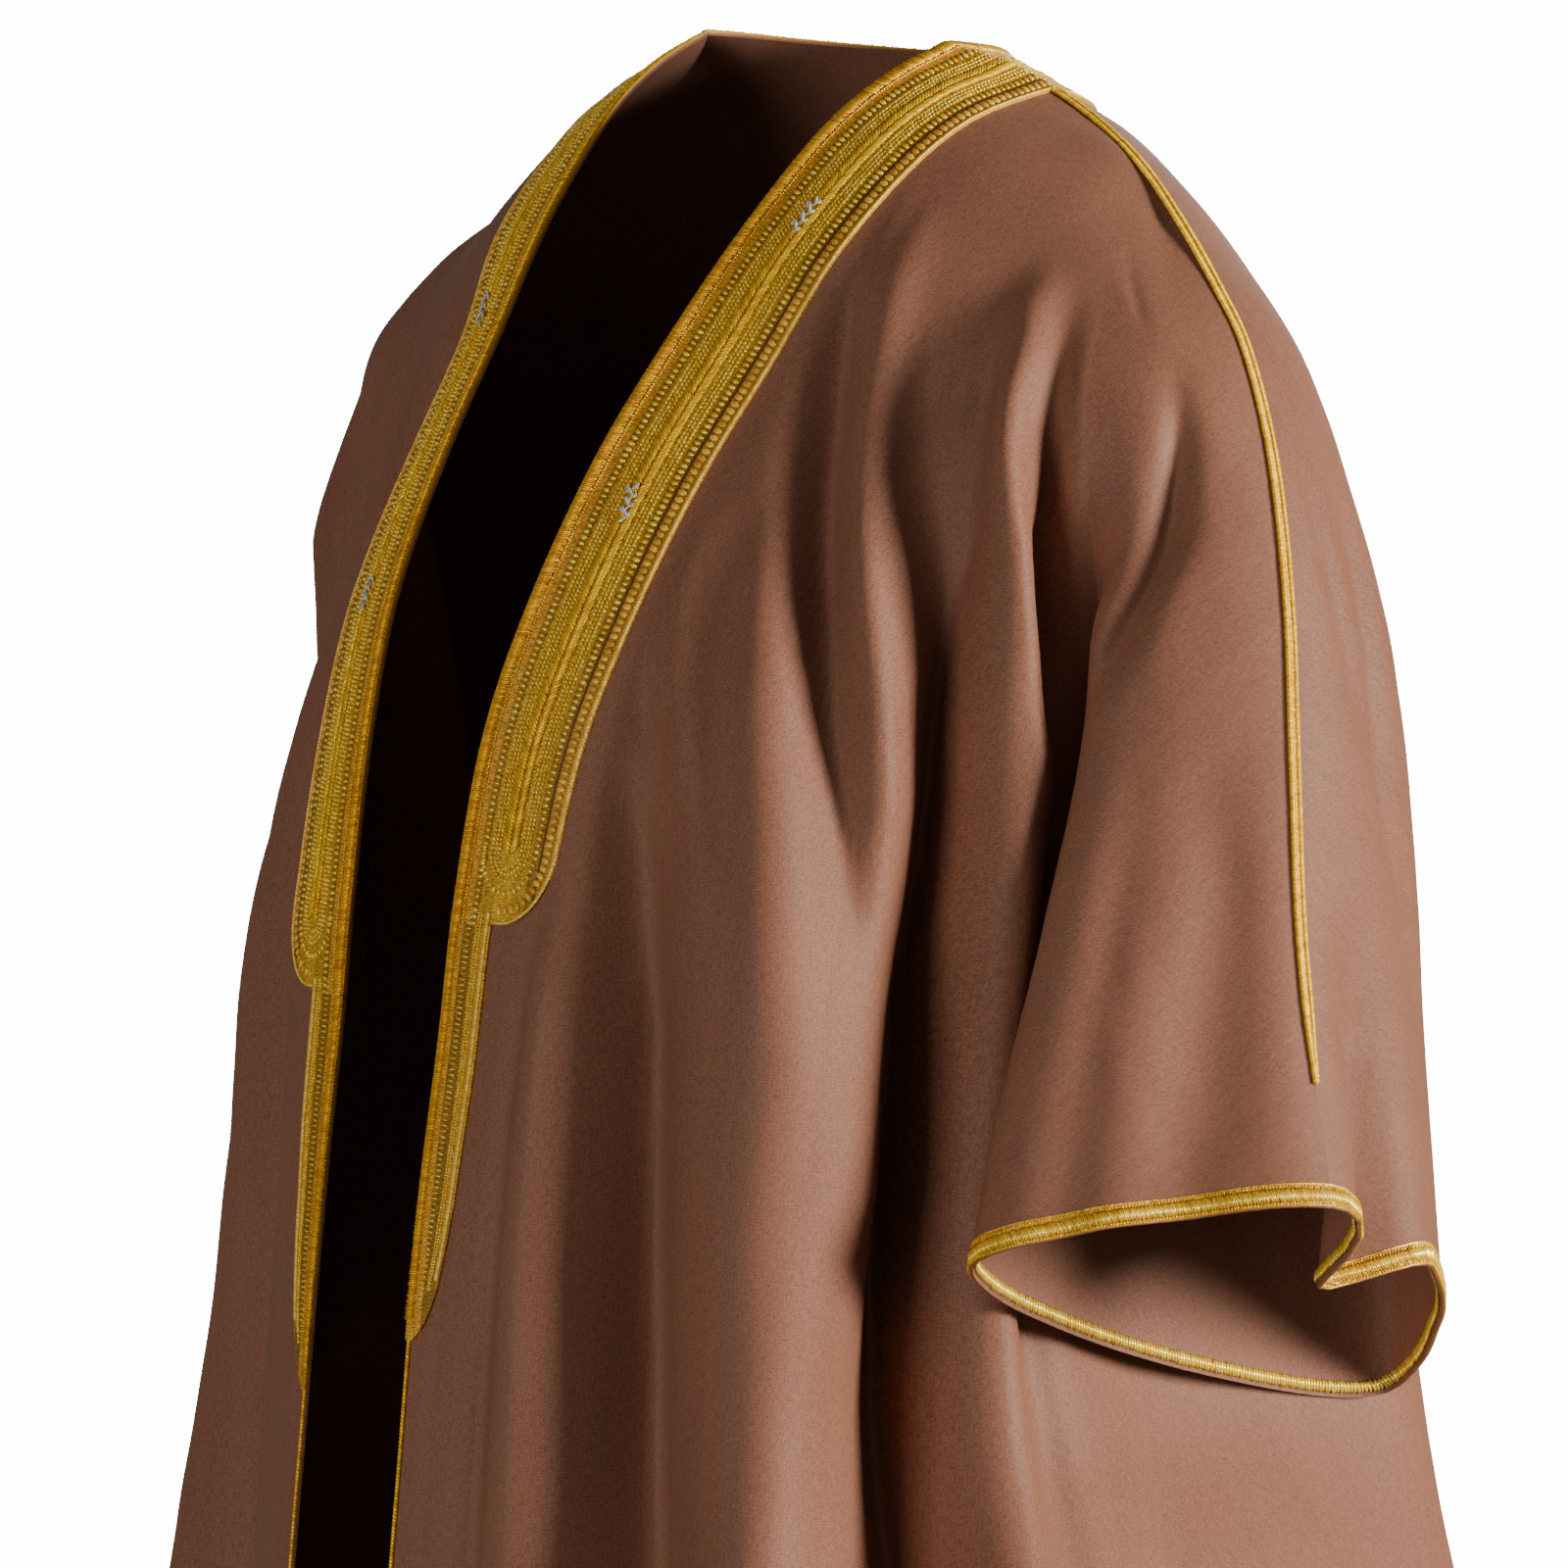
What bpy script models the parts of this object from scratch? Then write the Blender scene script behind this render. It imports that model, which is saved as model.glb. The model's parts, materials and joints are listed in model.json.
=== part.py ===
"""Open-fronted brown robe with gold bands, worn open on a general figure, as closed solids.

Metres, +Z up. The wearer faces -Y and the wearer's left is +X. Z = 0 is the height at which
the robe rests on the shoulders beside the neck. The tables below are in centimetres.
"""

from typing import NamedTuple

import bpy
import numpy as np

# Driving sizes, in metres
CLOTH = 0.0016
SEAM_GAP = 0.0003
LAY_GAP = 0.0004
BAND_WIDTH = 0.045
BAND_THICK = 0.0012
BAND_END_LEFT = 0.308
BAND_END_RIGHT = 0.343
BAND_ROUND = 0.040
NARROW_WIDTH = 0.020
NARROW_END_LEFT = 0.464
NARROW_END_RIGHT = 0.492
CORD_WIDTH = 0.0030
CORD_THICK = 0.0016
PIPING_WIDTH = 0.0052
PIPING_HIGH = 0.0022
PIPING_END = 0.357
TRIM_WIDTH = 0.0088
TRIM_THICK = 0.0012

# How finely the solids are cut
BAND_LINES = (0.0, 0.010, 0.020, 0.0325, 0.045)
BODY_COLUMNS = 14
SLEEVE_COLUMNS = 9
BACK_SLEEVE_COLUMNS = 8
BACK_COLUMNS = 13
SAMPLES = 40

CM = 0.01


class FrontRow(NamedTuple):
    """One level of a front above the underarm, from its edge to the front of the arm."""

    edge_drop: float
    arm_drop: float
    edge_x: float
    edge_y: float
    chest_x: float
    chest_y: float
    lip_x: float
    lip_y: float
    valley_x: float
    valley_y: float
    fore_x: float
    fore_y: float


class BackRow(NamedTuple):
    """One level of the back above the underarm, from the back of the arm to the centre."""

    arm_drop: float
    centre_drop: float
    rear_x: float
    rear_y: float
    heel_x: float
    heel_y: float
    hollow_x: float
    hollow_y: float
    lip_x: float
    lip_y: float
    centre_y: float


class BodyRow(NamedTuple):
    """One level of the body below the underarm: half of its ring."""

    drop: float
    edge_x: float
    edge_y: float
    chest_x: float
    chest_y: float
    lip_x: float
    lip_y: float
    side_x: float
    side_y: float
    back_lip_x: float
    back_lip_y: float
    centre_y: float


class SleeveRow(NamedTuple):
    """One level of the half sleeve below the underarm: its ring but for the seam."""

    drop: float
    pit_x: float
    pit_y: float
    fore_x: float
    fore_y: float
    rear_x: float
    rear_y: float
    heel_x: float
    heel_y: float


class SeamPoint(NamedTuple):
    """A point of the shoulder and upper-arm seam."""

    drop: float
    x: float
    y: float


class FarRow(NamedTuple):
    """How the right side differs at one level, outward and backward, and its edge's turn in degrees."""

    drop: float
    edge_out: float
    chest_back: float
    arm_out: float
    arm_back: float
    edge_turn: float


class FoldPoint(NamedTuple):
    """Where a fold lies at one level: distance across the cloth, height out, half width."""

    drop: float
    across: float
    height: float
    width: float


class Fold(NamedTuple):
    """A fold of the cloth: its name and the levels that it runs through."""

    name: str
    points: tuple


SEAM = (
    SeamPoint(-1.2, 7.0, 1.0),
    SeamPoint(-0.3, 9.4, 2.6),
    SeamPoint(1.1, 12.0, 3.5),
    SeamPoint(2.9, 15.3, 3.4),
    SeamPoint(5.0, 18.1, 3.0),
    SeamPoint(7.4, 20.8, 2.5),
    SeamPoint(9.7, 23.0, 2.0),
    SeamPoint(13.6, 25.4, 1.1),
    SeamPoint(18.6, 27.1, 0.3),
    SeamPoint(24.2, 28.1, -0.3),
    SeamPoint(30.0, 28.8, -0.6),
    SeamPoint(35.0, 30.2, -1.2),
    SeamPoint(37.4, 31.1, -1.5),
    SeamPoint(39.8, 32.1, -2.0),
)

FRONT = (
    FrontRow(-1.2, 5.3, 7.0, 1.0, 12.6, 3.55, 14.6, 3.45, 16.2, 3.3, 17.5, 3.1),
    FrontRow(0.0, 6.9, 6.8, -1.7, 13.2, -0.2, 15.2, 0.6, 17.3, 1.0, 19.2, 1.5),
    FrontRow(1.9, 8.5, 6.4, -4.4, 13.0, -3.0, 15.7, -1.6, 18.4, -0.9, 20.8, 0.0),
    FrontRow(5.7, 9.8, 5.75, -7.9, 13.0, -5.8, 16.6, -3.5, 19.4, -2.3, 21.9, -0.7),
    FrontRow(10.0, 12.0, 4.95, -11.1, 13.2, -7.4, 17.7, -5.3, 20.4, -3.8, 23.2, -1.8),
    FrontRow(14.0, 15.0, 4.5, -13.9, 13.8, -9.2, 18.6, -6.4, 20.9, -3.8, 23.4, -2.7),
    FrontRow(19.0, 19.0, 4.2, -16.7, 13.8, -11.9, 19.3, -7.4, 20.4, -2.6, 22.0, -4.5),
    FrontRow(24.0, 24.0, 3.8, -18.6, 13.8, -14.4, 20.0, -7.4, 20.0, -1.8, 22.3, -5.4),
    FrontRow(30.0, 30.0, 3.7, -19.9, 13.8, -16.6, 20.5, -7.6, 19.4, -1.0, 22.4, -7.2),
    FrontRow(35.0, 35.0, 3.65, -20.6, 14.0, -17.6, 20.3, -8.2, 19.0, -0.1, 22.4, -8.8),
)

BACK = (
    BackRow(-1.2, -0.5, 6.8, 2.4, 6.4, 3.8, 5.6, 5.0, 4.0, 6.3, 7.2),
    BackRow(0.9, 3.6, 11.2, 5.2, 10.6, 6.8, 9.6, 8.2, 7.0, 9.7, 10.6),
    BackRow(2.9, 7.0, 15.2, 5.2, 14.6, 6.9, 13.8, 8.3, 10.5, 10.5, 11.9),
    BackRow(5.3, 10.0, 18.0, 5.6, 17.1, 7.4, 16.0, 8.6, 13.2, 10.7, 12.9),
    BackRow(7.4, 13.0, 20.0, 6.1, 18.6, 7.6, 17.2, 8.6, 15.0, 10.9, 13.7),
    BackRow(9.7, 15.0, 21.8, 6.2, 20.0, 7.9, 18.3, 8.7, 16.2, 11.4, 14.3),
    BackRow(13.6, 17.5, 23.6, 6.4, 21.4, 8.2, 19.3, 8.4, 17.0, 11.7, 14.8),
    BackRow(19.0, 21.0, 25.0, 7.2, 21.8, 8.6, 19.8, 7.2, 17.6, 12.2, 15.3),
    BackRow(24.0, 25.0, 25.6, 7.7, 22.0, 9.3, 19.6, 5.2, 17.8, 13.0, 15.8),
    BackRow(30.0, 30.0, 26.1, 8.0, 22.0, 10.0, 19.3, 3.0, 18.0, 13.9, 16.5),
    BackRow(35.0, 35.0, 26.3, 8.2, 21.6, 10.4, 19.0, 0.1, 18.0, 14.5, 17.0),
)

BODY = (
    BodyRow(42.0, 3.6, -21.7, 14.3, -17.9, 20.2, -9.0, 18.0, 0.4, 18.0, 15.2, 18.0),
    BodyRow(50.0, 3.6, -22.6, 15.0, -18.0, 20.8, -10.2, 20.0, 0.8, 18.8, 15.8, 19.0),
    BodyRow(60.0, 3.6, -23.6, 16.0, -18.6, 24.0, -12.0, 26.0, 1.0, 20.6, 15.8, 20.5),
    BodyRow(80.0, 3.6, -25.0, 18.0, -20.0, 28.0, -13.0, 31.0, 1.0, 24.5, 17.0, 23.0),
    BodyRow(110.0, 3.5, -27.0, 20.0, -22.0, 30.5, -14.5, 34.0, 1.0, 27.5, 19.5, 26.5),
    BodyRow(142.0, 3.4, -29.0, 21.5, -24.0, 32.0, -16.0, 36.0, 1.0, 29.0, 21.5, 29.5),
)

SLEEVE = (
    SleeveRow(37.4, 19.9, 0.5, 22.4, -9.9, 26.5, 8.5, 21.5, 10.8),
    SleeveRow(39.8, 20.6, 1.5, 22.9, -11.0, 26.7, 8.8, 21.4, 11.4),
)

# How far the sleeve hem hangs below its top at the pit, front, back and heel
PIT_HANG = 8.2
FORE_HANG = 2.3
REAR_HANG = 6.2
HEEL_HANG = 10.2

# How far the hem dips in the recess behind the seam, and where, measured from the seam
RECESS_DIP = 1.6
RECESS_PLACE = 4.2
RECESS_SPREAD = 2.4

FAR_SIDE = (
    FarRow(-1.2, 0.0, 0.0, 0.0, 0.0, 0.0),
    FarRow(5.0, 0.0, 0.0, 0.2, -0.2, 6.0),
    FarRow(10.0, -0.1, 0.0, 1.0, -0.6, 10.0),
    FarRow(16.0, -0.3, 0.0, 1.6, -0.6, 12.0),
    FarRow(20.0, -0.5, 0.0, 1.7, -0.4, 13.0),
    FarRow(24.0, -0.8, 0.4, 1.0, 0.2, 16.0),
    FarRow(30.0, -1.2, 1.0, 0.2, 1.4, 22.0),
    FarRow(42.0, -1.4, 1.0, -0.3, 2.0, 14.0),
    FarRow(60.0, -1.3, 0.3, 0.0, 0.0, 0.0),
    FarRow(142.0, -0.8, 0.0, 0.0, 0.0, 0.0),
)

# Share of the fall from edge to arm at each place along a level
FRONT_FALL = (0.0, 0.36, 0.50, 0.73, 0.93)
BACK_FALL = (0.15, 0.37, 0.58, 0.81, 1.0)

# Columns of the far side's table that move each station outward and backward
FAR_COLUMNS = {
    "edge": (1, 0),
    "chest": (1, 2),
    "fore": (3, 4),
    "seam": (3, 4),
    "rear": (3, 4),
    "heel": (0, 0),
}

# Folds of the left front, measured from its edge: one row of levels for each fold
FRONT_FOLDS = (
    Fold("chest hollow", (
        FoldPoint(5.5, 4.8, 0.0, 0.9),
        FoldPoint(8.6, 6.0, -0.6, 1.0),
        FoldPoint(13.3, 8.5, -1.2, 1.1),
        FoldPoint(17.8, 10.9, -1.3, 1.2),
        FoldPoint(21.4, 13.0, -1.1, 1.2),
        FoldPoint(25.5, 14.8, -1.0, 1.5),
        FoldPoint(32.4, 17.3, -0.4, 1.8),
        FoldPoint(38.0, 18.0, 0.0, 1.8),
    )),
    Fold("chest crease", (
        FoldPoint(5.0, 6.2, 0.0, 0.8),
        FoldPoint(7.9, 7.5, 0.4, 0.9),
        FoldPoint(11.6, 9.6, 0.7, 0.9),
        FoldPoint(16.6, 12.4, 0.9, 1.0),
        FoldPoint(20.2, 14.5, 0.9, 1.0),
        FoldPoint(22.7, 15.9, 0.8, 1.0),
        FoldPoint(27.0, 17.6, 0.3, 1.2),
        FoldPoint(31.0, 18.0, 0.0, 1.2),
    )),
    Fold("deep fold", (
        FoldPoint(8.0, 9.6, 0.0, 1.4),
        FoldPoint(11.0, 11.0, -0.8, 1.5),
        FoldPoint(16.6, 14.6, -1.7, 1.6),
        FoldPoint(21.4, 17.2, -2.6, 1.6),
        FoldPoint(25.5, 18.9, -3.5, 1.6),
        FoldPoint(32.4, 20.1, -4.3, 1.7),
        FoldPoint(40.1, 20.7, -4.5, 1.8),
        FoldPoint(48.0, 20.0, -4.4, 2.5),
        FoldPoint(58.0, 20.4, -4.0, 3.3),
        FoldPoint(80.0, 22.0, -3.2, 3.8),
        FoldPoint(142.0, 27.5, -2.8, 4.4),
    )),
    Fold("shoulder crease", (
        FoldPoint(8.0, 12.6, 0.0, 0.9),
        FoldPoint(11.0, 13.3, -0.7, 0.9),
        FoldPoint(16.6, 16.0, -0.9, 1.0),
        FoldPoint(20.5, 17.6, -0.6, 1.2),
        FoldPoint(24.0, 18.4, 0.0, 1.2),
    )),
    Fold("hanging fold", (
        FoldPoint(5.5, 12.3, 0.0, 1.0),
        FoldPoint(7.7, 12.9, 0.5, 1.1),
        FoldPoint(10.4, 14.5, 1.0, 1.1),
        FoldPoint(12.7, 15.6, 1.3, 1.1),
        FoldPoint(16.7, 17.8, 1.4, 1.1),
        FoldPoint(20.2, 19.5, 1.4, 1.2),
        FoldPoint(24.0, 21.3, 1.2, 1.4),
        FoldPoint(32.4, 23.0, 0.6, 1.4),
        FoldPoint(42.0, 23.6, 0.3, 1.4),
        FoldPoint(60.0, 26.0, 1.2, 2.6),
        FoldPoint(142.0, 34.0, 2.4, 4.0),
    )),
    Fold("arm crease", (
        FoldPoint(6.5, 14.2, 0.0, 0.8),
        FoldPoint(9.3, 15.6, -0.9, 0.9),
        FoldPoint(12.2, 16.9, -1.4, 0.9),
        FoldPoint(14.6, 18.1, -1.6, 0.9),
        FoldPoint(17.8, 20.0, -1.4, 1.0),
        FoldPoint(21.4, 21.9, -0.8, 1.1),
        FoldPoint(25.0, 23.4, 0.0, 1.2),
    )),
    Fold("front ridge", (
        FoldPoint(10.0, 5.9, 0.0, 1.6),
        FoldPoint(17.8, 9.2, 0.5, 1.8),
        FoldPoint(25.5, 12.4, 1.0, 2.1),
        FoldPoint(35.0, 14.5, 1.3, 2.4),
        FoldPoint(42.0, 14.6, 1.5, 2.6),
        FoldPoint(54.0, 15.8, 1.7, 2.8),
        FoldPoint(80.0, 17.0, 2.0, 3.0),
        FoldPoint(142.0, 20.0, 2.4, 3.8),
    )),
    Fold("front hollow", (
        FoldPoint(21.0, 5.4, 0.0, 1.4),
        FoldPoint(27.0, 7.4, -1.0, 1.9),
        FoldPoint(34.0, 8.6, -1.8, 2.2),
        FoldPoint(46.0, 9.4, -2.3, 2.4),
        FoldPoint(60.0, 10.4, -2.4, 2.8),
        FoldPoint(142.0, 13.0, -2.6, 3.4),
    )),
    Fold("edge ridge", (
        FoldPoint(28.0, 5.4, 0.0, 1.0),
        FoldPoint(33.0, 5.1, 0.6, 1.1),
        FoldPoint(44.0, 5.4, 0.9, 1.3),
        FoldPoint(60.0, 5.8, 1.0, 1.6),
        FoldPoint(142.0, 6.4, 1.5, 2.6),
    )),
    Fold("side hollow", (
        FoldPoint(52.0, 31.0, 0.0, 2.4),
        FoldPoint(64.0, 33.0, -1.6, 3.0),
        FoldPoint(142.0, 41.0, -2.6, 3.6),
    )),
)

# Folds of the right front, measured from its edge
FAR_FRONT_FOLDS = (
    Fold("band hollow", (
        FoldPoint(8.0, 7.0, 0.0, 1.8),
        FoldPoint(16.0, 7.4, -0.3, 2.0),
        FoldPoint(24.0, 8.2, -0.7, 2.2),
        FoldPoint(32.0, 8.4, -1.0, 2.3),
        FoldPoint(38.0, 8.6, -0.9, 2.4),
        FoldPoint(48.0, 9.0, 0.0, 2.6),
    )),
    Fold("chest hollow", (
        FoldPoint(7.0, 6.6, 0.0, 1.1),
        FoldPoint(14.0, 9.4, -0.9, 1.4),
        FoldPoint(24.0, 13.4, -0.9, 1.8),
        FoldPoint(34.0, 16.0, -0.3, 2.0),
        FoldPoint(40.0, 16.5, 0.0, 2.0),
    )),
    Fold("deep fold", (
        FoldPoint(9.0, 12.0, 0.0, 1.6),
        FoldPoint(17.0, 15.2, -1.0, 1.8),
        FoldPoint(26.0, 18.6, -2.0, 1.9),
        FoldPoint(38.0, 20.6, -2.6, 2.0),
        FoldPoint(58.0, 21.6, -2.4, 3.0),
        FoldPoint(142.0, 26.0, -2.8, 4.2),
    )),
    Fold("hanging fold", (
        FoldPoint(8.0, 14.0, 0.0, 1.3),
        FoldPoint(16.0, 18.3, 0.9, 1.4),
        FoldPoint(26.0, 21.8, 1.0, 1.6),
        FoldPoint(42.0, 23.8, 0.4, 1.6),
        FoldPoint(64.0, 27.0, 1.4, 2.8),
        FoldPoint(142.0, 33.0, 2.6, 4.0),
    )),
    Fold("front ridge", (
        FoldPoint(16.0, 10.6, 0.0, 1.8),
        FoldPoint(28.0, 11.6, 0.8, 2.0),
        FoldPoint(44.0, 13.6, 1.2, 2.4),
        FoldPoint(80.0, 16.4, 1.8, 3.2),
        FoldPoint(142.0, 19.6, 2.4, 3.8),
    )),
    Fold("front hollow", (
        FoldPoint(30.0, 7.6, 0.0, 1.8),
        FoldPoint(42.0, 8.6, -1.0, 2.2),
        FoldPoint(64.0, 10.0, -1.6, 2.8),
        FoldPoint(142.0, 12.6, -2.6, 3.4),
    )),
    Fold("side hollow", (
        FoldPoint(54.0, 31.0, 0.0, 2.4),
        FoldPoint(70.0, 34.0, -1.8, 3.0),
        FoldPoint(142.0, 40.0, -2.6, 3.6),
    )),
)

# Folds over the front of the sleeve, measured from the shoulder seam
FRONT_SLEEVE_FOLDS = (
    Fold("upper arm crease", (
        FoldPoint(10.0, 3.2, 0.0, 0.8),
        FoldPoint(13.0, 3.5, -0.4, 0.8),
        FoldPoint(16.0, 4.4, -0.6, 0.9),
        FoldPoint(19.5, 6.4, -0.5, 1.0),
        FoldPoint(22.0, 7.4, 0.0, 1.0),
    )),
    Fold("cuff hollow", (
        FoldPoint(23.0, 3.2, 0.0, 1.4),
        FoldPoint(28.5, 2.9, -0.5, 1.5),
        FoldPoint(35.0, 4.0, -0.8, 1.9),
        FoldPoint(39.8, 5.6, -0.7, 2.4),
    )),
)

# Folds over the back of the sleeve, measured from the shoulder seam
BACK_SLEEVE_FOLDS = (
    Fold("cuff recess", (
        FoldPoint(29.0, 2.6, 0.0, 1.3),
        FoldPoint(33.0, 3.0, -0.8, 1.4),
        FoldPoint(36.5, 3.8, -2.1, 1.6),
        FoldPoint(39.8, 4.4, -3.3, 1.7),
    )),
    Fold("elbow crease", (
        FoldPoint(12.0, 3.4, 0.0, 0.9),
        FoldPoint(17.0, 4.2, -0.4, 0.9),
        FoldPoint(24.0, 5.6, -0.5, 1.1),
        FoldPoint(32.0, 7.4, -0.3, 1.2),
        FoldPoint(37.0, 9.0, 0.0, 1.2),
    )),
)

# Folds of each half of the back, measured from the centre
BACK_FOLDS = (
    Fold("centre hollow", (
        FoldPoint(24.0, 3.4, 0.0, 2.4),
        FoldPoint(50.0, 4.0, -0.8, 2.8),
        FoldPoint(90.0, 4.8, -2.0, 3.2),
        FoldPoint(142.0, 5.4, -2.8, 3.8),
    )),
    Fold("blade ridge", (
        FoldPoint(14.0, 9.4, 0.0, 2.4),
        FoldPoint(30.0, 9.8, 0.7, 2.6),
        FoldPoint(60.0, 11.0, 1.4, 3.0),
        FoldPoint(142.0, 14.5, 2.6, 4.2),
    )),
    Fold("arm hollow", (
        FoldPoint(16.0, 14.0, 0.0, 1.6),
        FoldPoint(26.0, 14.8, -1.0, 1.8),
        FoldPoint(40.0, 15.6, -1.6, 2.0),
        FoldPoint(70.0, 18.6, -2.2, 3.0),
        FoldPoint(142.0, 24.0, -2.8, 4.0),
    )),
    Fold("side ridge", (
        FoldPoint(44.0, 22.0, 0.0, 2.0),
        FoldPoint(70.0, 26.0, 1.4, 3.0),
        FoldPoint(142.0, 33.0, 2.4, 4.0),
    )),
)

FAR_BACK_FOLDS = (
    Fold("centre ridge", (
        FoldPoint(20.0, 2.6, 0.0, 2.2),
        FoldPoint(46.0, 3.6, 0.7, 2.6),
        FoldPoint(100.0, 4.6, 1.8, 3.2),
        FoldPoint(142.0, 5.2, 2.4, 3.8),
    )),
    Fold("blade hollow", (
        FoldPoint(18.0, 8.4, 0.0, 2.2),
        FoldPoint(36.0, 9.0, -0.9, 2.4),
        FoldPoint(70.0, 11.0, -1.8, 3.2),
        FoldPoint(142.0, 13.6, -2.6, 4.0),
    )),
    Fold("arm ridge", (
        FoldPoint(16.0, 13.0, 0.0, 1.6),
        FoldPoint(30.0, 13.4, 0.5, 1.8),
        FoldPoint(48.0, 14.6, 0.5, 2.0),
        FoldPoint(66.0, 17.6, 1.4, 2.8),
        FoldPoint(142.0, 22.5, 2.4, 4.0),
    )),
    Fold("side hollow", (
        FoldPoint(40.0, 20.0, 0.0, 2.0),
        FoldPoint(66.0, 25.0, -1.6, 3.0),
        FoldPoint(142.0, 32.0, -2.6, 4.0),
    )),
)


def smooth(value, low, high):
    """Zero below low, one above high, with a soft rise between."""
    t = np.clip((np.asarray(value, float) - low) / (high - low), 0.0, 1.0)
    return t * t * (3.0 - 2.0 * t)


def along(points, at):
    """A soft curve through points, read at whole and part numbers of points."""
    points = np.asarray(points, float)
    at = np.clip(np.asarray(at, float), 0.0, len(points) - 1.0)
    slopes = np.gradient(points, axis=0)
    low = np.minimum(at.astype(int), len(points) - 2)
    t = (at - low)[:, None]
    start, end = points[low], points[low + 1]
    first, last = slopes[low], slopes[low + 1]
    return (
        (2 * t**3 - 3 * t**2 + 1) * start
        + (t**3 - 2 * t**2 + t) * first
        + (3 * t**2 - 2 * t**3) * end
        + (t**3 - t**2) * last
    )


def turn(before, here, after):
    """The direction of a level's curve where it passes a station, from its neighbours."""
    back = np.linalg.norm(here - before, axis=-1, keepdims=True) + 1e-9
    ahead = np.linalg.norm(after - here, axis=-1, keepdims=True) + 1e-9
    return ((here - before) / back * ahead + (after - here) / ahead * back) / (back + ahead)


def sweep(stations, tangents, samples):
    """Curves through the stations of each level: arrays of levels, samples and 3."""
    parts = []
    t = np.linspace(0.0, 1.0, samples + 1)[None, :, None]
    for i in range(len(stations) - 1):
        start, end = stations[i][:, None], stations[i + 1][:, None]
        span = np.linalg.norm(end - start, axis=-1, keepdims=True)
        first = tangents[i][1][:, None] * span
        last = tangents[i + 1][0][:, None] * span
        part = (
            (2 * t**3 - 3 * t**2 + 1) * start
            + (t**3 - 2 * t**2 + t) * first
            + (3 * t**2 - 2 * t**3) * end
            + (t**3 - t**2) * last
        )
        parts.append(part if i == len(stations) - 2 else part[:, :-1])
    return np.concatenate(parts, axis=1)


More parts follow.
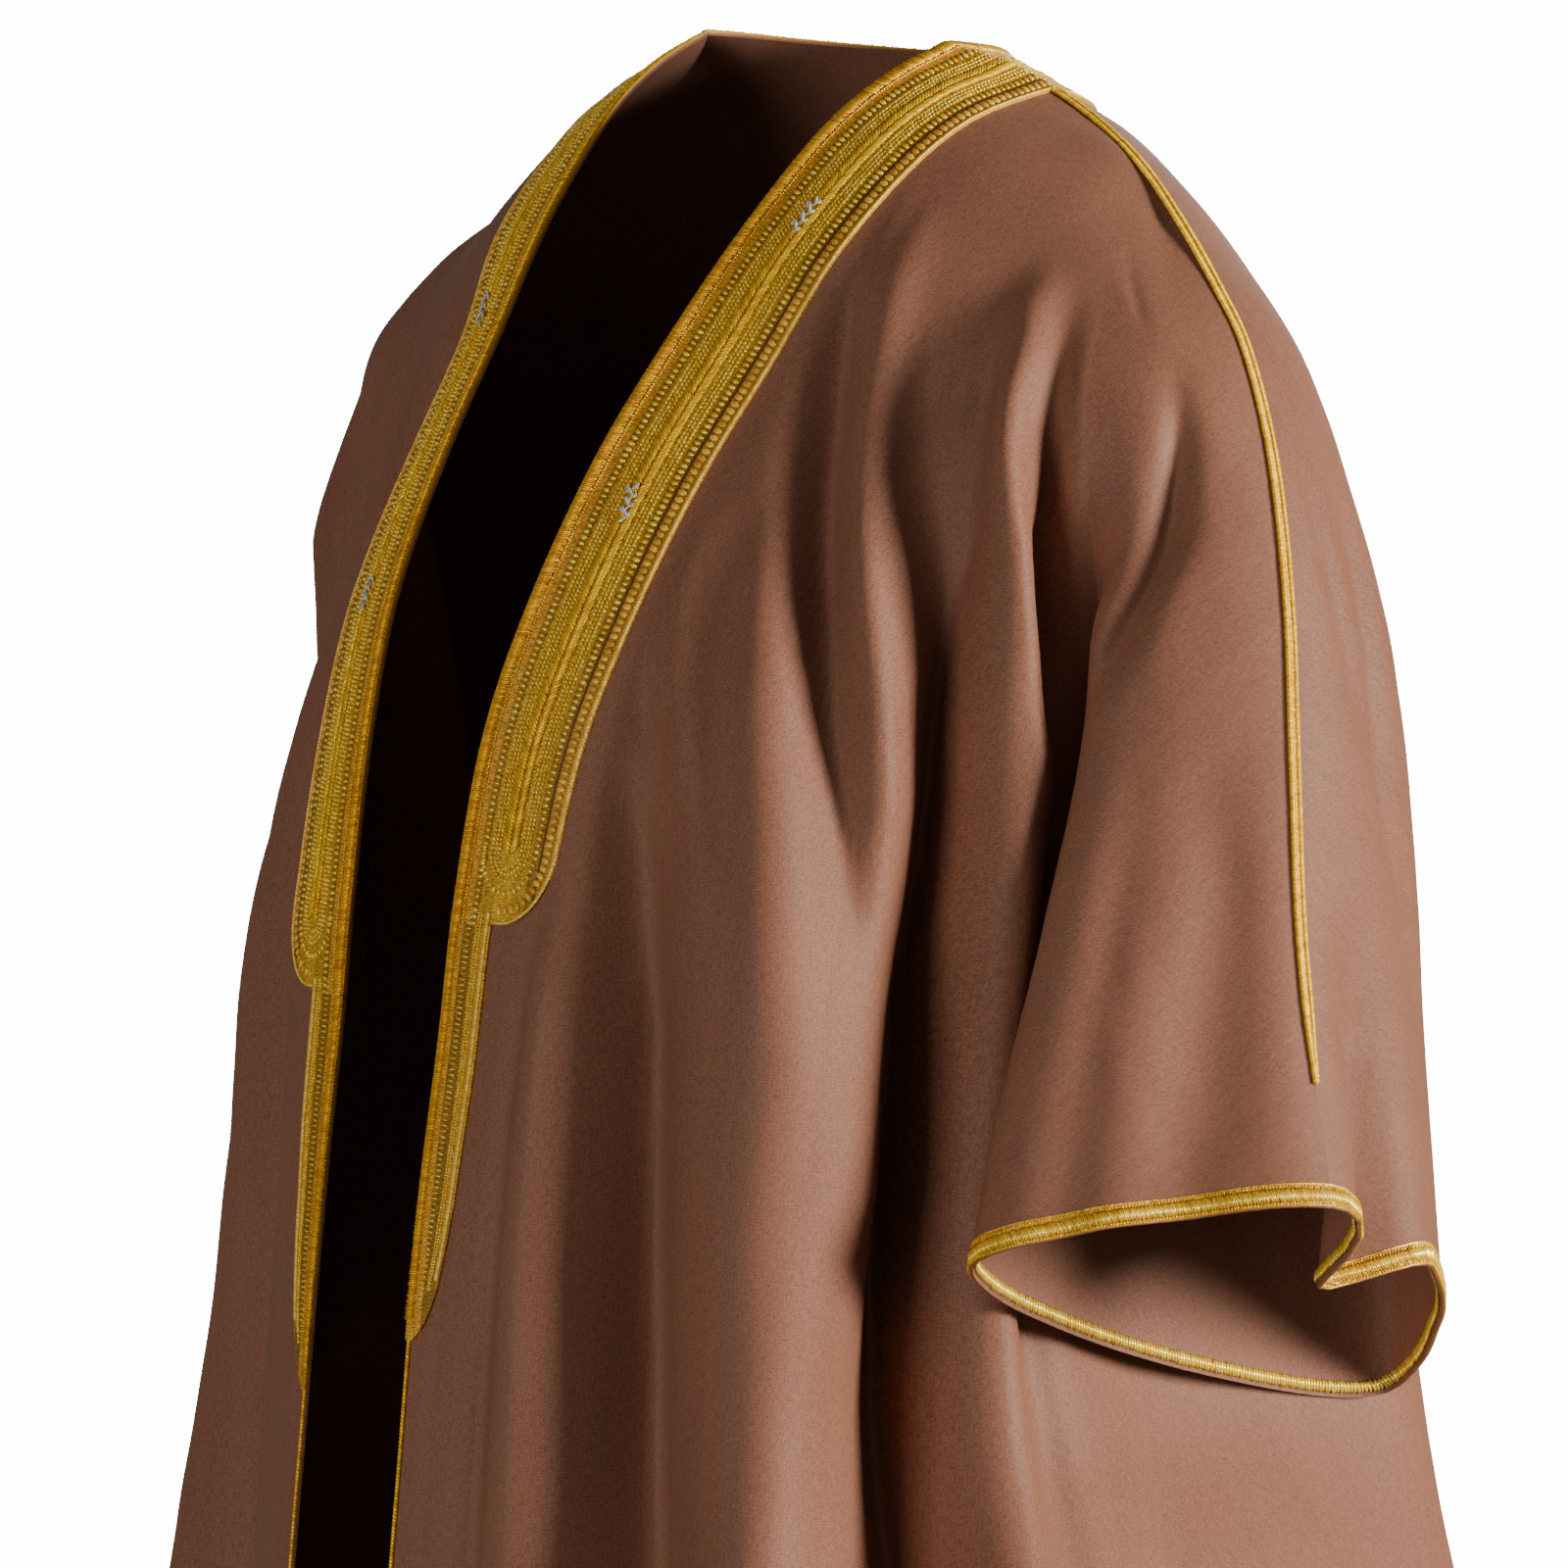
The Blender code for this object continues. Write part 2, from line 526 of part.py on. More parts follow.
class Half:
    """The base form of one side of the robe, as stations that run down the cloth."""

    def __init__(self, side):
        self.side = side
        steps = np.linspace(0, len(SEAM) - 1, 400)
        self.seam_dense = self.place(along([(p.x, p.y, -p.drop) for p in SEAM], steps), "seam")
        front = np.array(FRONT)
        back = np.array(BACK)
        body = np.array(BODY)
        sleeve = np.array(SLEEVE)
        self.under = len(FRONT) - 1
        self.back_under = len(BACK) - 1
        self.hem = self.under + len(BODY)
        self.cuff = self.under + len(SLEEVE)
        self.front_drop = np.r_[front[:, 1], body[:, 0]]
        self.back_drop = np.r_[back[:, 0], body[:, 0]]
        self.sleeve_drop = np.r_[front[:, 1], sleeve[:, 0]]
        self.back_sleeve_drop = np.r_[back[:, 0], sleeve[:, 0]]
        fall = front[:, 0:1] + (front[:, 1:2] - front[:, 0:1]) * np.array(FRONT_FALL)
        top = [np.c_[front[:, 2 + 2 * i : 4 + 2 * i], -fall[:, i]] for i in range(5)]
        low = [np.c_[body[:, 1 + 2 * i : 3 + 2 * i], -body[:, 0]] for i in range(5)]
        reach = ((sleeve[:, 0] - 35.0) / (sleeve[-1, 0] - 35.0))[:, None]
        hang = sleeve[:, 0:1] + reach * np.array([PIT_HANG, FORE_HANG, REAR_HANG, HEEL_HANG])
        ring = [np.c_[sleeve[:, 1 + 2 * i : 3 + 2 * i], -hang[:, i]] for i in range(4)]
        back_fall = back[:, 0:1] + (back[:, 1:2] - back[:, 0:1]) * np.array(BACK_FALL)
        rear = [np.c_[back[:, 2 + 2 * i : 4 + 2 * i], -back_fall[:, i]] for i in range(4)]
        middle = np.c_[0 * back[:, 0], back[:, 10], -back_fall[:, 4]]
        low_middle = np.c_[0 * body[:, 0], body[:, 11], -body[:, 0]]
        mid = np.array([[19.0, 0.0, -35.0]])
        self.curves = {
            "edge": np.r_[top[0], low[0]],
            "chest": np.r_[top[1], low[1]],
            "lip": np.r_[top[2], low[2]],
            "valley": top[3],
            "fore": np.r_[top[4], ring[1]],
            "side": np.r_[mid, low[3]],
            "pit": np.r_[mid, ring[0]],
            "rear": np.r_[rear[0], ring[2]],
            "heel": np.r_[rear[1], ring[3]],
            "hollow": rear[2],
            "back_lip": np.r_[rear[3], low[4]],
            "centre": np.r_[middle, low_middle],
        }

    def place(self, points, name):
        """Centimetres of the left side to metres of this side, with the far side's own set."""
        points = np.array(points, float)
        if self.side < 0:
            shift = np.array(FAR_SIDE)
            out, back = FAR_COLUMNS.get(name, (0, 0))
            falls = -points[..., 2]
            if out:
                points[..., 0] += np.interp(falls, shift[:, 0], shift[:, out])
            if back:
                points[..., 1] += np.interp(falls, shift[:, 0], shift[:, back])
        points[..., 0] *= self.side
        return points * CM

    def read(self, name, at):
        return self.place(along(self.curves[name], at), name)

    def seam(self, drops):
        """Points of the shoulder seam at drops in centimetres."""
        falls = -self.seam_dense[:, 2] / CM
        return np.stack([np.interp(drops, falls, self.seam_dense[:, i]) for i in range(3)], axis=1)

    def level(self, drops, table):
        """Row numbers of a table of drops at these drops."""
        dense = np.linspace(0, len(table) - 1, 600)
        values = along(np.asarray(table)[:, None], dense)[:, 0]
        return np.interp(drops, values, dense)

    def drop(self, rows, table):
        return along(np.asarray(table)[:, None], rows)[:, 0]

    def front_base(self, rows):
        """Base grids of a front, to the underarm line and over the sleeve: body, sleeve."""
        top = rows[rows <= self.under + 1e-9]
        edge, chest, lip, valley, fore = (
            self.read(name, top) for name in ("edge", "chest", "lip", "valley", "fore")
        )
        drops = self.drop(top, self.front_drop)
        seam = self.seam(drops)
        level = self.level(drops, self.back_drop)
        rear = self.read("rear", level)
        heel = self.read("heel", level)
        back_lip = self.read("back_lip", level)
        split = smooth(top, 4.0, 7.5)[:, None]
        cross = smooth(top, 0.0, 1.5)[:, None]
        at_chest = turn(edge, chest, lip)
        at_lip = turn(chest, lip, valley)
        through = turn(lip, valley, fore)
        to_body = through + (turn(lip, valley, back_lip) + self.apart(0.16) - through) * split
        to_sleeve = through + (turn(heel, valley, fore) + self.apart(0.5) - through) * split
        at_fore = turn(valley, fore, seam)
        outward = (seam - fore) / np.linalg.norm(seam - fore, axis=1, keepdims=True)
        at_seam = outward + (turn(fore, seam, rear) - outward) * cross
        body_ends = self.pairs(edge, chest, (at_chest, at_lip, to_body))
        body = sweep((edge, chest, lip, valley), body_ends, SAMPLES)
        sleeve = sweep((valley, fore, seam), [(to_sleeve,) * 2, (at_fore,) * 2, (at_seam,) * 2], SAMPLES)
        if rows[0] == 0:
            self.lay_on_seam(body, sleeve)
        low = rows[rows > self.under + 1e-9]
        body_low = low
        edge, chest, lip = (self.read(name, low) for name in ("edge", "chest", "lip"))
        side = self.read("side", low - self.under)
        back_lip = self.read("back_lip", low - self.under + self.back_under)
        soft = 1 - smooth(low, self.under, self.under + 1.0)[:, None]
        at_side = turn(lip, side, back_lip) + self.apart(0.16) * soft
        ends = (turn(edge, chest, lip), turn(chest, lip, side), at_side)
        lower = sweep((edge, chest, lip, side), self.pairs(edge, chest, ends), SAMPLES)
        low = low[low <= self.cuff + 1e-9]
        ring = self.ring(low)
        pit, fore, seam, rear, heel = ring
        soft = 1 - smooth(low, self.under, self.under + 1.0)[:, None]
        at_pit = turn(heel, pit, fore) + self.apart(0.5) * soft
        ends = [(at_pit,) * 2, (turn(pit, fore, seam),) * 2, (turn(fore, seam, rear),) * 2]
        lower_sleeve = sweep((pit, fore, seam), ends, SAMPLES)
        return np.r_[body, lower], np.r_[sleeve, lower_sleeve]

    def apart(self, slope):
        """An outward slope that opens the body and the sleeve from each other at the underarm."""
        return np.array([self.side * slope, 0.0, 0.0])

    def ring(self, rows):
        """Stations of the sleeve below the underarm at front row numbers."""
        drops = self.drop(rows, self.sleeve_drop)
        pit = self.read("pit", rows - self.under)
        fore = self.read("fore", rows)
        seam = self.seam(drops)
        back_rows = rows - self.under + self.back_under
        return pit, fore, seam, self.read("rear", back_rows), self.read("heel", back_rows)

    def pairs(self, first, second, others):
        """Tangents for a sweep that starts at a free edge."""
        span = np.linalg.norm(second - first, axis=1, keepdims=True)
        start = 1.5 * (second - first) / span - 0.5 * others[0]
        if self.side < 0:
            shift = np.array(FAR_SIDE)
            turns = np.radians(np.interp(-first[:, 2] / CM, shift[:, 0], shift[:, 5]))
            ahead, aside = start[:, 0].copy(), start[:, 1].copy()
            start[:, 0] = ahead * np.cos(turns) - aside * np.sin(turns)
            start[:, 1] = ahead * np.sin(turns) + aside * np.cos(turns)
        return [(start,) * 2] + [(other,) * 2 for other in others]

    def lay_on_seam(self, body, sleeve):
        """Puts the first level of a front exactly on the shoulder seam."""
        line = np.r_[body[0], sleeve[0, 1:]]
        length = np.r_[0.0, np.cumsum(np.linalg.norm(np.diff(line, axis=0), axis=1))]
        falls = -self.seam_dense[:, 2] / CM
        stretch = self.seam_dense[falls <= FRONT[0].arm_drop + 1e-6]
        reach = np.r_[0.0, np.cumsum(np.linalg.norm(np.diff(stretch, axis=0), axis=1))]
        at = length / length[-1] * reach[-1]
        line = np.stack([np.interp(at, reach, stretch[:, i]) for i in range(3)], axis=1)
        body[0] = line[: body.shape[1]]
        sleeve[0] = line[body.shape[1] - 1 :]

    def back_base(self, rows):
        """Base grids of half of the back: sleeve from the seam, body to the centre."""
        top = rows[rows <= self.back_under + 1e-9]
        rear, heel, hollow, lip, centre = (
            self.read(name, top) for name in ("rear", "heel", "hollow", "back_lip", "centre")
        )
        drops = self.drop(top, self.back_drop)
        seam = self.seam(drops)
        level = self.level(drops, self.front_drop)
        fore = self.read("fore", level)
        front_lip = self.read("lip", level)
        split = smooth(top, 5.5, 8.5)[:, None]
        cross = smooth(top, 2.8, 4.2)[:, None]
        at_rear = turn(seam, rear, heel)
        inward = 1.5 * (rear - seam) / np.linalg.norm(rear - seam, axis=1, keepdims=True) - 0.5 * at_rear
        at_seam = inward + (turn(fore, seam, rear) - inward) * cross
        through = turn(heel, hollow, lip)
        to_sleeve = through + (turn(heel, hollow, fore) - self.apart(0.5) - through) * split
        to_body = through + (turn(front_lip, hollow, lip) - self.apart(0.16) - through) * split
        at_heel = turn(rear, heel, hollow)
        at_lip = turn(hollow, lip, centre)
        across = np.zeros_like(centre) + np.array([-self.side, 0.0, 0.0])
        sleeve_ends = [(v,) * 2 for v in (at_seam, at_rear, at_heel, to_sleeve)]
        sleeve = sweep((seam, rear, heel, hollow), sleeve_ends, SAMPLES)
        body = sweep((hollow, lip, centre), [(v,) * 2 for v in (to_body, at_lip, across)], SAMPLES)
        low = rows[rows > self.back_under + 1e-9]
        front_rows = low - self.back_under + self.under
        side = self.read("side", low - self.back_under)
        lip = self.read("back_lip", low)
        centre = self.read("centre", low)
        front_lip = self.read("lip", front_rows)
        across = np.zeros_like(centre) + np.array([-self.side, 0.0, 0.0])
        soft = 1 - smooth(low, self.back_under, self.back_under + 1.0)[:, None]
        at_side = turn(front_lip, side, lip) - self.apart(0.16) * soft
        ends = [(at_side,) * 2, (turn(side, lip, centre),) * 2, (across,) * 2]
        lower = sweep((side, lip, centre), ends, SAMPLES)
        front_rows = front_rows[front_rows <= self.cuff + 1e-9]
        pit, fore, seam, rear, heel = self.ring(front_rows)
        soft = 1 - smooth(front_rows, self.under, self.under + 1.0)[:, None]
        ends = [
            (turn(fore, seam, rear),) * 2,
            (turn(seam, rear, heel),) * 2,
            (turn(rear, heel, pit),) * 2,
            (turn(heel, pit, fore) - self.apart(0.5) * soft,) * 2,
        ]
        lower_sleeve = sweep((seam, rear, heel, pit), ends, SAMPLES)
        return np.r_[sleeve, lower_sleeve], np.r_[body, lower]


def spans(grid):
    """Length along each level from its start."""
    steps = np.linalg.norm(np.diff(grid, axis=1), axis=2)
    return np.c_[np.zeros(len(grid)), np.cumsum(steps, axis=1)]


def facing(grid, side):
    """Unit normals of a grid, out of the cloth."""
    down = np.gradient(grid, axis=0)
    over = np.gradient(grid, axis=1)
    normal = side * np.cross(down, over)
    return normal / (np.linalg.norm(normal, axis=2, keepdims=True) + 1e-12)


def fold_heights(folds, drops, across):
    """Total height of the folds, in metres, over a grid of distances across the cloth."""
    total = np.zeros_like(across)
    for fold in folds:
        points = fold.points
        levels = [p.drop for p in points]
        place = np.interp(drops, levels, [p.across for p in points])[:, None]
        height = np.interp(drops, levels, [p.height for p in points], left=0, right=0)[:, None]
        width = np.interp(drops, levels, [p.width for p in points])[:, None]
        total += height * np.exp(-(((across / CM - place) / width) ** 2))
    return total * CM


def band_ends(side):
    """How far down the wide and the narrow band reach on a side."""
    if side > 0:
        return BAND_END_LEFT, NARROW_END_LEFT
    return BAND_END_RIGHT, NARROW_END_RIGHT


def band_reach(drops, side):
    """How far from the edge the cloth stays flat under the bands, in centimetres."""
    wide_end, narrow_end = band_ends(side)
    levels = np.array([0.0, wide_end - 0.01, wide_end + 0.01, narrow_end, narrow_end + 0.02]) / CM
    reach = np.array([BAND_WIDTH, BAND_WIDTH, NARROW_WIDTH, NARROW_WIDTH, 0.002]) / CM
    return np.interp(drops, levels, reach)


class Cloth(NamedTuple):
    """A finished grid of cloth: points, normals and how far each point lies across."""

    points: np.ndarray
    normals: np.ndarray
    across: np.ndarray
    heights: np.ndarray


def drape(grid, side, folds, drops, across, hold):
    """Moves a base grid out by its folds, held where hold is zero."""
    normals = facing(grid, side)
    heights = fold_heights(folds, drops, across) * hold
    points = grid + normals * heights[..., None]
    return Cloth(points, facing(points, side), across, heights)


def fine_rows(count):
    """Row numbers of the fine grid that every coarser one is picked from."""
    return np.linspace(0, count, count * 12 + 1)


def front_cloth(half):
    """Fine grids of a front: its body and its sleeve, folds and all."""
    rows = fine_rows(half.hem)
    body, sleeve = half.front_base(rows)
    across = spans(body)
    drops = -body[:, 0, 2] / CM
    folds = FRONT_FOLDS if half.side > 0 else FAR_FRONT_FOLDS
    reach = band_reach(drops, half.side)[:, None]
    flat = smooth(across / CM - reach, -0.3, 2.2)
    hold = flat * smooth((across[:, -1:] - across) / CM, 0.0, 2.4)
    hold = hold * smooth(rows, 0.0, 1.6)[:, None]
    body = drape(body, half.side, folds, -half_levels(body), across, hold)
    across = spans(sleeve)
    across = across[:, -1:] - across
    hold = smooth(across / CM, 0.3, 2.6) * smooth((across[:, :1] - across) / CM, 0.0, 2.4)
    hold = hold * smooth(rows[: len(sleeve)], 0.0, 1.6)[:, None]
    drops = half.drop(rows[: len(sleeve)], half.sleeve_drop)
    sleeve = drape(sleeve, half.side, FRONT_SLEEVE_FOLDS, drops, across, hold)
    return body, sleeve


def half_levels(grid):
    """The height of each level of a grid, in centimetres, taken at its middle."""
    return grid[:, grid.shape[1] // 2, 2] / CM


def back_cloth(half):
    """Fine grids of half of the back: its sleeve and its body, folds and all."""
    rows = fine_rows(half.back_under + len(BODY))
    sleeve, body = half.back_base(rows)
    across = spans(body)
    across = across[:, -1:] - across
    hold = smooth((across[:, :1] - across) / CM, 0.0, 2.4) * smooth(rows, 1.2, 3.0)[:, None]
    folds = BACK_FOLDS if half.side > 0 else FAR_BACK_FOLDS
    body = drape(body, half.side, folds, -half_levels(body), across, hold)
    across = spans(sleeve)
    hold = smooth(across / CM, 0.3, 2.2) * smooth((across[:, -1:] - across) / CM, 0.0, 2.4)
    hold = hold * smooth(rows[: len(sleeve)], 1.2, 3.0)[:, None]
    drops = half.drop(rows[: len(sleeve)], half.back_sleeve_drop)
    dip = RECESS_DIP * np.exp(-(((across / CM - RECESS_PLACE) / RECESS_SPREAD) ** 2))
    sleeve[..., 2] -= dip * smooth(across / CM, 0.0, 2.0) * smooth(drops, 35.0, 39.8)[:, None] * CM
    sleeve = drape(sleeve, half.side, BACK_SLEEVE_FOLDS, drops, across, hold)
    return sleeve, body


def sample(grid, rows, columns):
    """Points of a grid at part numbers of rows and columns."""
    rows = np.clip(rows, 0, grid.shape[0] - 1.0)
    columns = np.clip(columns, 0, grid.shape[1] - 1.0)
    low = np.minimum(rows.astype(int), grid.shape[0] - 2)
    left = np.minimum(columns.astype(int), grid.shape[1] - 2)
    down = (rows - low)[..., None]
    over = (columns - left)[..., None]
    upper = grid[low, left] * (1 - over) + grid[low, left + 1] * over
    lower = grid[low + 1, left] * (1 - over) + grid[low + 1, left + 1] * over
    return upper * (1 - down) + lower * down


def distance(points, line):
    """Distance of each point of a grid from a line of points."""
    flat = points.reshape(-1, 3)
    near = np.full(len(flat), np.inf)
    for start in range(0, len(line), 64):
        gaps = np.linalg.norm(flat[:, None] - line[None, start : start + 64], axis=2)
        near = np.minimum(near, gaps.min(axis=1))
    return near.reshape(points.shape[:-1])


def even(across, heights, first, count):
    """Part column numbers from first to the last, closer together where the cloth turns."""
    found = np.empty((len(across), count + 1))
    for i, (reach, height) in enumerate(zip(across / CM, heights / CM)):
        slope = np.gradient(height, reach + 1e-9 * np.arange(len(reach)))
        bend = np.abs(np.gradient(slope, reach + 1e-9 * np.arange(len(reach))))
        density = 1.0 + 2.2 * np.minimum(bend, 1.0)
        steps = np.abs(np.diff(reach)) * 0.5 * (density[1:] + density[:-1])
        total = np.r_[0.0, np.cumsum(steps)]
        start = np.interp(first[i], np.arange(len(total)), total)
        found[i] = np.interp(np.linspace(start, total[-1], count + 1), total, np.arange(len(total)))
    return found


def settle(columns):
    """Evens out part column numbers from level to level, so that columns run smoothly."""
    soft = columns.copy()
    for _ in range(10):
        soft[1:-1] = 0.25 * soft[:-2] + 0.5 * soft[1:-1] + 0.25 * soft[2:]
    return soft


def row_picks(counts):
    """Fine row numbers for a number of cuts in each interval of the table."""
    picks = [0]
    for i, cuts in enumerate(counts):
        picks += [12 * i + 12 * (k + 1) // cuts for k in range(cuts)]
    return np.array(picks)


def across_border(border, inner, side):
    """Unit normals along a border, and where the points beside it lie well off its line."""
    step = (inner - border) / np.linalg.norm(inner - border, axis=1, keepdims=True)
    line = np.gradient(border, axis=0)
    line /= np.linalg.norm(line, axis=1, keepdims=True) + 1e-12
    normal = side * np.cross(step, line)
    size = np.linalg.norm(normal, axis=1, keepdims=True)
    return normal / (size + 1e-12), size[:, 0] > 0.45


def fold_normals(first, second, side):
    """Unit normals down the column that two grids share, both grids with equal weight."""
    down = np.gradient(second[:, 0], axis=0)
    total = np.zeros_like(down)
    for over in (first[:, -1] - first[:, -2], second[:, 1] - second[:, 0]):
        normal = side * np.cross(down, over)
        total += normal / (np.linalg.norm(normal, axis=1, keepdims=True) + 1e-12)
    return total / (np.linalg.norm(total, axis=1, keepdims=True) + 1e-12)


class Panels:
    """The cloth grids of one side at a chosen fineness."""

    def __init__(self, side, fine=1):
        self.half = half = Half(side)
        self.body, self.sleeve = front_cloth(half)
        self.back_sleeve, self.back_body = back_cloth(half)
        neck = np.r_[self.back_sleeve.points[0], self.back_body.points[0, 1:]]
        self.line = np.r_[self.body.points[::-1, 0], neck[1:]]
        places = np.linspace(0, len(BAND_LINES) - 1, (len(BAND_LINES) - 1) * fine + 1)
        self.steps = np.interp(places, np.arange(len(BAND_LINES)), BAND_LINES)
        low = [2, 2, 2, 3, 4, 4]
        cuts = [min(12, c * fine) for c in [2] * half.under + low]
        self.rows = row_picks(cuts)
        self.turn_row = int(np.sum(self.rows <= 12 * half.under)) - 1
        self.sleeve_rows = self.rows[self.rows <= 12 * half.cuff - 12]
        cuts = [min(12, c * fine) for c in [2] * half.back_under + low]
        self.back_rows = row_picks(cuts)
        self.seam = self.seam_normal()
        self.front_grids(fine)
        self.back_grids(fine)
        self.join_seam()

    def seam_normal(self):
        """Shared normals along the shoulder seam, the side seam and the underarm seam."""
        under, back_under = 12 * self.half.under, 12 * self.half.back_under
        body, sleeve = self.body.points, self.sleeve.points
        first = np.r_[body[0], sleeve[0, 1:], sleeve[1:, -1]]
        inner = np.r_[body[6], sleeve[6, 1:], sleeve[1:, -8]]
        facing_front, sure = across_border(first, inner, self.half.side)
        second = self.back_sleeve.points[:, 0]
        facing_back, _ = across_border(second, self.back_sleeve.points[:, 8], -self.half.side)
        falls = -first[:, 2]
        levels = -first[sure, 2]
        front = np.stack([np.interp(falls, levels, facing_front[sure, i]) for i in range(3)], axis=1)
        back = np.stack([np.interp(falls, -second[:, 2], facing_back[:, i]) for i in range(3)], axis=1)
        shared = settle(front + back)
        shared /= np.linalg.norm(shared, axis=1, keepdims=True)
        count = len(self.body.points) - under
        side = self.body.normals[under:, -1] + self.back_body.normals[back_under : back_under + count, 0]
        count = len(self.sleeve.points) - under
        pit = self.sleeve.normals[under:, 0] + self.back_sleeve.normals[back_under : back_under + count, -1]
        side /= np.linalg.norm(side, axis=1, keepdims=True)
        pit /= np.linalg.norm(pit, axis=1, keepdims=True)
        return falls, shared, side, pit

    def on_seam(self, points):
        """The shared normal of the shoulder seam at points on it."""
        falls, shared, _, _ = self.seam
        normals = np.stack([np.interp(-points[:, 2], falls, shared[:, i]) for i in range(3)], axis=1)
        return normals / np.linalg.norm(normals, axis=1, keepdims=True)

    def front_grids(self, fine):
        """Picks the front's grids: bands at set distances from the edge, then even columns."""
        points = self.body.points
        gaps = np.maximum.accumulate(distance(points, self.line), axis=1)
        places = np.arange(points.shape[1])
        banded = np.array([np.interp(self.steps, row, places) for row in gaps])
        rest = settle(even(self.body.across, self.body.heights, banded[:, -1], BODY_COLUMNS * fine))
        rest[:, 0] = banded[:, -1]
        columns = np.c_[banded, rest[:, 1:]]
        rows = self.rows.astype(float)[:, None] + 0 * columns[self.rows]
        self.front_body = sample(points, rows, columns[self.rows])
        zero = np.zeros(len(self.sleeve.points))
        columns = settle(even(self.sleeve.across, self.sleeve.heights, zero, SLEEVE_COLUMNS * fine))
        self.front_sleeve = self.cuff_rows(self.sleeve.points, columns, self.sleeve_rows)

    def back_grids(self, fine):
        """Picks the back's grids: bands at set distances from the neck, then even rows."""
        steps = self.steps
        zero = np.zeros(len(self.back_sleeve.points))
        across, heights = self.back_sleeve.across, self.back_sleeve.heights
        sleeve = settle(even(across, heights, zero, BACK_SLEEVE_COLUMNS * fine))
        zero = np.zeros(len(self.back_body.points))
        body = settle(even(self.back_body.across, self.back_body.heights, zero, BACK_COLUMNS * fine))
        lower = self.back_rows[self.back_rows > 12]
        self.back_turn = len(steps) + int(np.sum(lower <= 12 * self.half.back_under)) - 1
        self.lower_rows = lower
        self.back_ends = lower[lower <= 12 * (self.half.back_under + len(SLEEVE)) - 12]
        self.back_sleeve_grid = self.neck_rows(self.back_sleeve.points, sleeve, steps, self.back_ends, True)
        self.back_body_grid = self.neck_rows(self.back_body.points, body, steps, lower)

    def join_seam(self):
        """Puts the front's border points on the back's border, with the same corners."""
        back = self.back_sleeve_grid[:, 0]
        body, sleeve = self.front_body, self.front_sleeve
        line = np.r_[body[0], sleeve[0, 1:], sleeve[1:, -1]]
        falls = -line[:, 2]
        for fall in -back[:, 2]:
            falls[np.argmin(np.abs(falls - fall))] = fall
        line = np.stack([np.interp(falls, -back[:, 2], back[:, i]) for i in range(3)], axis=1)
        width, turned = body.shape[1], sleeve.shape[1] - 1
        body[0] = line[:width]
        sleeve[0] = line[width - 1 : width + turned]
        sleeve[1:, -1] = line[width + turned :]

    def cuff_rows(self, points, columns, picked):
        """A grid whose last row but one keeps the trim's width from the hem."""
        rows = picked.astype(float)[:, None] + 0 * columns[picked]
        grid = sample(points, rows, columns[picked])
        last = columns[-1]
        line = points[-1]
        tail = np.arange(len(points) - 13.0, len(points))
        part = sample(points, tail[:, None] + 0 * last, last + 0 * tail[:, None])
        gaps = distance(part, line)
        up = np.array([np.interp(TRIM_WIDTH, gaps[::-1, j], tail[::-1]) for j in range(len(last))])
        ends = np.array([up, np.full(len(last), len(points) - 1.0)])
        return np.r_[grid, sample(points, ends, np.array([last, last]))]

    def neck_rows(self, points, columns, steps, lower, cuffed=False):
        """A grid whose first rows keep set distances from the neck."""
        head = sample(points[:30], np.arange(30.0)[:, None] + 0 * columns[:30], columns[:30])
        gaps = np.maximum.accumulate(distance(head, self.line), axis=0)
        places = np.arange(30.0)
        near = np.array([np.interp(steps, gaps[:, j], places) for j in range(head.shape[1])]).T
        levels = np.arange(len(columns), dtype=float)
        top = np.empty(near.shape)
        for j in range(near.shape[1]):
            top[:, j] = np.interp(near[:, j], levels, columns[:, j])
        head = sample(points, near, top)
        if cuffed:
            return np.r_[head, self.cuff_rows(points, columns, lower)]
        rows = lower.astype(float)[:, None] + 0 * columns[lower]
        return np.r_[head, sample(points, rows, columns[lower])]


class Skin:
    """A sheet of triangles with a normal at each point, which can be given a thickness."""

    def __init__(self):
        self.points = []
        self.triangles = []
        self.count = 0
        self.set_normals = {}

    def add(self, grid, shared=None, flip=False):
        """Adds a grid. Shared gives the point numbers that it takes from a grid before it."""
        rows, columns = grid.shape[:2]
        index = np.full((rows, columns), -1)
        if shared is not None:
            index[shared[0]] = shared[1]
        new = index < 0
        index[new] = self.count + np.arange(int(new.sum()))
        self.points.append(grid[new])
        self.count += int(new.sum())
        a, b = index[:-1, :-1].ravel(), index[:-1, 1:].ravel()
        c, d = index[1:, 1:].ravel(), index[1:, :-1].ravel()
        triangles = np.r_[np.c_[a, b, c], np.c_[a, c, d]]
        self.triangles.append(triangles[:, ::-1] if flip else triangles)
        return index

    def solid(self, low, high):
        """Points and triangles of the closed body between two heights over the sheet."""
        points = np.concatenate(self.points)
        triangles = np.concatenate(self.triangles)
        corners = points[triangles]
        faces = np.cross(corners[:, 1] - corners[:, 0], corners[:, 2] - corners[:, 0])
        normals = np.zeros_like(points)
        for i in range(3):
            np.add.at(normals, triangles[:, i], faces)
        for number, normal in self.set_normals.items():
            normals[number] = normal
        normals /= np.linalg.norm(normals, axis=1, keepdims=True)
        edges = np.r_[triangles[:, [0, 1]], triangles[:, [1, 2]], triangles[:, [2, 0]]]
        forward = {(int(a), int(b)) for a, b in edges}
        rim = np.array([edge for edge in map(tuple, edges.tolist()) if edge[::-1] not in forward])
        lift = len(points)
        a, b = rim[:, 0], rim[:, 1]
        walls = np.r_[np.c_[b, a, a + lift], np.c_[b, a + lift, b + lift]]
        both = np.r_[points + high * normals, points + low * normals]
        return both, np.r_[triangles, triangles[:, ::-1] + lift, walls]


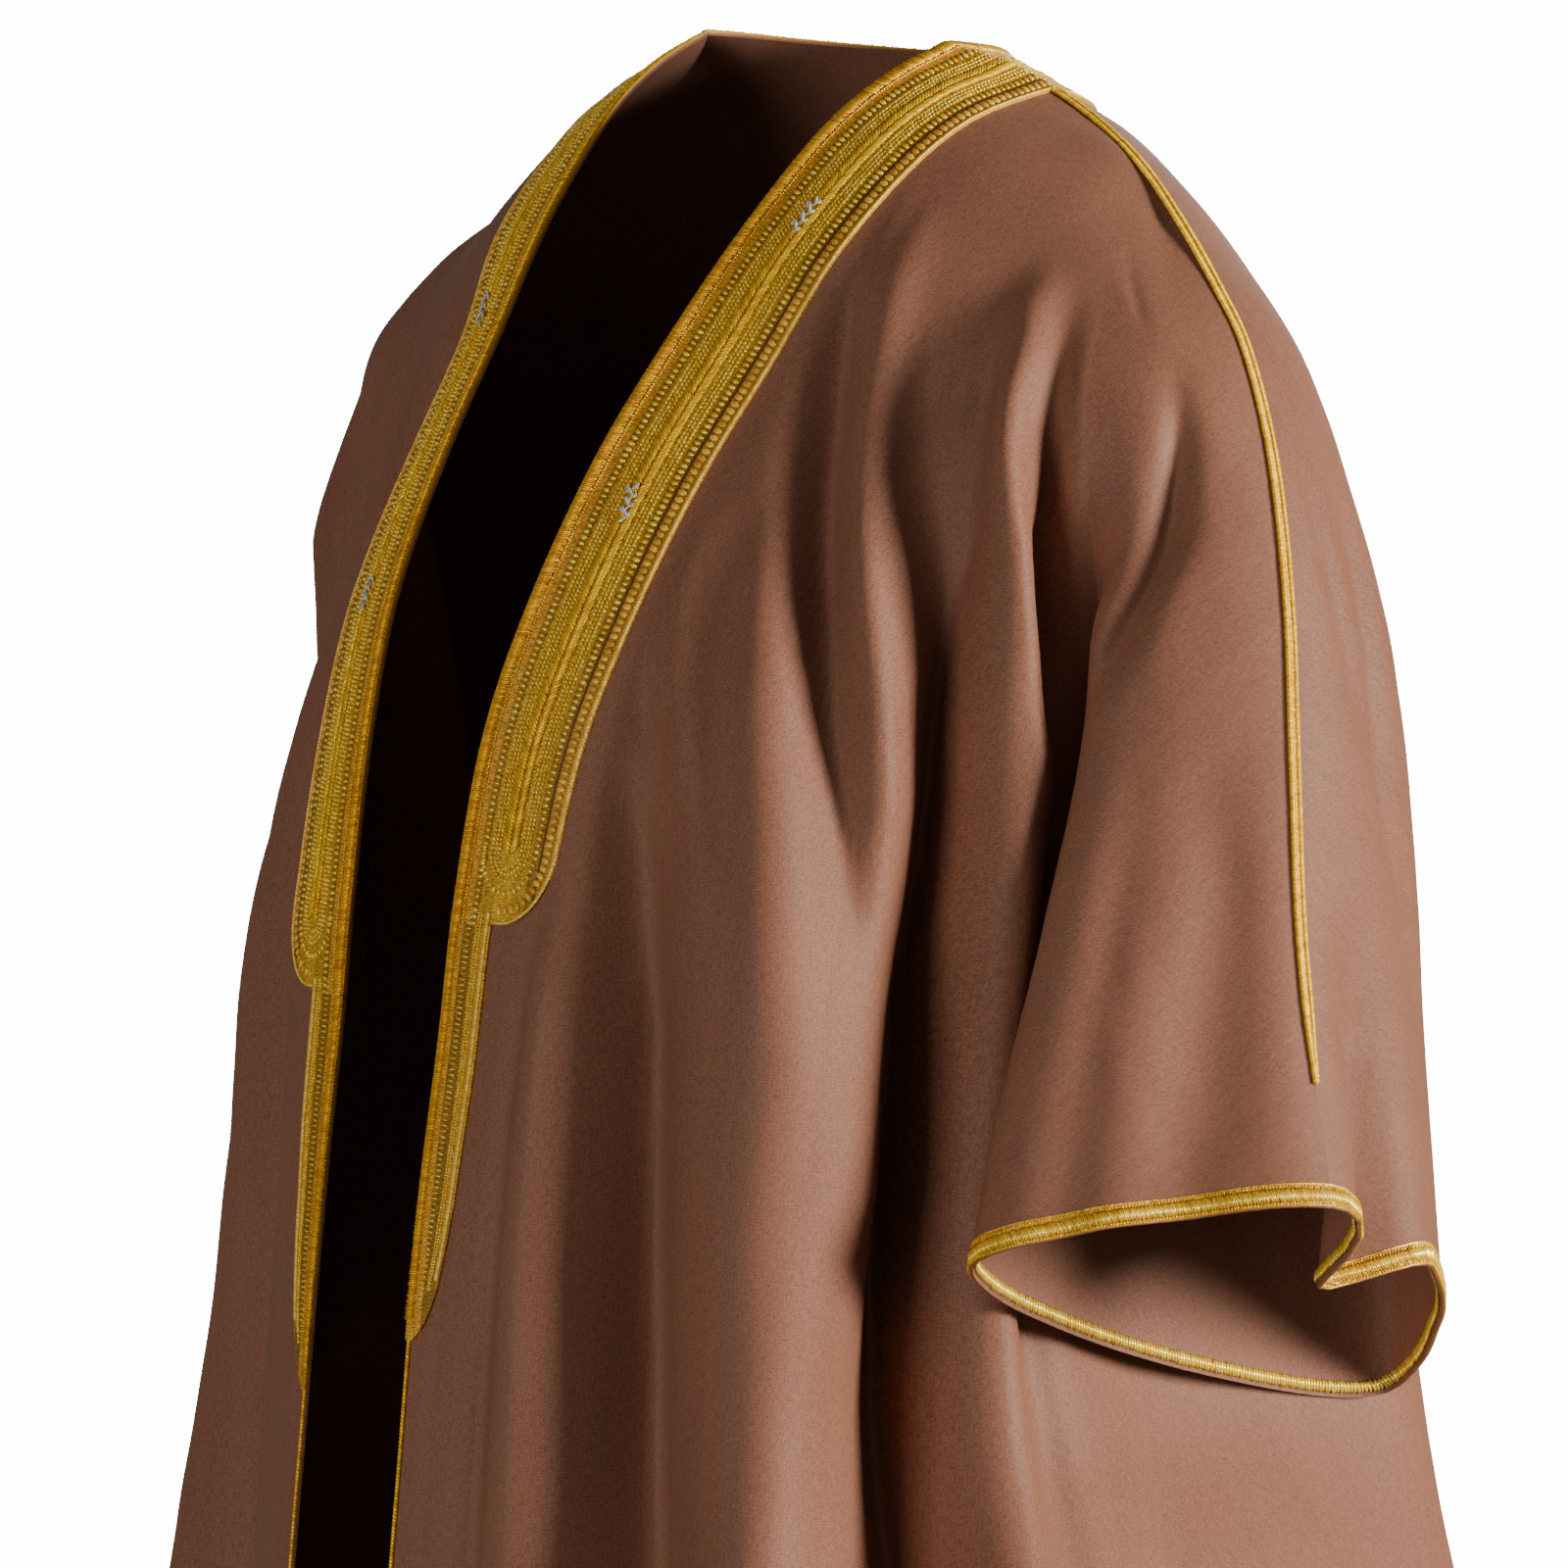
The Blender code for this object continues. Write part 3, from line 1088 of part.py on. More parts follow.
def draw_in(points, inner):
    """Points of a border moved half the seam gap towards the points beside them."""
    step = inner - points
    length = np.linalg.norm(step, axis=-1, keepdims=True)
    return points + step / np.maximum(length, 1e-9) * SEAM_GAP / 2


def front_skin(panels):
    """The sheet of a front, with its borders drawn in along every seam."""
    turn_row = panels.turn_row
    body, sleeve = panels.front_body.copy(), panels.front_sleeve.copy()
    under = panels.half.under
    seam_top = panels.on_seam(body[0])
    seam_sleeve = panels.on_seam(sleeve[0])
    seam_side = panels.on_seam(sleeve[:, -1])
    body[0] = draw_in(body[0], body[1])
    sleeve[0] = draw_in(sleeve[0], sleeve[1])
    body[turn_row + 1 :, -1] = draw_in(body[turn_row + 1 :, -1], body[turn_row + 1 :, -2])
    sleeve[turn_row + 1 :, 0] = draw_in(sleeve[turn_row + 1 :, 0], sleeve[turn_row + 1 :, 1])
    sleeve[1:, -1] = draw_in(sleeve[1:, -1], sleeve[1:, -2])
    skin = Skin()
    flip = panels.half.side > 0
    index = skin.add(body, flip=flip)
    taken = (np.s_[: turn_row + 1, 0], index[: turn_row + 1, -1])
    ring = skin.add(sleeve, taken, flip)
    _, _, side, pit = panels.seam
    fold = fold_normals(body[: turn_row + 1], sleeve[: turn_row + 1], panels.half.side)
    skin.set_normals.update(zip(ring[: turn_row + 1, 0].tolist(), fold))
    skin.set_normals.update(zip(index[0].tolist(), seam_top))
    skin.set_normals.update(zip(ring[0, 1:].tolist(), seam_sleeve[1:]))
    skin.set_normals.update(zip(ring[:, -1].tolist(), seam_side))
    low = panels.rows[turn_row + 1 :] - 12 * under
    skin.set_normals.update(zip(index[turn_row + 1 :, -1].tolist(), side[low]))
    low = panels.sleeve_rows[turn_row + 1 :] - 12 * under
    low = np.r_[low, 12 * len(SLEEVE) - 2, 12 * len(SLEEVE)]
    skin.set_normals.update(zip(ring[turn_row + 1 :, 0].tolist(), pit[low]))
    return skin, index, ring


def back_skin(left, right):
    """The sheet of the whole back, from seam to seam."""
    skin = Skin()
    found = []
    middle = None
    for panels in (left, right):
        turn_row = panels.back_turn
        body, sleeve = panels.back_body_grid.copy(), panels.back_sleeve_grid.copy()
        seam = panels.on_seam(sleeve[:, 0])
        body[turn_row + 1 :, 0] = draw_in(body[turn_row + 1 :, 0], body[turn_row + 1 :, 1])
        sleeve[turn_row + 1 :, -1] = draw_in(sleeve[turn_row + 1 :, -1], sleeve[turn_row + 1 :, -2])
        sleeve[:, 0] = draw_in(sleeve[:, 0], sleeve[:, 1])
        flip = panels.half.side > 0
        if middle is None:
            index = skin.add(body, flip=flip)
        else:
            index = skin.add(body, (np.s_[:, -1], middle), flip)
        middle = index[:, -1]
        ring = skin.add(sleeve, (np.s_[: turn_row + 1, -1], index[: turn_row + 1, 0]), flip)
        fold = fold_normals(sleeve[: turn_row + 1], body[: turn_row + 1], panels.half.side)
        skin.set_normals.update(zip(index[: turn_row + 1, 0].tolist(), fold))
        _, _, side, pit = panels.seam
        offset = 12 * panels.half.back_under
        low = panels.lower_rows[panels.lower_rows > offset] - offset
        skin.set_normals.update(zip(ring[:, 0].tolist(), seam))
        skin.set_normals.update(zip(index[turn_row + 1 :, 0].tolist(), side[low]))
        low = panels.back_ends[panels.back_ends > offset] - offset
        low = np.r_[low, 12 * len(SLEEVE) - 2, 12 * len(SLEEVE)]
        skin.set_normals.update(zip(ring[turn_row + 1 :, -1].tolist(), pit[low]))
        found.append((index, ring))
    return skin, found


def strip(grid, normals, low, high, flip, closed=False, crossed=None):
    """Closed body over a grid of points with set normals. Crossed rows take the other diagonal."""
    index = np.arange(grid.shape[0] * grid.shape[1]).reshape(grid.shape[:2])
    if closed:
        index = np.r_[index, index[:1]]
    a, b = index[:-1, :-1], index[:-1, 1:]
    c, d = index[1:, 1:], index[1:, :-1]
    other = np.zeros(len(a), bool) if crossed is None else np.asarray(crossed)
    plain = [np.stack(t, axis=-1)[~other].reshape(-1, 3) for t in ((a, b, c), (a, c, d))]
    turned = [np.stack(t, axis=-1)[other].reshape(-1, 3) for t in ((a, b, d), (b, c, d))]
    triangles = np.concatenate(plain + turned)
    skin = Skin()
    skin.points.append(grid.reshape(-1, 3))
    skin.triangles.append(triangles[:, ::-1] if flip else triangles)
    skin.set_normals.update(enumerate(normals.reshape(-1, 3)))
    return skin.solid(low, high)


def mesh_normals(skin, index):
    """Normals of a sheet's points, as a grid."""
    points = np.concatenate(skin.points)
    triangles = np.concatenate(skin.triangles)
    corners = points[triangles]
    faces = np.cross(corners[:, 1] - corners[:, 0], corners[:, 2] - corners[:, 0])
    normals = np.zeros_like(points)
    for i in range(3):
        np.add.at(normals, triangles[:, i], faces)
    for number, normal in skin.set_normals.items():
        normals[number] = normal
    normals /= np.linalg.norm(normals, axis=1, keepdims=True)
    return normals[index]


def strip_rows(panels, start, end, extra=()):
    """Part row numbers of the front's grid from one drop to another, in metres."""
    falls = -panels.front_body[:, 0, 2]
    first, last = np.interp([start, end], falls, np.arange(len(falls)))
    whole = np.arange(np.ceil(first + 0.15), np.floor(last - 0.15) + 1)
    more = np.interp(list(extra), falls, np.arange(len(falls)))
    return np.unique(np.r_[first, whole, more, last])


def band_width(drops, end):
    """Width of the wide band at drops below the neck, rounded off at its end."""
    t = np.clip((end - drops) / BAND_ROUND, 0.0, 1.0)
    return NARROW_WIDTH + (BAND_WIDTH - NARROW_WIDTH) * np.sqrt(1.0 - (1.0 - t) ** 2)


def front_strip(panels, normals, rows, widths, lines):
    """Points and normals of a strip that lies on a front along its edge."""
    across = widths[:, None] * np.array(lines) / lines[-1]
    columns = np.interp(across, BAND_LINES, np.arange(len(BAND_LINES)))
    places = rows[:, None] + 0 * columns
    lifted = sample(normals, places, columns)
    lifted /= np.linalg.norm(lifted, axis=2, keepdims=True)
    return sample(panels.front_body, places, columns), lifted


def neck_band(left, right, normals):
    """The wide band: up one front, round the back of the neck and down the other front."""
    low, high = CLOTH / 2 + LAY_GAP, CLOTH / 2 + LAY_GAP + BAND_THICK
    pieces, facings, crossed = [], [], []
    corner = BAND_ROUND * (1 - np.cos(np.radians([20, 45, 70, 90])))
    for panels, front, back_body, back_sleeve in ((left,) + normals[0], (right,) + normals[1]):
        end, _ = band_ends(panels.half.side)
        rows = strip_rows(panels, -1.0, end, end - corner)
        drops = np.interp(rows, np.arange(len(panels.front_body)), -panels.front_body[:, 0, 2])
        points, lifted = front_strip(panels, front, rows, band_width(drops, end), BAND_LINES)
        depth = len(BAND_LINES)
        neck = np.concatenate([panels.back_sleeve_grid[:depth], panels.back_body_grid[:depth, 1:]], axis=1)
        facing_neck = np.concatenate([back_sleeve[:depth], back_body[:depth, 1:]], axis=1)
        half = np.concatenate([points[::-1], neck.transpose(1, 0, 2)[1:]])
        half_facing = np.concatenate([lifted[::-1], facing_neck.transpose(1, 0, 2)[1:]])
        pieces.append(half)
        facings.append(half_facing)
        crossed.append(np.r_[np.ones(len(points) - 1, bool), np.zeros(neck.shape[1] - 1, bool)])
    grid = np.concatenate([pieces[0], pieces[1][::-1][1:]])
    lifted = np.concatenate([facings[0], facings[1][::-1][1:]])
    return strip(grid, lifted, low, high, flip=False, crossed=np.r_[crossed[0], ~crossed[1][::-1]])


def narrow_band(panels, normals):
    """The narrow band below the wide one, drawn to a blunt point at its end."""
    low, high = CLOTH / 2 + LAY_GAP, CLOTH / 2 + LAY_GAP + BAND_THICK
    start, end = band_ends(panels.half.side)
    rows = strip_rows(panels, start + SEAM_GAP, end, (end - 0.018, end - 0.008))
    drops = np.interp(rows, np.arange(len(panels.front_body)), -panels.front_body[:, 0, 2])
    widths = np.interp(end - drops, [0.0, 0.008, 0.018], [0.006, 0.015, NARROW_WIDTH])
    grid, lifted = front_strip(panels, normals, rows, widths, BAND_LINES[:3])
    return strip(grid, lifted, low, high, flip=panels.half.side > 0)


def edge_cord(panels, normals):
    """The thin cord on the front edge from the narrow band to the hem."""
    low = CLOTH / 2 + LAY_GAP
    rows = strip_rows(panels, band_ends(panels.half.side)[1] + SEAM_GAP, 9.0)
    grid, lifted = front_strip(panels, normals, rows, np.full(len(rows), CORD_WIDTH), (0.0, 1.0))
    return strip(grid, lifted, low, low + CORD_THICK, flip=panels.half.side > 0)


def piping(panels):
    """The piping on the shoulder seam, drawn to a point above the cuff."""
    line = panels.half.seam_dense
    reach = np.r_[0.0, np.cumsum(np.linalg.norm(np.diff(line, axis=0), axis=1))]
    gaps = distance(line[None], panels.line)[0]
    start = np.interp(BAND_WIDTH + 0.001, np.maximum.accumulate(gaps), reach)
    end = np.interp(PIPING_END, -line[:, 2], reach)
    at = np.r_[np.linspace(start, end - 0.03, 30), end - 0.02, end - 0.01, end]
    points = np.stack([np.interp(at, reach, line[:, i]) for i in range(3)], axis=1)
    normals = panels.on_seam(points)
    along_seam = np.gradient(points, axis=0)
    across = np.cross(normals, along_seam)
    across /= np.linalg.norm(across, axis=1, keepdims=True)
    widths = PIPING_WIDTH / 2 * np.interp(at, [end - 0.03, end], [1.0, 0.2])
    base = CLOTH / 2 + 2 * SEAM_GAP
    profile = ((-1.0, 0.0), (-0.8, 0.6), (0.0, 1.0), (0.8, 0.6), (1.0, 0.0))
    rings = []
    for sideways, up in profile:
        height = base + PIPING_HIGH * up * np.interp(at, [end - 0.03, end], [1.0, 0.5])
        rings.append(points + normals * height[:, None] + across * (sideways * widths)[:, None])
    grid = np.stack(rings, axis=1)
    return tube(grid)


def tube(grid):
    """Closed body through rings of points, with a flat cap at each end."""
    rows, columns = grid.shape[:2]
    index = np.arange(rows * columns).reshape(rows, columns)
    wrapped = np.c_[index, index[:, :1]]
    a, b = wrapped[:-1, :-1].ravel(), wrapped[:-1, 1:].ravel()
    c, d = wrapped[1:, 1:].ravel(), wrapped[1:, :-1].ravel()
    triangles = [np.c_[a, b, c], np.c_[a, c, d]]
    for i in range(1, columns - 1):
        triangles.append([[index[0, 0], index[0, i + 1], index[0, i]]])
        triangles.append([[index[-1, 0], index[-1, i], index[-1, i + 1]]])
    triangles = np.concatenate([np.array(t) for t in triangles])
    points = grid.reshape(-1, 3)
    corners = points[triangles]
    volume = np.linalg.det(corners - points.mean(axis=0)).sum()
    return points, triangles if volume > 0 else triangles[:, ::-1]


def cuff_trim(panels, ring_front, ring_back):
    """The trim round the sleeve hem, on the front and the back of the sleeve together."""
    front, facing_front = ring_front
    back, facing_back = ring_back
    loop = np.concatenate([front[-2:], back[-2:, 1:-1]], axis=1).transpose(1, 0, 2)
    facings = np.concatenate([facing_front[-2:], facing_back[-2:, 1:-1]], axis=1).transpose(1, 0, 2)
    low = CLOTH / 2 + LAY_GAP
    return strip(loop, facings, low, low + TRIM_THICK, flip=panels.half.side < 0, closed=True)


def material(name, colour, metallic, roughness):
    made = bpy.data.materials.new(name)
    made.use_nodes = True
    shader = made.node_tree.nodes["Principled BSDF"]
    shader.inputs["Base Color"].default_value = (*colour, 1.0)
    shader.inputs["Metallic"].default_value = metallic
    shader.inputs["Roughness"].default_value = roughness
    return made


def build_object(name, body, look):
    points, triangles = body
    mesh = bpy.data.meshes.new(name)
    mesh.from_pydata(points.tolist(), [], triangles.tolist())
    mesh.update()
    mesh.materials.append(material(name, *look))
    made = bpy.data.objects.new(name, mesh)
    bpy.context.scene.collection.objects.link(made)
    return made


BROWN = ((0.26, 0.12, 0.08), 0.0, 0.6)
GOLD = ((0.75, 0.52, 0.12), 0.7, 0.4)


def build():
    """Builds every piece of the robe."""
    for old in list(bpy.data.objects):
        bpy.data.objects.remove(old, do_unlink=True)
    sides = Panels(1), Panels(-1)
    low, high = -CLOTH / 2, CLOTH / 2
    skin, found = back_skin(*sides)
    build_object("back", skin.solid(low, high), BROWN)
    normals = []
    for panels, name, (body, ring) in zip(sides, ("left", "right"), found):
        front, index, cuff = front_skin(panels)
        build_object("front_" + name, front.solid(low, high), BROWN)
        facing_front = mesh_normals(front, index)
        facing_cuff = mesh_normals(front, cuff)
        facing_ring = mesh_normals(skin, ring)
        normals.append((facing_front, mesh_normals(skin, body), facing_ring))
        build_object("narrow_band_" + name, narrow_band(panels, facing_front), GOLD)
        build_object("edge_cord_" + name, edge_cord(panels, facing_front), GOLD)
        build_object("shoulder_piping_" + name, piping(panels), GOLD)
        trim = cuff_trim(panels, (panels.front_sleeve, facing_cuff), (panels.back_sleeve_grid, facing_ring))
        build_object("cuff_trim_" + name, trim, GOLD)
    build_object("neck_band", neck_band(*sides, normals), GOLD)


if __name__ == "__main__":
    build()
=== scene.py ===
"""Looks of an open-fronted brown robe with gold bands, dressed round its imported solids.

Metres, +Z up. The chest faces -Y and the left side is +X. The tables of the cut are in centimetres.
"""

import json
import logging
from dataclasses import dataclass
from enum import Enum
from typing import NamedTuple

import bpy
import numpy as np
from mathutils import Vector
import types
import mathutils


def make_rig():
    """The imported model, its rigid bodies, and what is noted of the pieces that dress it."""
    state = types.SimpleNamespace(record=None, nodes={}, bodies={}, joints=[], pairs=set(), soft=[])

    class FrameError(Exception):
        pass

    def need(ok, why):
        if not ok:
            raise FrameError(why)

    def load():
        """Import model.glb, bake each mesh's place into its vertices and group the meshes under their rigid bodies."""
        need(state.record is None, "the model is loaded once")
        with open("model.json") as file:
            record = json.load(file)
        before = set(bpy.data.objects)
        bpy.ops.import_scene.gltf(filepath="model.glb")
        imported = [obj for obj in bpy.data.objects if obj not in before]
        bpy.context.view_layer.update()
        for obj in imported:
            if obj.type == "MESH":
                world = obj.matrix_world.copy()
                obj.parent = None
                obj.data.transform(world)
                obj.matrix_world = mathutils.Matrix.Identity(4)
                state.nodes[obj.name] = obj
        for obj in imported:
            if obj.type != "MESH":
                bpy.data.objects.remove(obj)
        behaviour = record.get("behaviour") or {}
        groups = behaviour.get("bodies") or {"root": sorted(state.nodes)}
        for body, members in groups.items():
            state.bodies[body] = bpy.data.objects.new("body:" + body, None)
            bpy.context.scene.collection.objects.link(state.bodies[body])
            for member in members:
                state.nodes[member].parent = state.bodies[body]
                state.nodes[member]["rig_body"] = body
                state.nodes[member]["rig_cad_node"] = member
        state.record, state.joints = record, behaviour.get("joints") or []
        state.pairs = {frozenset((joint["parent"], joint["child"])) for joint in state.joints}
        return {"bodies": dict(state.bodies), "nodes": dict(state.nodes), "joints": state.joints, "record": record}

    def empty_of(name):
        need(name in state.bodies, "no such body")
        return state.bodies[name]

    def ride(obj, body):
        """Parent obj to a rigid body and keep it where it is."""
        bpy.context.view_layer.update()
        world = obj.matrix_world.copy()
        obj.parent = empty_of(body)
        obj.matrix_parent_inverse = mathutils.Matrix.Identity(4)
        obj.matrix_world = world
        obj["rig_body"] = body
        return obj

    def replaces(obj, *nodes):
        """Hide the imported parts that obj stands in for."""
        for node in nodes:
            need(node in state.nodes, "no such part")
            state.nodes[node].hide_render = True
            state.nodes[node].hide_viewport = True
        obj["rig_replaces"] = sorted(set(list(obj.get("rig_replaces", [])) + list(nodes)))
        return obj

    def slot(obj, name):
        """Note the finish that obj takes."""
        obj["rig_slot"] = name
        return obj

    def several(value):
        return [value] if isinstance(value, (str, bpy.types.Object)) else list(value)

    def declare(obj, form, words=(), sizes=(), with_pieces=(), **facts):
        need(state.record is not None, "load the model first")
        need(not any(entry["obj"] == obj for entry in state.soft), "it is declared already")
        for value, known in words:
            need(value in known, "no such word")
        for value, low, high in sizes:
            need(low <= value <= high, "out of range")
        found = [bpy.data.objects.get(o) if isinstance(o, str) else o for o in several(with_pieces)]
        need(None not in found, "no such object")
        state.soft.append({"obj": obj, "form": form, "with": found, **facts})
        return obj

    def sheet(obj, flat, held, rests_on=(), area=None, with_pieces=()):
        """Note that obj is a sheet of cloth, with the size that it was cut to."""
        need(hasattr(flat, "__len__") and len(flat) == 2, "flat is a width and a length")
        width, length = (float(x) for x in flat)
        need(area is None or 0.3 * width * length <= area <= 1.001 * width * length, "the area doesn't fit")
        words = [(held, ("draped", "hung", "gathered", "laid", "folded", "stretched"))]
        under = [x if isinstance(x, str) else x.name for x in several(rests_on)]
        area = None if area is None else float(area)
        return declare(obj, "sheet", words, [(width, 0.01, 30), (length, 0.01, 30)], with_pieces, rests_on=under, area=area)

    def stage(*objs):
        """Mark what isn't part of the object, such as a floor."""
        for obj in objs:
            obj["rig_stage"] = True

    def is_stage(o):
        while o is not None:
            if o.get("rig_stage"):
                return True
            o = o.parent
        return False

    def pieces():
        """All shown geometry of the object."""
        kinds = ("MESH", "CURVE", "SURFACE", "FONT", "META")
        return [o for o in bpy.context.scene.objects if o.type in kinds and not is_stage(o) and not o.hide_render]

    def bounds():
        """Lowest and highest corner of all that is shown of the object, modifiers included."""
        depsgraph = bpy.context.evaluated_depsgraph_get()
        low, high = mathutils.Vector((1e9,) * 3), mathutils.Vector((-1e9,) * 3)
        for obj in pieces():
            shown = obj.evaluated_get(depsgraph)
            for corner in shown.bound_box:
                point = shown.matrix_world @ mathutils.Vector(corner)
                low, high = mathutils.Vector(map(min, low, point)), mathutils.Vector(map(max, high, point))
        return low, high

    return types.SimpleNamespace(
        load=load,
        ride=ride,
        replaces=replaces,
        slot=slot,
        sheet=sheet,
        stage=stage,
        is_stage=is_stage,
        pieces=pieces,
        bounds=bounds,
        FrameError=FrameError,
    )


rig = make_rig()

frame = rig.load()
CAD_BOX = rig.bounds()

LOG = logging.getLogger("robe")
CM = 0.01
Array = np.ndarray
Line = tuple[Array, Array]
Triple = tuple[float, float, float]

# Sizes of the cloth and its trims, in metres
CLOTH = 0.0010
BAND_WIDTH = 0.045
BAND_END = {1: 0.308, -1: 0.343}
BAND_ROUND = 0.028
NARROW_WIDTH = 0.020
NARROW_END = {1: 0.464, -1: 0.492}
PIPING_END = 0.357
TRIM_WIDTH = 0.0088
BAND_HEIGHT = 0.0016
TRIM_HEIGHT = 0.0012

# The underarm point and the drop of the sleeve hem's seam, in centimetres
UNDERARM_X = 19.0
UNDERARM_DROP = 35.0
CUFF_DROP = 39.8

# How far the body and the sleeve lean apart at the fold between them
BODY_LEAN = 0.16
SLEEVE_LEAN = 0.5

# Points between two stations of a level
SAMPLES = 40


class FrontRow(NamedTuple):
    """One level of a front above the underarm, from its edge to the front of the arm."""

    edge_drop: float
    arm_drop: float
    edge_x: float
    edge_y: float
    chest_x: float
    chest_y: float
    lip_x: float
    lip_y: float
    valley_x: float
    valley_y: float
    fore_x: float
    fore_y: float


class BackRow(NamedTuple):
    """One level of the back above the underarm, from the back of the arm to the centre."""

    arm_drop: float
    centre_drop: float
    rear_x: float
    rear_y: float
    heel_x: float
    heel_y: float
    hollow_x: float
    hollow_y: float
    lip_x: float
    lip_y: float
    centre_y: float


class BodyRow(NamedTuple):
    """One level of the body below the underarm: half of its ring."""

    drop: float
    edge_x: float
    edge_y: float
    chest_x: float
    chest_y: float
    lip_x: float
    lip_y: float
    side_x: float
    side_y: float
    back_lip_x: float
    back_lip_y: float
    centre_y: float


class SleeveRow(NamedTuple):
    """One level of the half sleeve below the underarm: its ring but for the seam."""

    drop: float
    pit_x: float
    pit_y: float
    fore_x: float
    fore_y: float
    rear_x: float
    rear_y: float
    heel_x: float
    heel_y: float


class SeamPoint(NamedTuple):
    """A point of the shoulder and upper-arm seam."""

    drop: float
    x: float
    y: float


class FarRow(NamedTuple):
    """How the right side differs at one level, outward and backward, and its edge's turn in degrees."""

    drop: float
    edge_out: float
    chest_back: float
    arm_out: float
    arm_back: float
    edge_turn: float


class FoldPoint(NamedTuple):
    """Where a fold lies at one level: distance across the cloth, height out, half width."""

    drop: float
    across: float
    height: float
    width: float


class Fold(NamedTuple):
    """A fold of the cloth: its name and the levels that it runs through."""

    name: str
    points: tuple


def fold(name: str, *points: tuple[float, float, float, float]) -> Fold:
    """A fold from its levels."""
    return Fold(name, tuple(FoldPoint(*point) for point in points))


SEAM = (
    SeamPoint(-1.2, 7.0, 1.0),
    SeamPoint(-0.3, 9.4, 2.6),
    SeamPoint(1.1, 12.0, 3.5),
    SeamPoint(2.9, 15.3, 3.4),
    SeamPoint(5.0, 18.1, 3.0),
    SeamPoint(7.4, 20.8, 2.5),
    SeamPoint(9.7, 23.0, 2.0),
    SeamPoint(13.6, 25.4, 1.1),
    SeamPoint(18.6, 27.1, 0.3),
    SeamPoint(24.2, 28.1, -0.3),
    SeamPoint(30.0, 28.8, -0.6),
    SeamPoint(35.0, 30.2, -1.2),
    SeamPoint(37.4, 31.1, -1.5),
    SeamPoint(39.8, 32.1, -2.0),
)

FRONT = (
    FrontRow(-1.2, 5.3, 7.0, 1.0, 12.6, 3.55, 14.6, 3.45, 16.2, 3.3, 17.5, 3.1),
    FrontRow(0.0, 6.9, 6.8, -1.7, 13.2, -0.2, 15.2, 0.6, 17.3, 1.0, 19.2, 1.5),
    FrontRow(1.9, 8.5, 6.4, -4.4, 13.0, -3.0, 15.7, -1.6, 18.4, -0.9, 20.8, 0.0),
    FrontRow(5.7, 9.8, 5.75, -7.9, 13.0, -5.8, 16.6, -3.5, 19.4, -2.3, 21.9, -0.7),
    FrontRow(10.0, 12.0, 4.95, -11.1, 13.2, -7.4, 17.7, -5.3, 20.4, -3.8, 23.2, -1.8),
    FrontRow(14.0, 15.0, 4.5, -13.9, 13.8, -9.2, 18.6, -6.4, 20.9, -3.8, 23.4, -2.7),
    FrontRow(19.0, 19.0, 4.2, -16.7, 13.8, -11.9, 19.3, -7.4, 20.4, -2.6, 22.0, -4.5),
    FrontRow(24.0, 24.0, 3.8, -18.6, 13.8, -14.4, 20.0, -7.4, 20.0, -1.8, 22.3, -5.4),
    FrontRow(30.0, 30.0, 3.7, -19.9, 13.8, -16.6, 20.5, -7.6, 19.4, -1.0, 22.4, -7.2),
    FrontRow(35.0, 35.0, 3.65, -20.6, 14.0, -17.6, 20.3, -8.2, 19.0, -0.1, 22.4, -8.8),
)

BACK = (
    BackRow(-1.2, -0.5, 6.8, 2.4, 6.4, 3.8, 5.6, 5.0, 4.0, 6.3, 7.2),
    BackRow(0.9, 3.6, 11.2, 5.2, 10.6, 6.8, 9.6, 8.2, 7.0, 9.7, 10.6),
    BackRow(2.9, 7.0, 15.2, 5.2, 14.6, 6.9, 13.8, 8.3, 10.5, 10.5, 11.9),
    BackRow(5.3, 10.0, 18.0, 5.6, 17.1, 7.4, 16.0, 8.6, 13.2, 10.7, 12.9),
    BackRow(7.4, 13.0, 20.0, 6.1, 18.6, 7.6, 17.2, 8.6, 15.0, 10.9, 13.7),
    BackRow(9.7, 15.0, 21.8, 6.2, 20.0, 7.9, 18.3, 8.7, 16.2, 11.4, 14.3),
    BackRow(13.6, 17.5, 23.6, 6.4, 21.4, 8.2, 19.3, 8.4, 17.0, 11.7, 14.8),
    BackRow(19.0, 21.0, 25.0, 7.2, 21.8, 8.6, 19.8, 7.2, 17.6, 12.2, 15.3),
    BackRow(24.0, 25.0, 25.6, 7.7, 22.0, 9.3, 19.6, 5.2, 17.8, 13.0, 15.8),
    BackRow(30.0, 30.0, 26.1, 8.0, 22.0, 10.0, 19.3, 3.0, 18.0, 13.9, 16.5),
    BackRow(35.0, 35.0, 26.3, 8.2, 21.6, 10.4, 19.0, 0.1, 18.0, 14.5, 17.0),
)

BODY = (
    BodyRow(42.0, 3.6, -21.7, 14.3, -17.9, 20.2, -9.0, 18.0, 0.4, 18.0, 15.2, 18.0),
    BodyRow(50.0, 3.6, -22.6, 15.0, -18.0, 20.8, -10.2, 20.0, 0.8, 18.8, 15.8, 19.0),
    BodyRow(60.0, 3.6, -23.6, 16.0, -18.6, 24.0, -12.0, 26.0, 1.0, 20.6, 15.8, 20.5),
    BodyRow(80.0, 3.6, -25.0, 18.0, -20.0, 28.0, -13.0, 31.0, 1.0, 24.5, 17.0, 23.0),
    BodyRow(110.0, 3.5, -27.0, 20.0, -22.0, 30.5, -14.5, 34.0, 1.0, 27.5, 19.5, 26.5),
    BodyRow(142.0, 3.4, -29.0, 21.5, -24.0, 32.0, -16.0, 36.0, 1.0, 29.0, 21.5, 29.5),
)

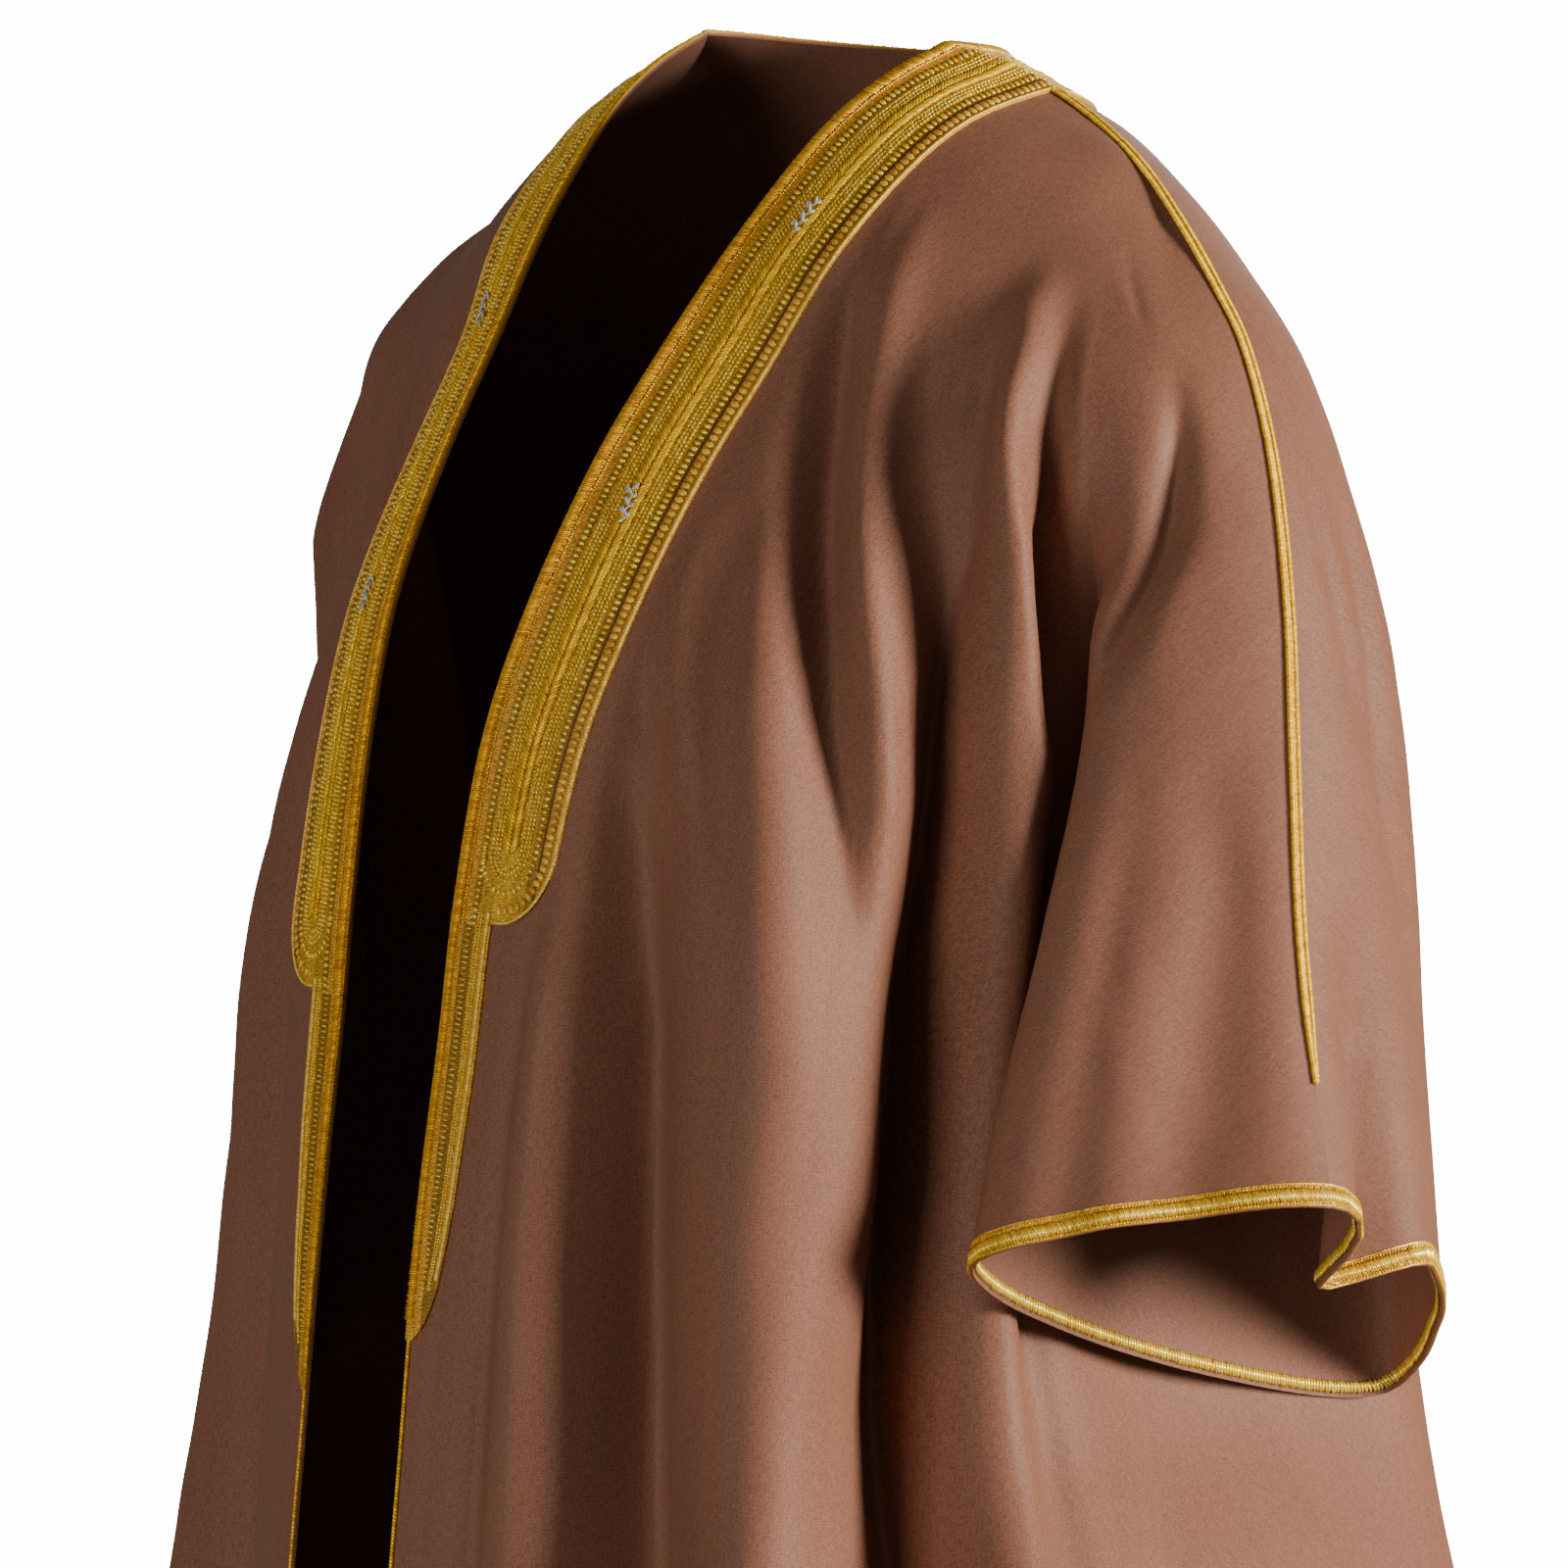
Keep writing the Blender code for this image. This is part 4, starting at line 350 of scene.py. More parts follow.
SLEEVE = (
    SleeveRow(37.4, 19.9, 0.5, 22.4, -9.9, 26.5, 8.5, 21.5, 10.8),
    SleeveRow(39.8, 20.6, 1.5, 22.9, -11.0, 26.7, 8.8, 21.4, 11.4),
)

# How far the sleeve hem hangs below its top at the pit, front, back and heel
PIT_HANG = 8.2
FORE_HANG = 2.3
REAR_HANG = 6.2
HEEL_HANG = 10.2

# How far the hem dips in the recess behind the seam, and where, measured from the seam
RECESS_DIP = 1.6
RECESS_PLACE = 4.2
RECESS_SPREAD = 2.4

FAR_SIDE = (
    FarRow(-1.2, 0.0, 0.0, 0.0, 0.0, 0.0),
    FarRow(5.0, 0.0, 0.0, 0.2, -0.2, 6.0),
    FarRow(10.0, -0.1, 0.0, 1.0, -0.6, 10.0),
    FarRow(16.0, -0.3, 0.0, 1.6, -0.6, 12.0),
    FarRow(20.0, -0.5, 0.0, 1.7, -0.4, 13.0),
    FarRow(24.0, -0.8, 0.4, 1.0, 0.2, 16.0),
    FarRow(30.0, -1.2, 1.0, 0.2, 1.4, 22.0),
    FarRow(42.0, -1.4, 1.0, -0.3, 2.0, 14.0),
    FarRow(60.0, -1.3, 0.3, 0.0, 0.0, 0.0),
    FarRow(142.0, -0.8, 0.0, 0.0, 0.0, 0.0),
)

# Share of the fall from edge to arm at each place along a level
FRONT_FALL = (0.0, 0.36, 0.50, 0.73, 0.93)
BACK_FALL = (0.15, 0.37, 0.58, 0.81, 1.0)

# Columns of the far side's table that move each station outward and backward
FAR_COLUMNS = {
    "edge": (1, 0),
    "chest": (1, 2),
    "fore": (3, 4),
    "seam": (3, 4),
    "rear": (3, 4),
    "heel": (0, 0),
}

# Folds of the left front, measured from its edge: one row of levels for each fold
FRONT_FOLDS = (
    fold(
        "chest hollow",
        (5.5, 4.8, 0.0, 0.9), (8.6, 6.0, -0.6, 1.0), (13.3, 8.5, -1.2, 1.1), (17.8, 10.9, -1.3, 1.2),
        (21.4, 13.0, -1.1, 1.2), (25.5, 14.8, -1.0, 1.5), (32.4, 17.3, -0.4, 1.8), (38.0, 18.0, 0.0, 1.8),
    ),
    fold(
        "chest crease",
        (5.0, 6.2, 0.0, 0.8), (7.9, 7.5, 0.4, 0.9), (11.6, 9.6, 0.7, 0.9), (16.6, 12.4, 0.9, 1.0),
        (20.2, 14.5, 0.9, 1.0), (22.7, 15.9, 0.8, 1.0), (27.0, 17.6, 0.3, 1.2), (31.0, 18.0, 0.0, 1.2),
    ),
    fold(
        "deep fold",
        (8.0, 9.6, 0.0, 1.4), (11.0, 11.0, -0.8, 1.5), (16.6, 14.6, -1.7, 1.6), (21.4, 17.2, -2.6, 1.6),
        (25.5, 18.9, -3.5, 1.6), (32.4, 20.1, -4.3, 1.7), (40.1, 20.7, -4.5, 1.8), (48.0, 20.0, -4.4, 2.5),
        (58.0, 20.4, -4.0, 3.3), (80.0, 22.0, -3.2, 3.8), (142.0, 27.5, -2.8, 4.4),
    ),
    fold(
        "shoulder crease",
        (8.0, 12.6, 0.0, 0.9), (11.0, 13.3, -0.7, 0.9), (16.6, 16.0, -0.9, 1.0), (20.5, 17.6, -0.6, 1.2),
        (24.0, 18.4, 0.0, 1.2),
    ),
    fold(
        "hanging fold",
        (5.5, 12.3, 0.0, 1.0), (7.7, 12.9, 0.5, 1.1), (10.4, 14.5, 1.0, 1.1), (12.7, 15.6, 1.3, 1.1),
        (16.7, 17.8, 1.4, 1.1), (20.2, 19.5, 1.4, 1.2), (24.0, 21.3, 1.2, 1.4), (32.4, 23.0, 0.6, 1.4),
        (42.0, 23.6, 0.3, 1.4), (60.0, 26.0, 1.2, 2.6), (142.0, 34.0, 2.4, 4.0),
    ),
    fold(
        "arm crease",
        (6.5, 14.2, 0.0, 0.8), (9.3, 15.6, -0.9, 0.9), (12.2, 16.9, -1.4, 0.9), (14.6, 18.1, -1.6, 0.9),
        (17.8, 20.0, -1.4, 1.0), (21.4, 21.9, -0.8, 1.1), (25.0, 23.4, 0.0, 1.2),
    ),
    fold(
        "front ridge",
        (10.0, 5.9, 0.0, 1.6), (17.8, 9.2, 0.5, 1.8), (25.5, 12.4, 1.0, 2.1), (35.0, 14.5, 1.3, 2.4),
        (42.0, 14.6, 1.5, 2.6), (54.0, 15.8, 1.7, 2.8), (80.0, 17.0, 2.0, 3.0), (142.0, 20.0, 2.4, 3.8),
    ),
    fold(
        "front hollow",
        (21.0, 5.4, 0.0, 1.4), (27.0, 7.4, -1.0, 1.9), (34.0, 8.6, -1.8, 2.2), (46.0, 9.4, -2.3, 2.4),
        (60.0, 10.4, -2.4, 2.8), (142.0, 13.0, -2.6, 3.4),
    ),
    fold(
        "edge ridge",
        (28.0, 5.4, 0.0, 1.0), (33.0, 5.1, 0.6, 1.1), (44.0, 5.4, 0.9, 1.3), (60.0, 5.8, 1.0, 1.6),
        (142.0, 6.4, 1.5, 2.6),
    ),
    fold(
        "side hollow",
        (52.0, 31.0, 0.0, 2.4), (64.0, 33.0, -1.6, 3.0), (142.0, 41.0, -2.6, 3.6),
    ),
)

# Folds of the right front, measured from its edge
FAR_FRONT_FOLDS = (
    fold(
        "band hollow",
        (8.0, 7.0, 0.0, 1.8), (16.0, 7.4, -0.3, 2.0), (24.0, 8.2, -0.7, 2.2), (32.0, 8.4, -1.0, 2.3),
        (38.0, 8.6, -0.9, 2.4), (48.0, 9.0, 0.0, 2.6),
    ),
    fold(
        "chest hollow",
        (7.0, 6.6, 0.0, 1.1), (14.0, 9.4, -0.9, 1.4), (24.0, 13.4, -0.9, 1.8), (34.0, 16.0, -0.3, 2.0),
        (40.0, 16.5, 0.0, 2.0),
    ),
    fold(
        "deep fold",
        (9.0, 12.0, 0.0, 1.6), (17.0, 15.2, -1.0, 1.8), (26.0, 18.6, -2.0, 1.9), (38.0, 20.6, -2.6, 2.0),
        (58.0, 21.6, -2.4, 3.0), (142.0, 26.0, -2.8, 4.2),
    ),
    fold(
        "hanging fold",
        (8.0, 14.0, 0.0, 1.3), (16.0, 18.3, 0.9, 1.4), (26.0, 21.8, 1.0, 1.6), (42.0, 23.8, 0.4, 1.6),
        (64.0, 27.0, 1.4, 2.8), (142.0, 33.0, 2.6, 4.0),
    ),
    fold(
        "front ridge",
        (16.0, 10.6, 0.0, 1.8), (28.0, 11.6, 0.8, 2.0), (44.0, 13.6, 1.2, 2.4), (80.0, 16.4, 1.8, 3.2),
        (142.0, 19.6, 2.4, 3.8),
    ),
    fold(
        "front hollow",
        (30.0, 7.6, 0.0, 1.8), (42.0, 8.6, -1.0, 2.2), (64.0, 10.0, -1.6, 2.8), (142.0, 12.6, -2.6, 3.4),
    ),
    fold(
        "side hollow",
        (54.0, 31.0, 0.0, 2.4), (70.0, 34.0, -1.8, 3.0), (142.0, 40.0, -2.6, 3.6),
    ),
)

# Folds over the front of the sleeve, measured from the shoulder seam
FRONT_SLEEVE_FOLDS = (
    fold(
        "upper arm crease",
        (10.0, 3.2, 0.0, 0.8), (13.0, 3.5, -0.4, 0.8), (16.0, 4.4, -0.6, 0.9), (19.5, 6.4, -0.5, 1.0),
        (22.0, 7.4, 0.0, 1.0),
    ),
    fold(
        "cuff hollow",
        (23.0, 3.2, 0.0, 1.4), (28.5, 2.9, -0.5, 1.5), (35.0, 4.0, -0.8, 1.9), (39.8, 5.6, -0.7, 2.4),
    ),
)

# Folds over the back of the sleeve, measured from the shoulder seam
BACK_SLEEVE_FOLDS = (
    fold(
        "cuff recess",
        (29.0, 2.6, 0.0, 1.3), (33.0, 3.0, -0.8, 1.4), (36.5, 3.8, -2.1, 1.6), (39.8, 4.4, -3.3, 1.7),
    ),
    fold(
        "elbow crease",
        (12.0, 3.4, 0.0, 0.9), (17.0, 4.2, -0.4, 0.9), (24.0, 5.6, -0.5, 1.1), (32.0, 7.4, -0.3, 1.2),
        (37.0, 9.0, 0.0, 1.2),
    ),
)

# Folds of each half of the back, measured from the centre
BACK_FOLDS = (
    fold(
        "centre hollow",
        (24.0, 3.4, 0.0, 2.4), (50.0, 4.0, -0.8, 2.8), (90.0, 4.8, -2.0, 3.2), (142.0, 5.4, -2.8, 3.8),
    ),
    fold(
        "blade ridge",
        (14.0, 9.4, 0.0, 2.4), (30.0, 9.8, 0.7, 2.6), (60.0, 11.0, 1.4, 3.0), (142.0, 14.5, 2.6, 4.2),
    ),
    fold(
        "arm hollow",
        (16.0, 14.0, 0.0, 1.6), (26.0, 14.8, -1.0, 1.8), (40.0, 15.6, -1.6, 2.0), (70.0, 18.6, -2.2, 3.0),
        (142.0, 24.0, -2.8, 4.0),
    ),
    fold(
        "side ridge",
        (44.0, 22.0, 0.0, 2.0), (70.0, 26.0, 1.4, 3.0), (142.0, 33.0, 2.4, 4.0),
    ),
)

FAR_BACK_FOLDS = (
    fold(
        "centre ridge",
        (20.0, 2.6, 0.0, 2.2), (46.0, 3.6, 0.7, 2.6), (100.0, 4.6, 1.8, 3.2), (142.0, 5.2, 2.4, 3.8),
    ),
    fold(
        "blade hollow",
        (18.0, 8.4, 0.0, 2.2), (36.0, 9.0, -0.9, 2.4), (70.0, 11.0, -1.8, 3.2), (142.0, 13.6, -2.6, 4.0),
    ),
    fold(
        "arm ridge",
        (16.0, 13.0, 0.0, 1.6), (30.0, 13.4, 0.5, 1.8), (48.0, 14.6, 0.5, 2.0), (66.0, 17.6, 1.4, 2.8),
        (142.0, 22.5, 2.4, 4.0),
    ),
    fold(
        "side hollow",
        (40.0, 20.0, 0.0, 2.0), (66.0, 25.0, -1.6, 3.0), (142.0, 32.0, -2.6, 4.0),
    ),
)

# Narrow creases that the solids leave to the cloth
FINE_FRONT_FOLDS = (
    fold(
        "dark trough",
        (24.0, 5.8, 0.0, 1.1), (28.0, 7.3, -0.6, 1.3), (34.0, 8.6, -1.1, 1.5), (46.0, 9.6, -1.4, 1.7),
        (60.0, 10.8, -1.2, 2.0), (142.0, 13.0, -1.0, 2.4),
    ),
    fold(
        "deep slit",
        (14.0, 13.2, 0.0, 0.6), (21.4, 17.2, -0.6, 0.9), (28.0, 19.8, -1.3, 1.1), (36.0, 21.2, -2.0, 1.3),
        (46.0, 21.2, -2.0, 1.5), (60.0, 21.0, -1.5, 1.8), (142.0, 27.4, -0.8, 2.0),
    ),
    fold(
        "band pull",
        (15.0, 5.4, 0.0, 0.5), (18.5, 6.0, 0.2, 0.6), (23.0, 8.0, 0.3, 0.7), (28.0, 10.2, 0.2, 0.8),
        (32.0, 11.6, 0.0, 0.8),
    ),
    fold(
        "band dip",
        (19.0, 5.2, 0.0, 0.5), (22.0, 5.8, -0.25, 0.6), (26.0, 8.8, -0.25, 0.7), (30.0, 10.4, 0.0, 0.7),
    ),
    fold(
        "edge nick",
        (29.0, 4.1, 0.0, 0.5), (34.0, 3.9, -0.3, 0.5), (42.0, 3.7, -0.45, 0.55), (52.0, 3.7, -0.5, 0.6),
        (142.0, 4.2, -0.5, 0.8),
    ),
    fold(
        "soft pull",
        (14.0, 6.4, 0.0, 0.6), (20.0, 8.7, -0.25, 0.7), (27.0, 11.2, -0.35, 0.7), (34.0, 12.5, 0.0, 0.8),
    ),
    fold(
        "thin crest",
        (4.4, 4.6, 0.0, 0.45), (6.0, 5.4, 0.2, 0.45), (9.7, 7.2, 0.25, 0.5), (12.5, 8.4, 0.0, 0.5),
    ),
    fold(
        "chest slit",
        (7.4, 5.6, 0.0, 0.5), (11.0, 7.4, -0.25, 0.55), (17.8, 10.9, -0.5, 0.6), (24.0, 14.1, -0.45, 0.65),
        (30.0, 16.6, -0.2, 0.7), (35.0, 17.4, 0.0, 0.8),
    ),
    fold(
        "shoulder slit",
        (9.6, 12.8, 0.0, 0.45), (13.0, 14.8, -0.35, 0.5), (17.0, 16.4, -0.4, 0.55), (21.0, 17.6, 0.0, 0.6),
    ),
    fold(
        "hanging crease",
        (18.6, 18.5, 0.0, 0.4), (21.0, 19.8, -0.22, 0.4), (25.0, 21.5, -0.25, 0.45), (28.4, 22.6, 0.0, 0.5),
    ),
    fold(
        "arm slit",
        (7.6, 14.4, 0.0, 0.5), (11.0, 16.5, -0.5, 0.5), (14.6, 18.3, -0.8, 0.55), (18.0, 20.1, -0.8, 0.6),
        (22.0, 22.1, -0.3, 0.6), (24.6, 23.2, 0.0, 0.6),
    ),
    fold(
        "arm lip",
        (9.6, 16.6, 0.0, 0.4), (13.0, 18.7, 0.3, 0.5), (17.0, 21.2, 0.4, 0.5), (21.0, 23.5, 0.25, 0.5),
        (24.4, 24.8, 0.0, 0.5),
    ),
    fold(
        "side valley",
        (25.4, 23.6, 0.0, 0.7), (29.0, 24.6, -0.5, 0.8), (36.0, 25.4, -0.8, 0.9), (44.0, 26.0, -0.9, 1.0),
        (56.0, 27.6, -0.7, 1.2), (78.0, 30.0, 0.0, 1.6),
    ),
)

FINE_FAR_FOLDS = (
    fold(
        "deep slit",
        (18.0, 15.8, 0.0, 0.7), (26.0, 18.6, -0.5, 0.9), (38.0, 20.6, -0.9, 1.0), (58.0, 21.6, -0.9, 1.4),
        (142.0, 26.0, -0.6, 1.8),
    ),
    fold(
        "dark trough",
        (27.0, 7.4, 0.0, 1.0), (42.0, 8.7, -0.4, 1.2), (64.0, 10.1, -0.7, 1.5), (142.0, 12.6, -0.6, 1.8),
    ),
    fold(
        "chest slit",
        (8.0, 7.0, 0.0, 0.5), (14.0, 9.6, -0.35, 0.6), (22.0, 13.0, -0.35, 0.7), (31.0, 15.6, 0.0, 0.8),
    ),
    fold(
        "arm slit",
        (9.0, 15.4, 0.0, 0.5), (14.0, 18.8, -0.5, 0.6), (20.0, 21.6, -0.6, 0.7), (27.0, 24.2, 0.0, 0.7),
    ),
)

FINE_SLEEVE_FOLDS = (
    fold(
        "upper pull",
        (10.0, 3.0, 0.0, 0.45), (12.6, 3.4, -0.25, 0.5), (15.0, 4.0, -0.35, 0.55), (18.0, 5.5, -0.35, 0.6),
        (20.4, 6.8, -0.2, 0.7), (23.0, 8.2, 0.0, 0.7),
    ),
    fold(
        "small nick",
        (6.4, 4.4, 0.0, 0.4), (7.8, 4.2, -0.2, 0.4), (9.6, 3.9, 0.0, 0.4),
    ),
    fold(
        "low pull",
        (24.0, 5.8, 0.0, 0.7), (29.0, 6.6, -0.2, 0.8), (36.0, 8.6, -0.3, 1.0), (39.8, 10.0, -0.3, 1.2),
    ),
)

FINE_BACK_SLEEVE_FOLDS = (
    fold(
        "back pull",
        (10.0, 0.8, 0.0, 0.4), (12.4, 1.2, -0.22, 0.45), (19.0, 2.6, -0.32, 0.55), (25.0, 4.3, -0.2, 0.6),
        (28.4, 5.2, 0.0, 0.6),
    ),
    fold(
        "outer pull",
        (13.6, 4.3, 0.0, 0.4), (16.6, 4.8, -0.25, 0.5), (26.0, 5.8, -0.25, 0.6), (31.0, 6.6, 0.0, 0.6),
    ),
)

FINE_BACK_FOLDS = (
    fold(
        "centre pull",
        (8.0, 2.2, 0.0, 0.7), (20.0, 3.0, -0.3, 0.8), (44.0, 3.8, -0.5, 1.0), (90.0, 4.6, -0.5, 1.6),
        (142.0, 5.4, -0.4, 2.0),
    ),
    fold(
        "blade pull",
        (7.0, 12.2, 0.0, 0.6), (13.0, 12.6, -0.3, 0.7), (22.0, 13.6, -0.5, 0.8), (38.0, 15.2, -0.7, 1.0),
        (60.0, 17.4, -0.6, 1.4), (110.0, 20.8, 0.0, 2.0),
    ),
    fold(
        "arm pull",
        (10.0, 16.0, 0.0, 0.6), (15.0, 16.8, -0.4, 0.7), (24.0, 17.8, -0.5, 0.8), (33.0, 18.6, 0.0, 0.9),
    ),
    fold(
        "low crest",
        (50.0, 8.0, 0.0, 1.0), (66.0, 8.6, 0.4, 1.2), (100.0, 9.6, 0.6, 1.6), (142.0, 11.0, 0.7, 2.0),
    ),
)


def smooth(value: Array, low: float, high: float) -> Array:
    """Rises softly from zero at low to one at high.

    Args:
        value: Numbers to read.
        low: Where the rise starts.
        high: Where the rise ends.

    Returns:
        Numbers from zero to one.
    """
    t = np.clip((np.asarray(value, float) - low) / (high - low), 0.0, 1.0)
    return t * t * (3.0 - 2.0 * t)


def unit(vectors: Array) -> Array:
    """Vectors of length one.

    Args:
        vectors: Vectors along the last axis.

    Returns:
        The same directions with length one.
    """
    return vectors / (np.linalg.norm(vectors, axis=-1, keepdims=True) + 1e-12)


def hermite(t: Array, start: Array, first: Array, end: Array, last: Array) -> Array:
    """A cubic between two points with set directions.

    Args:
        t: Place between the points, from zero to one.
        start: First point.
        first: Direction at the first point.
        end: Last point.
        last: Direction at the last point.

    Returns:
        Points of the cubic.
    """
    return (
        (2 * t**3 - 3 * t**2 + 1) * start
        + (t**3 - 2 * t**2 + t) * first
        + (3 * t**2 - 2 * t**3) * end
        + (t**3 - t**2) * last
    )


def along(points: Array, at: Array) -> Array:
    """Reads a soft curve through points.

    Args:
        points: Points of the curve.
        at: Whole and part numbers of points.

    Returns:
        Points of the curve at those numbers.
    """
    points = np.asarray(points, float)
    at = np.clip(np.asarray(at, float), 0.0, len(points) - 1.0)
    slopes = np.gradient(points, axis=0)
    low = np.minimum(at.astype(int), len(points) - 2)
    return hermite((at - low)[:, None], points[low], slopes[low], points[low + 1], slopes[low + 1])


def turn(before: Array, here: Array, after: Array) -> Array:
    """Direction of a level's curve at a station, from its neighbours.

    Args:
        before: Stations on one side.
        here: The stations.
        after: Stations on the other side.

    Returns:
        A direction for each station.
    """
    back = np.linalg.norm(here - before, axis=-1, keepdims=True) + 1e-9
    ahead = np.linalg.norm(after - here, axis=-1, keepdims=True) + 1e-9
    return ((here - before) / back * ahead + (after - here) / ahead * back) / (back + ahead)


def sweep(stations: tuple[Array, ...], tangents: tuple[Array, ...]) -> Array:
    """Curves through the stations of each level.

    Args:
        stations: One array of points for each station, a point for each level.
        tangents: The direction of the curve at each station.

    Returns:
        Points by level and place along it.
    """
    parts = []
    t = np.linspace(0.0, 1.0, SAMPLES + 1)[None, :, None]
    for i in range(len(stations) - 1):
        start, end = stations[i][:, None], stations[i + 1][:, None]
        span = np.linalg.norm(end - start, axis=-1, keepdims=True)
        part = hermite(t, start, tangents[i][:, None] * span, end, tangents[i + 1][:, None] * span)
        parts.append(part if i == len(stations) - 2 else part[:, :-1])
    return np.concatenate(parts, axis=1)


def read_by(at: Array, keys: Array, values: Array) -> Array:
    """Interpolates each column of values.

    Args:
        at: Where to read.
        keys: Rising places of the values.
        values: One row of values for each key.

    Returns:
        One row for each place read.
    """
    return np.stack([np.interp(at, keys, values[:, i]) for i in range(values.shape[1])], axis=1)


class Half:
    """The base form of one side of the robe, as stations that run down the cloth."""

    def __init__(self, side: int) -> None:
        """Sets up the station curves of one side.

        Args:
            side: 1 for the left side, -1 for the right side.
        """
        self.side = side
        steps = np.linspace(0, len(SEAM) - 1, 400)
        self.seam_dense = self.place(along(np.array([(p.x, p.y, -p.drop) for p in SEAM]), steps), "seam")
        front, back = np.array(FRONT), np.array(BACK)
        body, sleeve = np.array(BODY), np.array(SLEEVE)
        self.under = len(FRONT) - 1
        self.back_under = len(BACK) - 1
        self.front_drop = np.r_[front[:, 1], body[:, 0]]
        self.back_drop = np.r_[back[:, 0], body[:, 0]]
        self.sleeve_drop = np.r_[front[:, 1], sleeve[:, 0]]
        self.back_sleeve_drop = np.r_[back[:, 0], sleeve[:, 0]]
        fall = front[:, 0:1] + (front[:, 1:2] - front[:, 0:1]) * np.array(FRONT_FALL)
        top = [np.c_[front[:, 2 + 2 * i : 4 + 2 * i], -fall[:, i]] for i in range(5)]
        low = [np.c_[body[:, 1 + 2 * i : 3 + 2 * i], -body[:, 0]] for i in range(5)]
        reach = ((sleeve[:, 0] - UNDERARM_DROP) / (sleeve[-1, 0] - UNDERARM_DROP))[:, None]
        hang = sleeve[:, 0:1] + reach * np.array([PIT_HANG, FORE_HANG, REAR_HANG, HEEL_HANG])
        ring = [np.c_[sleeve[:, 1 + 2 * i : 3 + 2 * i], -hang[:, i]] for i in range(4)]
        back_fall = back[:, 0:1] + (back[:, 1:2] - back[:, 0:1]) * np.array(BACK_FALL)
        rear = [np.c_[back[:, 2 + 2 * i : 4 + 2 * i], -back_fall[:, i]] for i in range(4)]
        middle = np.c_[0 * back[:, 0], back[:, 10], -back_fall[:, 4]]
        low_middle = np.c_[0 * body[:, 0], body[:, 11], -body[:, 0]]
        mid = np.array([[UNDERARM_X, 0.0, -UNDERARM_DROP]])
        self.curves = {
            "edge": np.r_[top[0], low[0]],
            "chest": np.r_[top[1], low[1]],
            "lip": np.r_[top[2], low[2]],
            "valley": top[3],
            "fore": np.r_[top[4], ring[1]],
            "side": np.r_[mid, low[3]],
            "pit": np.r_[mid, ring[0]],
            "rear": np.r_[rear[0], ring[2]],
            "heel": np.r_[rear[1], ring[3]],
            "hollow": rear[2],
            "back_lip": np.r_[rear[3], low[4]],
            "centre": np.r_[middle, low_middle],
        }

    def place(self, points: Array, name: str) -> Array:
        """Turns centimetres of the left side into metres of this side.

        Args:
            points: Points in centimetres.
            name: The station that they belong to.

        Returns:
            Points in metres, with the right side's own set.
        """
        points = np.array(points, float)
        if self.side < 0:
            shift = np.array(FAR_SIDE)
            out, back = FAR_COLUMNS.get(name, (0, 0))
            falls = -points[..., 2]
            if out:
                points[..., 0] += np.interp(falls, shift[:, 0], shift[:, out])
            if back:
                points[..., 1] += np.interp(falls, shift[:, 0], shift[:, back])
        points[..., 0] *= self.side
        return points * CM

    def read(self, name: str, at: Array) -> Array:
        """Points of a station curve at row numbers."""
        return self.place(along(self.curves[name], at), name)

    def seam(self, drops: Array) -> Array:
        """Points of the shoulder seam at drops in centimetres."""
        return read_by(drops, -self.seam_dense[:, 2] / CM, self.seam_dense)

    def level(self, drops: Array, table: Array) -> Array:
        """Row numbers of a table of drops at these drops."""
        dense = np.linspace(0, len(table) - 1, 600)
        return np.interp(drops, along(np.asarray(table)[:, None], dense)[:, 0], dense)

    def drop(self, rows: Array, table: Array) -> Array:
        """Drops of a table at these row numbers."""
        return along(np.asarray(table)[:, None], rows)[:, 0]

    def apart(self, slope: float) -> Array:
        """An outward slope that opens the body and the sleeve from each other."""
        return np.array([self.side * slope, 0.0, 0.0])

    def free_end(self, first: Array, second: Array, inner: Array) -> Array:
        """Direction of a curve at a free edge.

        Args:
            first: Points of the edge.
            second: Points of the station beside it.
            inner: Direction of the curve at that station.

        Returns:
            A direction for each point, turned to the front on the right side.
        """
        start = 1.5 * unit(second - first) - 0.5 * inner
        if self.side < 0:
            shift = np.array(FAR_SIDE)
            turns = np.radians(np.interp(-first[:, 2] / CM, shift[:, 0], shift[:, 5]))
            ahead, aside = start[:, 0].copy(), start[:, 1].copy()
            start[:, 0] = ahead * np.cos(turns) - aside * np.sin(turns)
            start[:, 1] = ahead * np.sin(turns) + aside * np.cos(turns)
        return start

    def front_base(self, rows: Array) -> tuple[Array, Array]:
        """Base grids of a front.

        Args:
            rows: Row numbers of the front's tables.

        Returns:
            The body's grid and the sleeve's grid.
        """
        top = rows[rows <= self.under + 1e-9]
        names = ("edge", "chest", "lip", "valley", "fore")
        edge, chest, lip, valley, fore = (self.read(name, top) for name in names)
        seam = self.seam(self.drop(top, self.front_drop))
        level = self.level(self.drop(top, self.front_drop), self.back_drop)
        rear, heel, back_lip = (self.read(name, level) for name in ("rear", "heel", "back_lip"))
        split = smooth(top, 4.0, 7.5)[:, None]
        cross = smooth(top, 0.0, 1.5)[:, None]
        at_chest = turn(edge, chest, lip)
        through = turn(lip, valley, fore)
        to_body = through + (turn(lip, valley, back_lip) + self.apart(BODY_LEAN) - through) * split
        to_sleeve = through + (turn(heel, valley, fore) + self.apart(SLEEVE_LEAN) - through) * split
        outward = unit(seam - fore)
        at_seam = outward + (turn(fore, seam, rear) - outward) * cross
        start = self.free_end(edge, chest, at_chest)
        body = sweep((edge, chest, lip, valley), (start, at_chest, turn(chest, lip, valley), to_body))
        sleeve = sweep((valley, fore, seam), (to_sleeve, turn(valley, fore, seam), at_seam))
        self.lay_on_seam(body, sleeve)
        low = rows[rows > self.under + 1e-9]
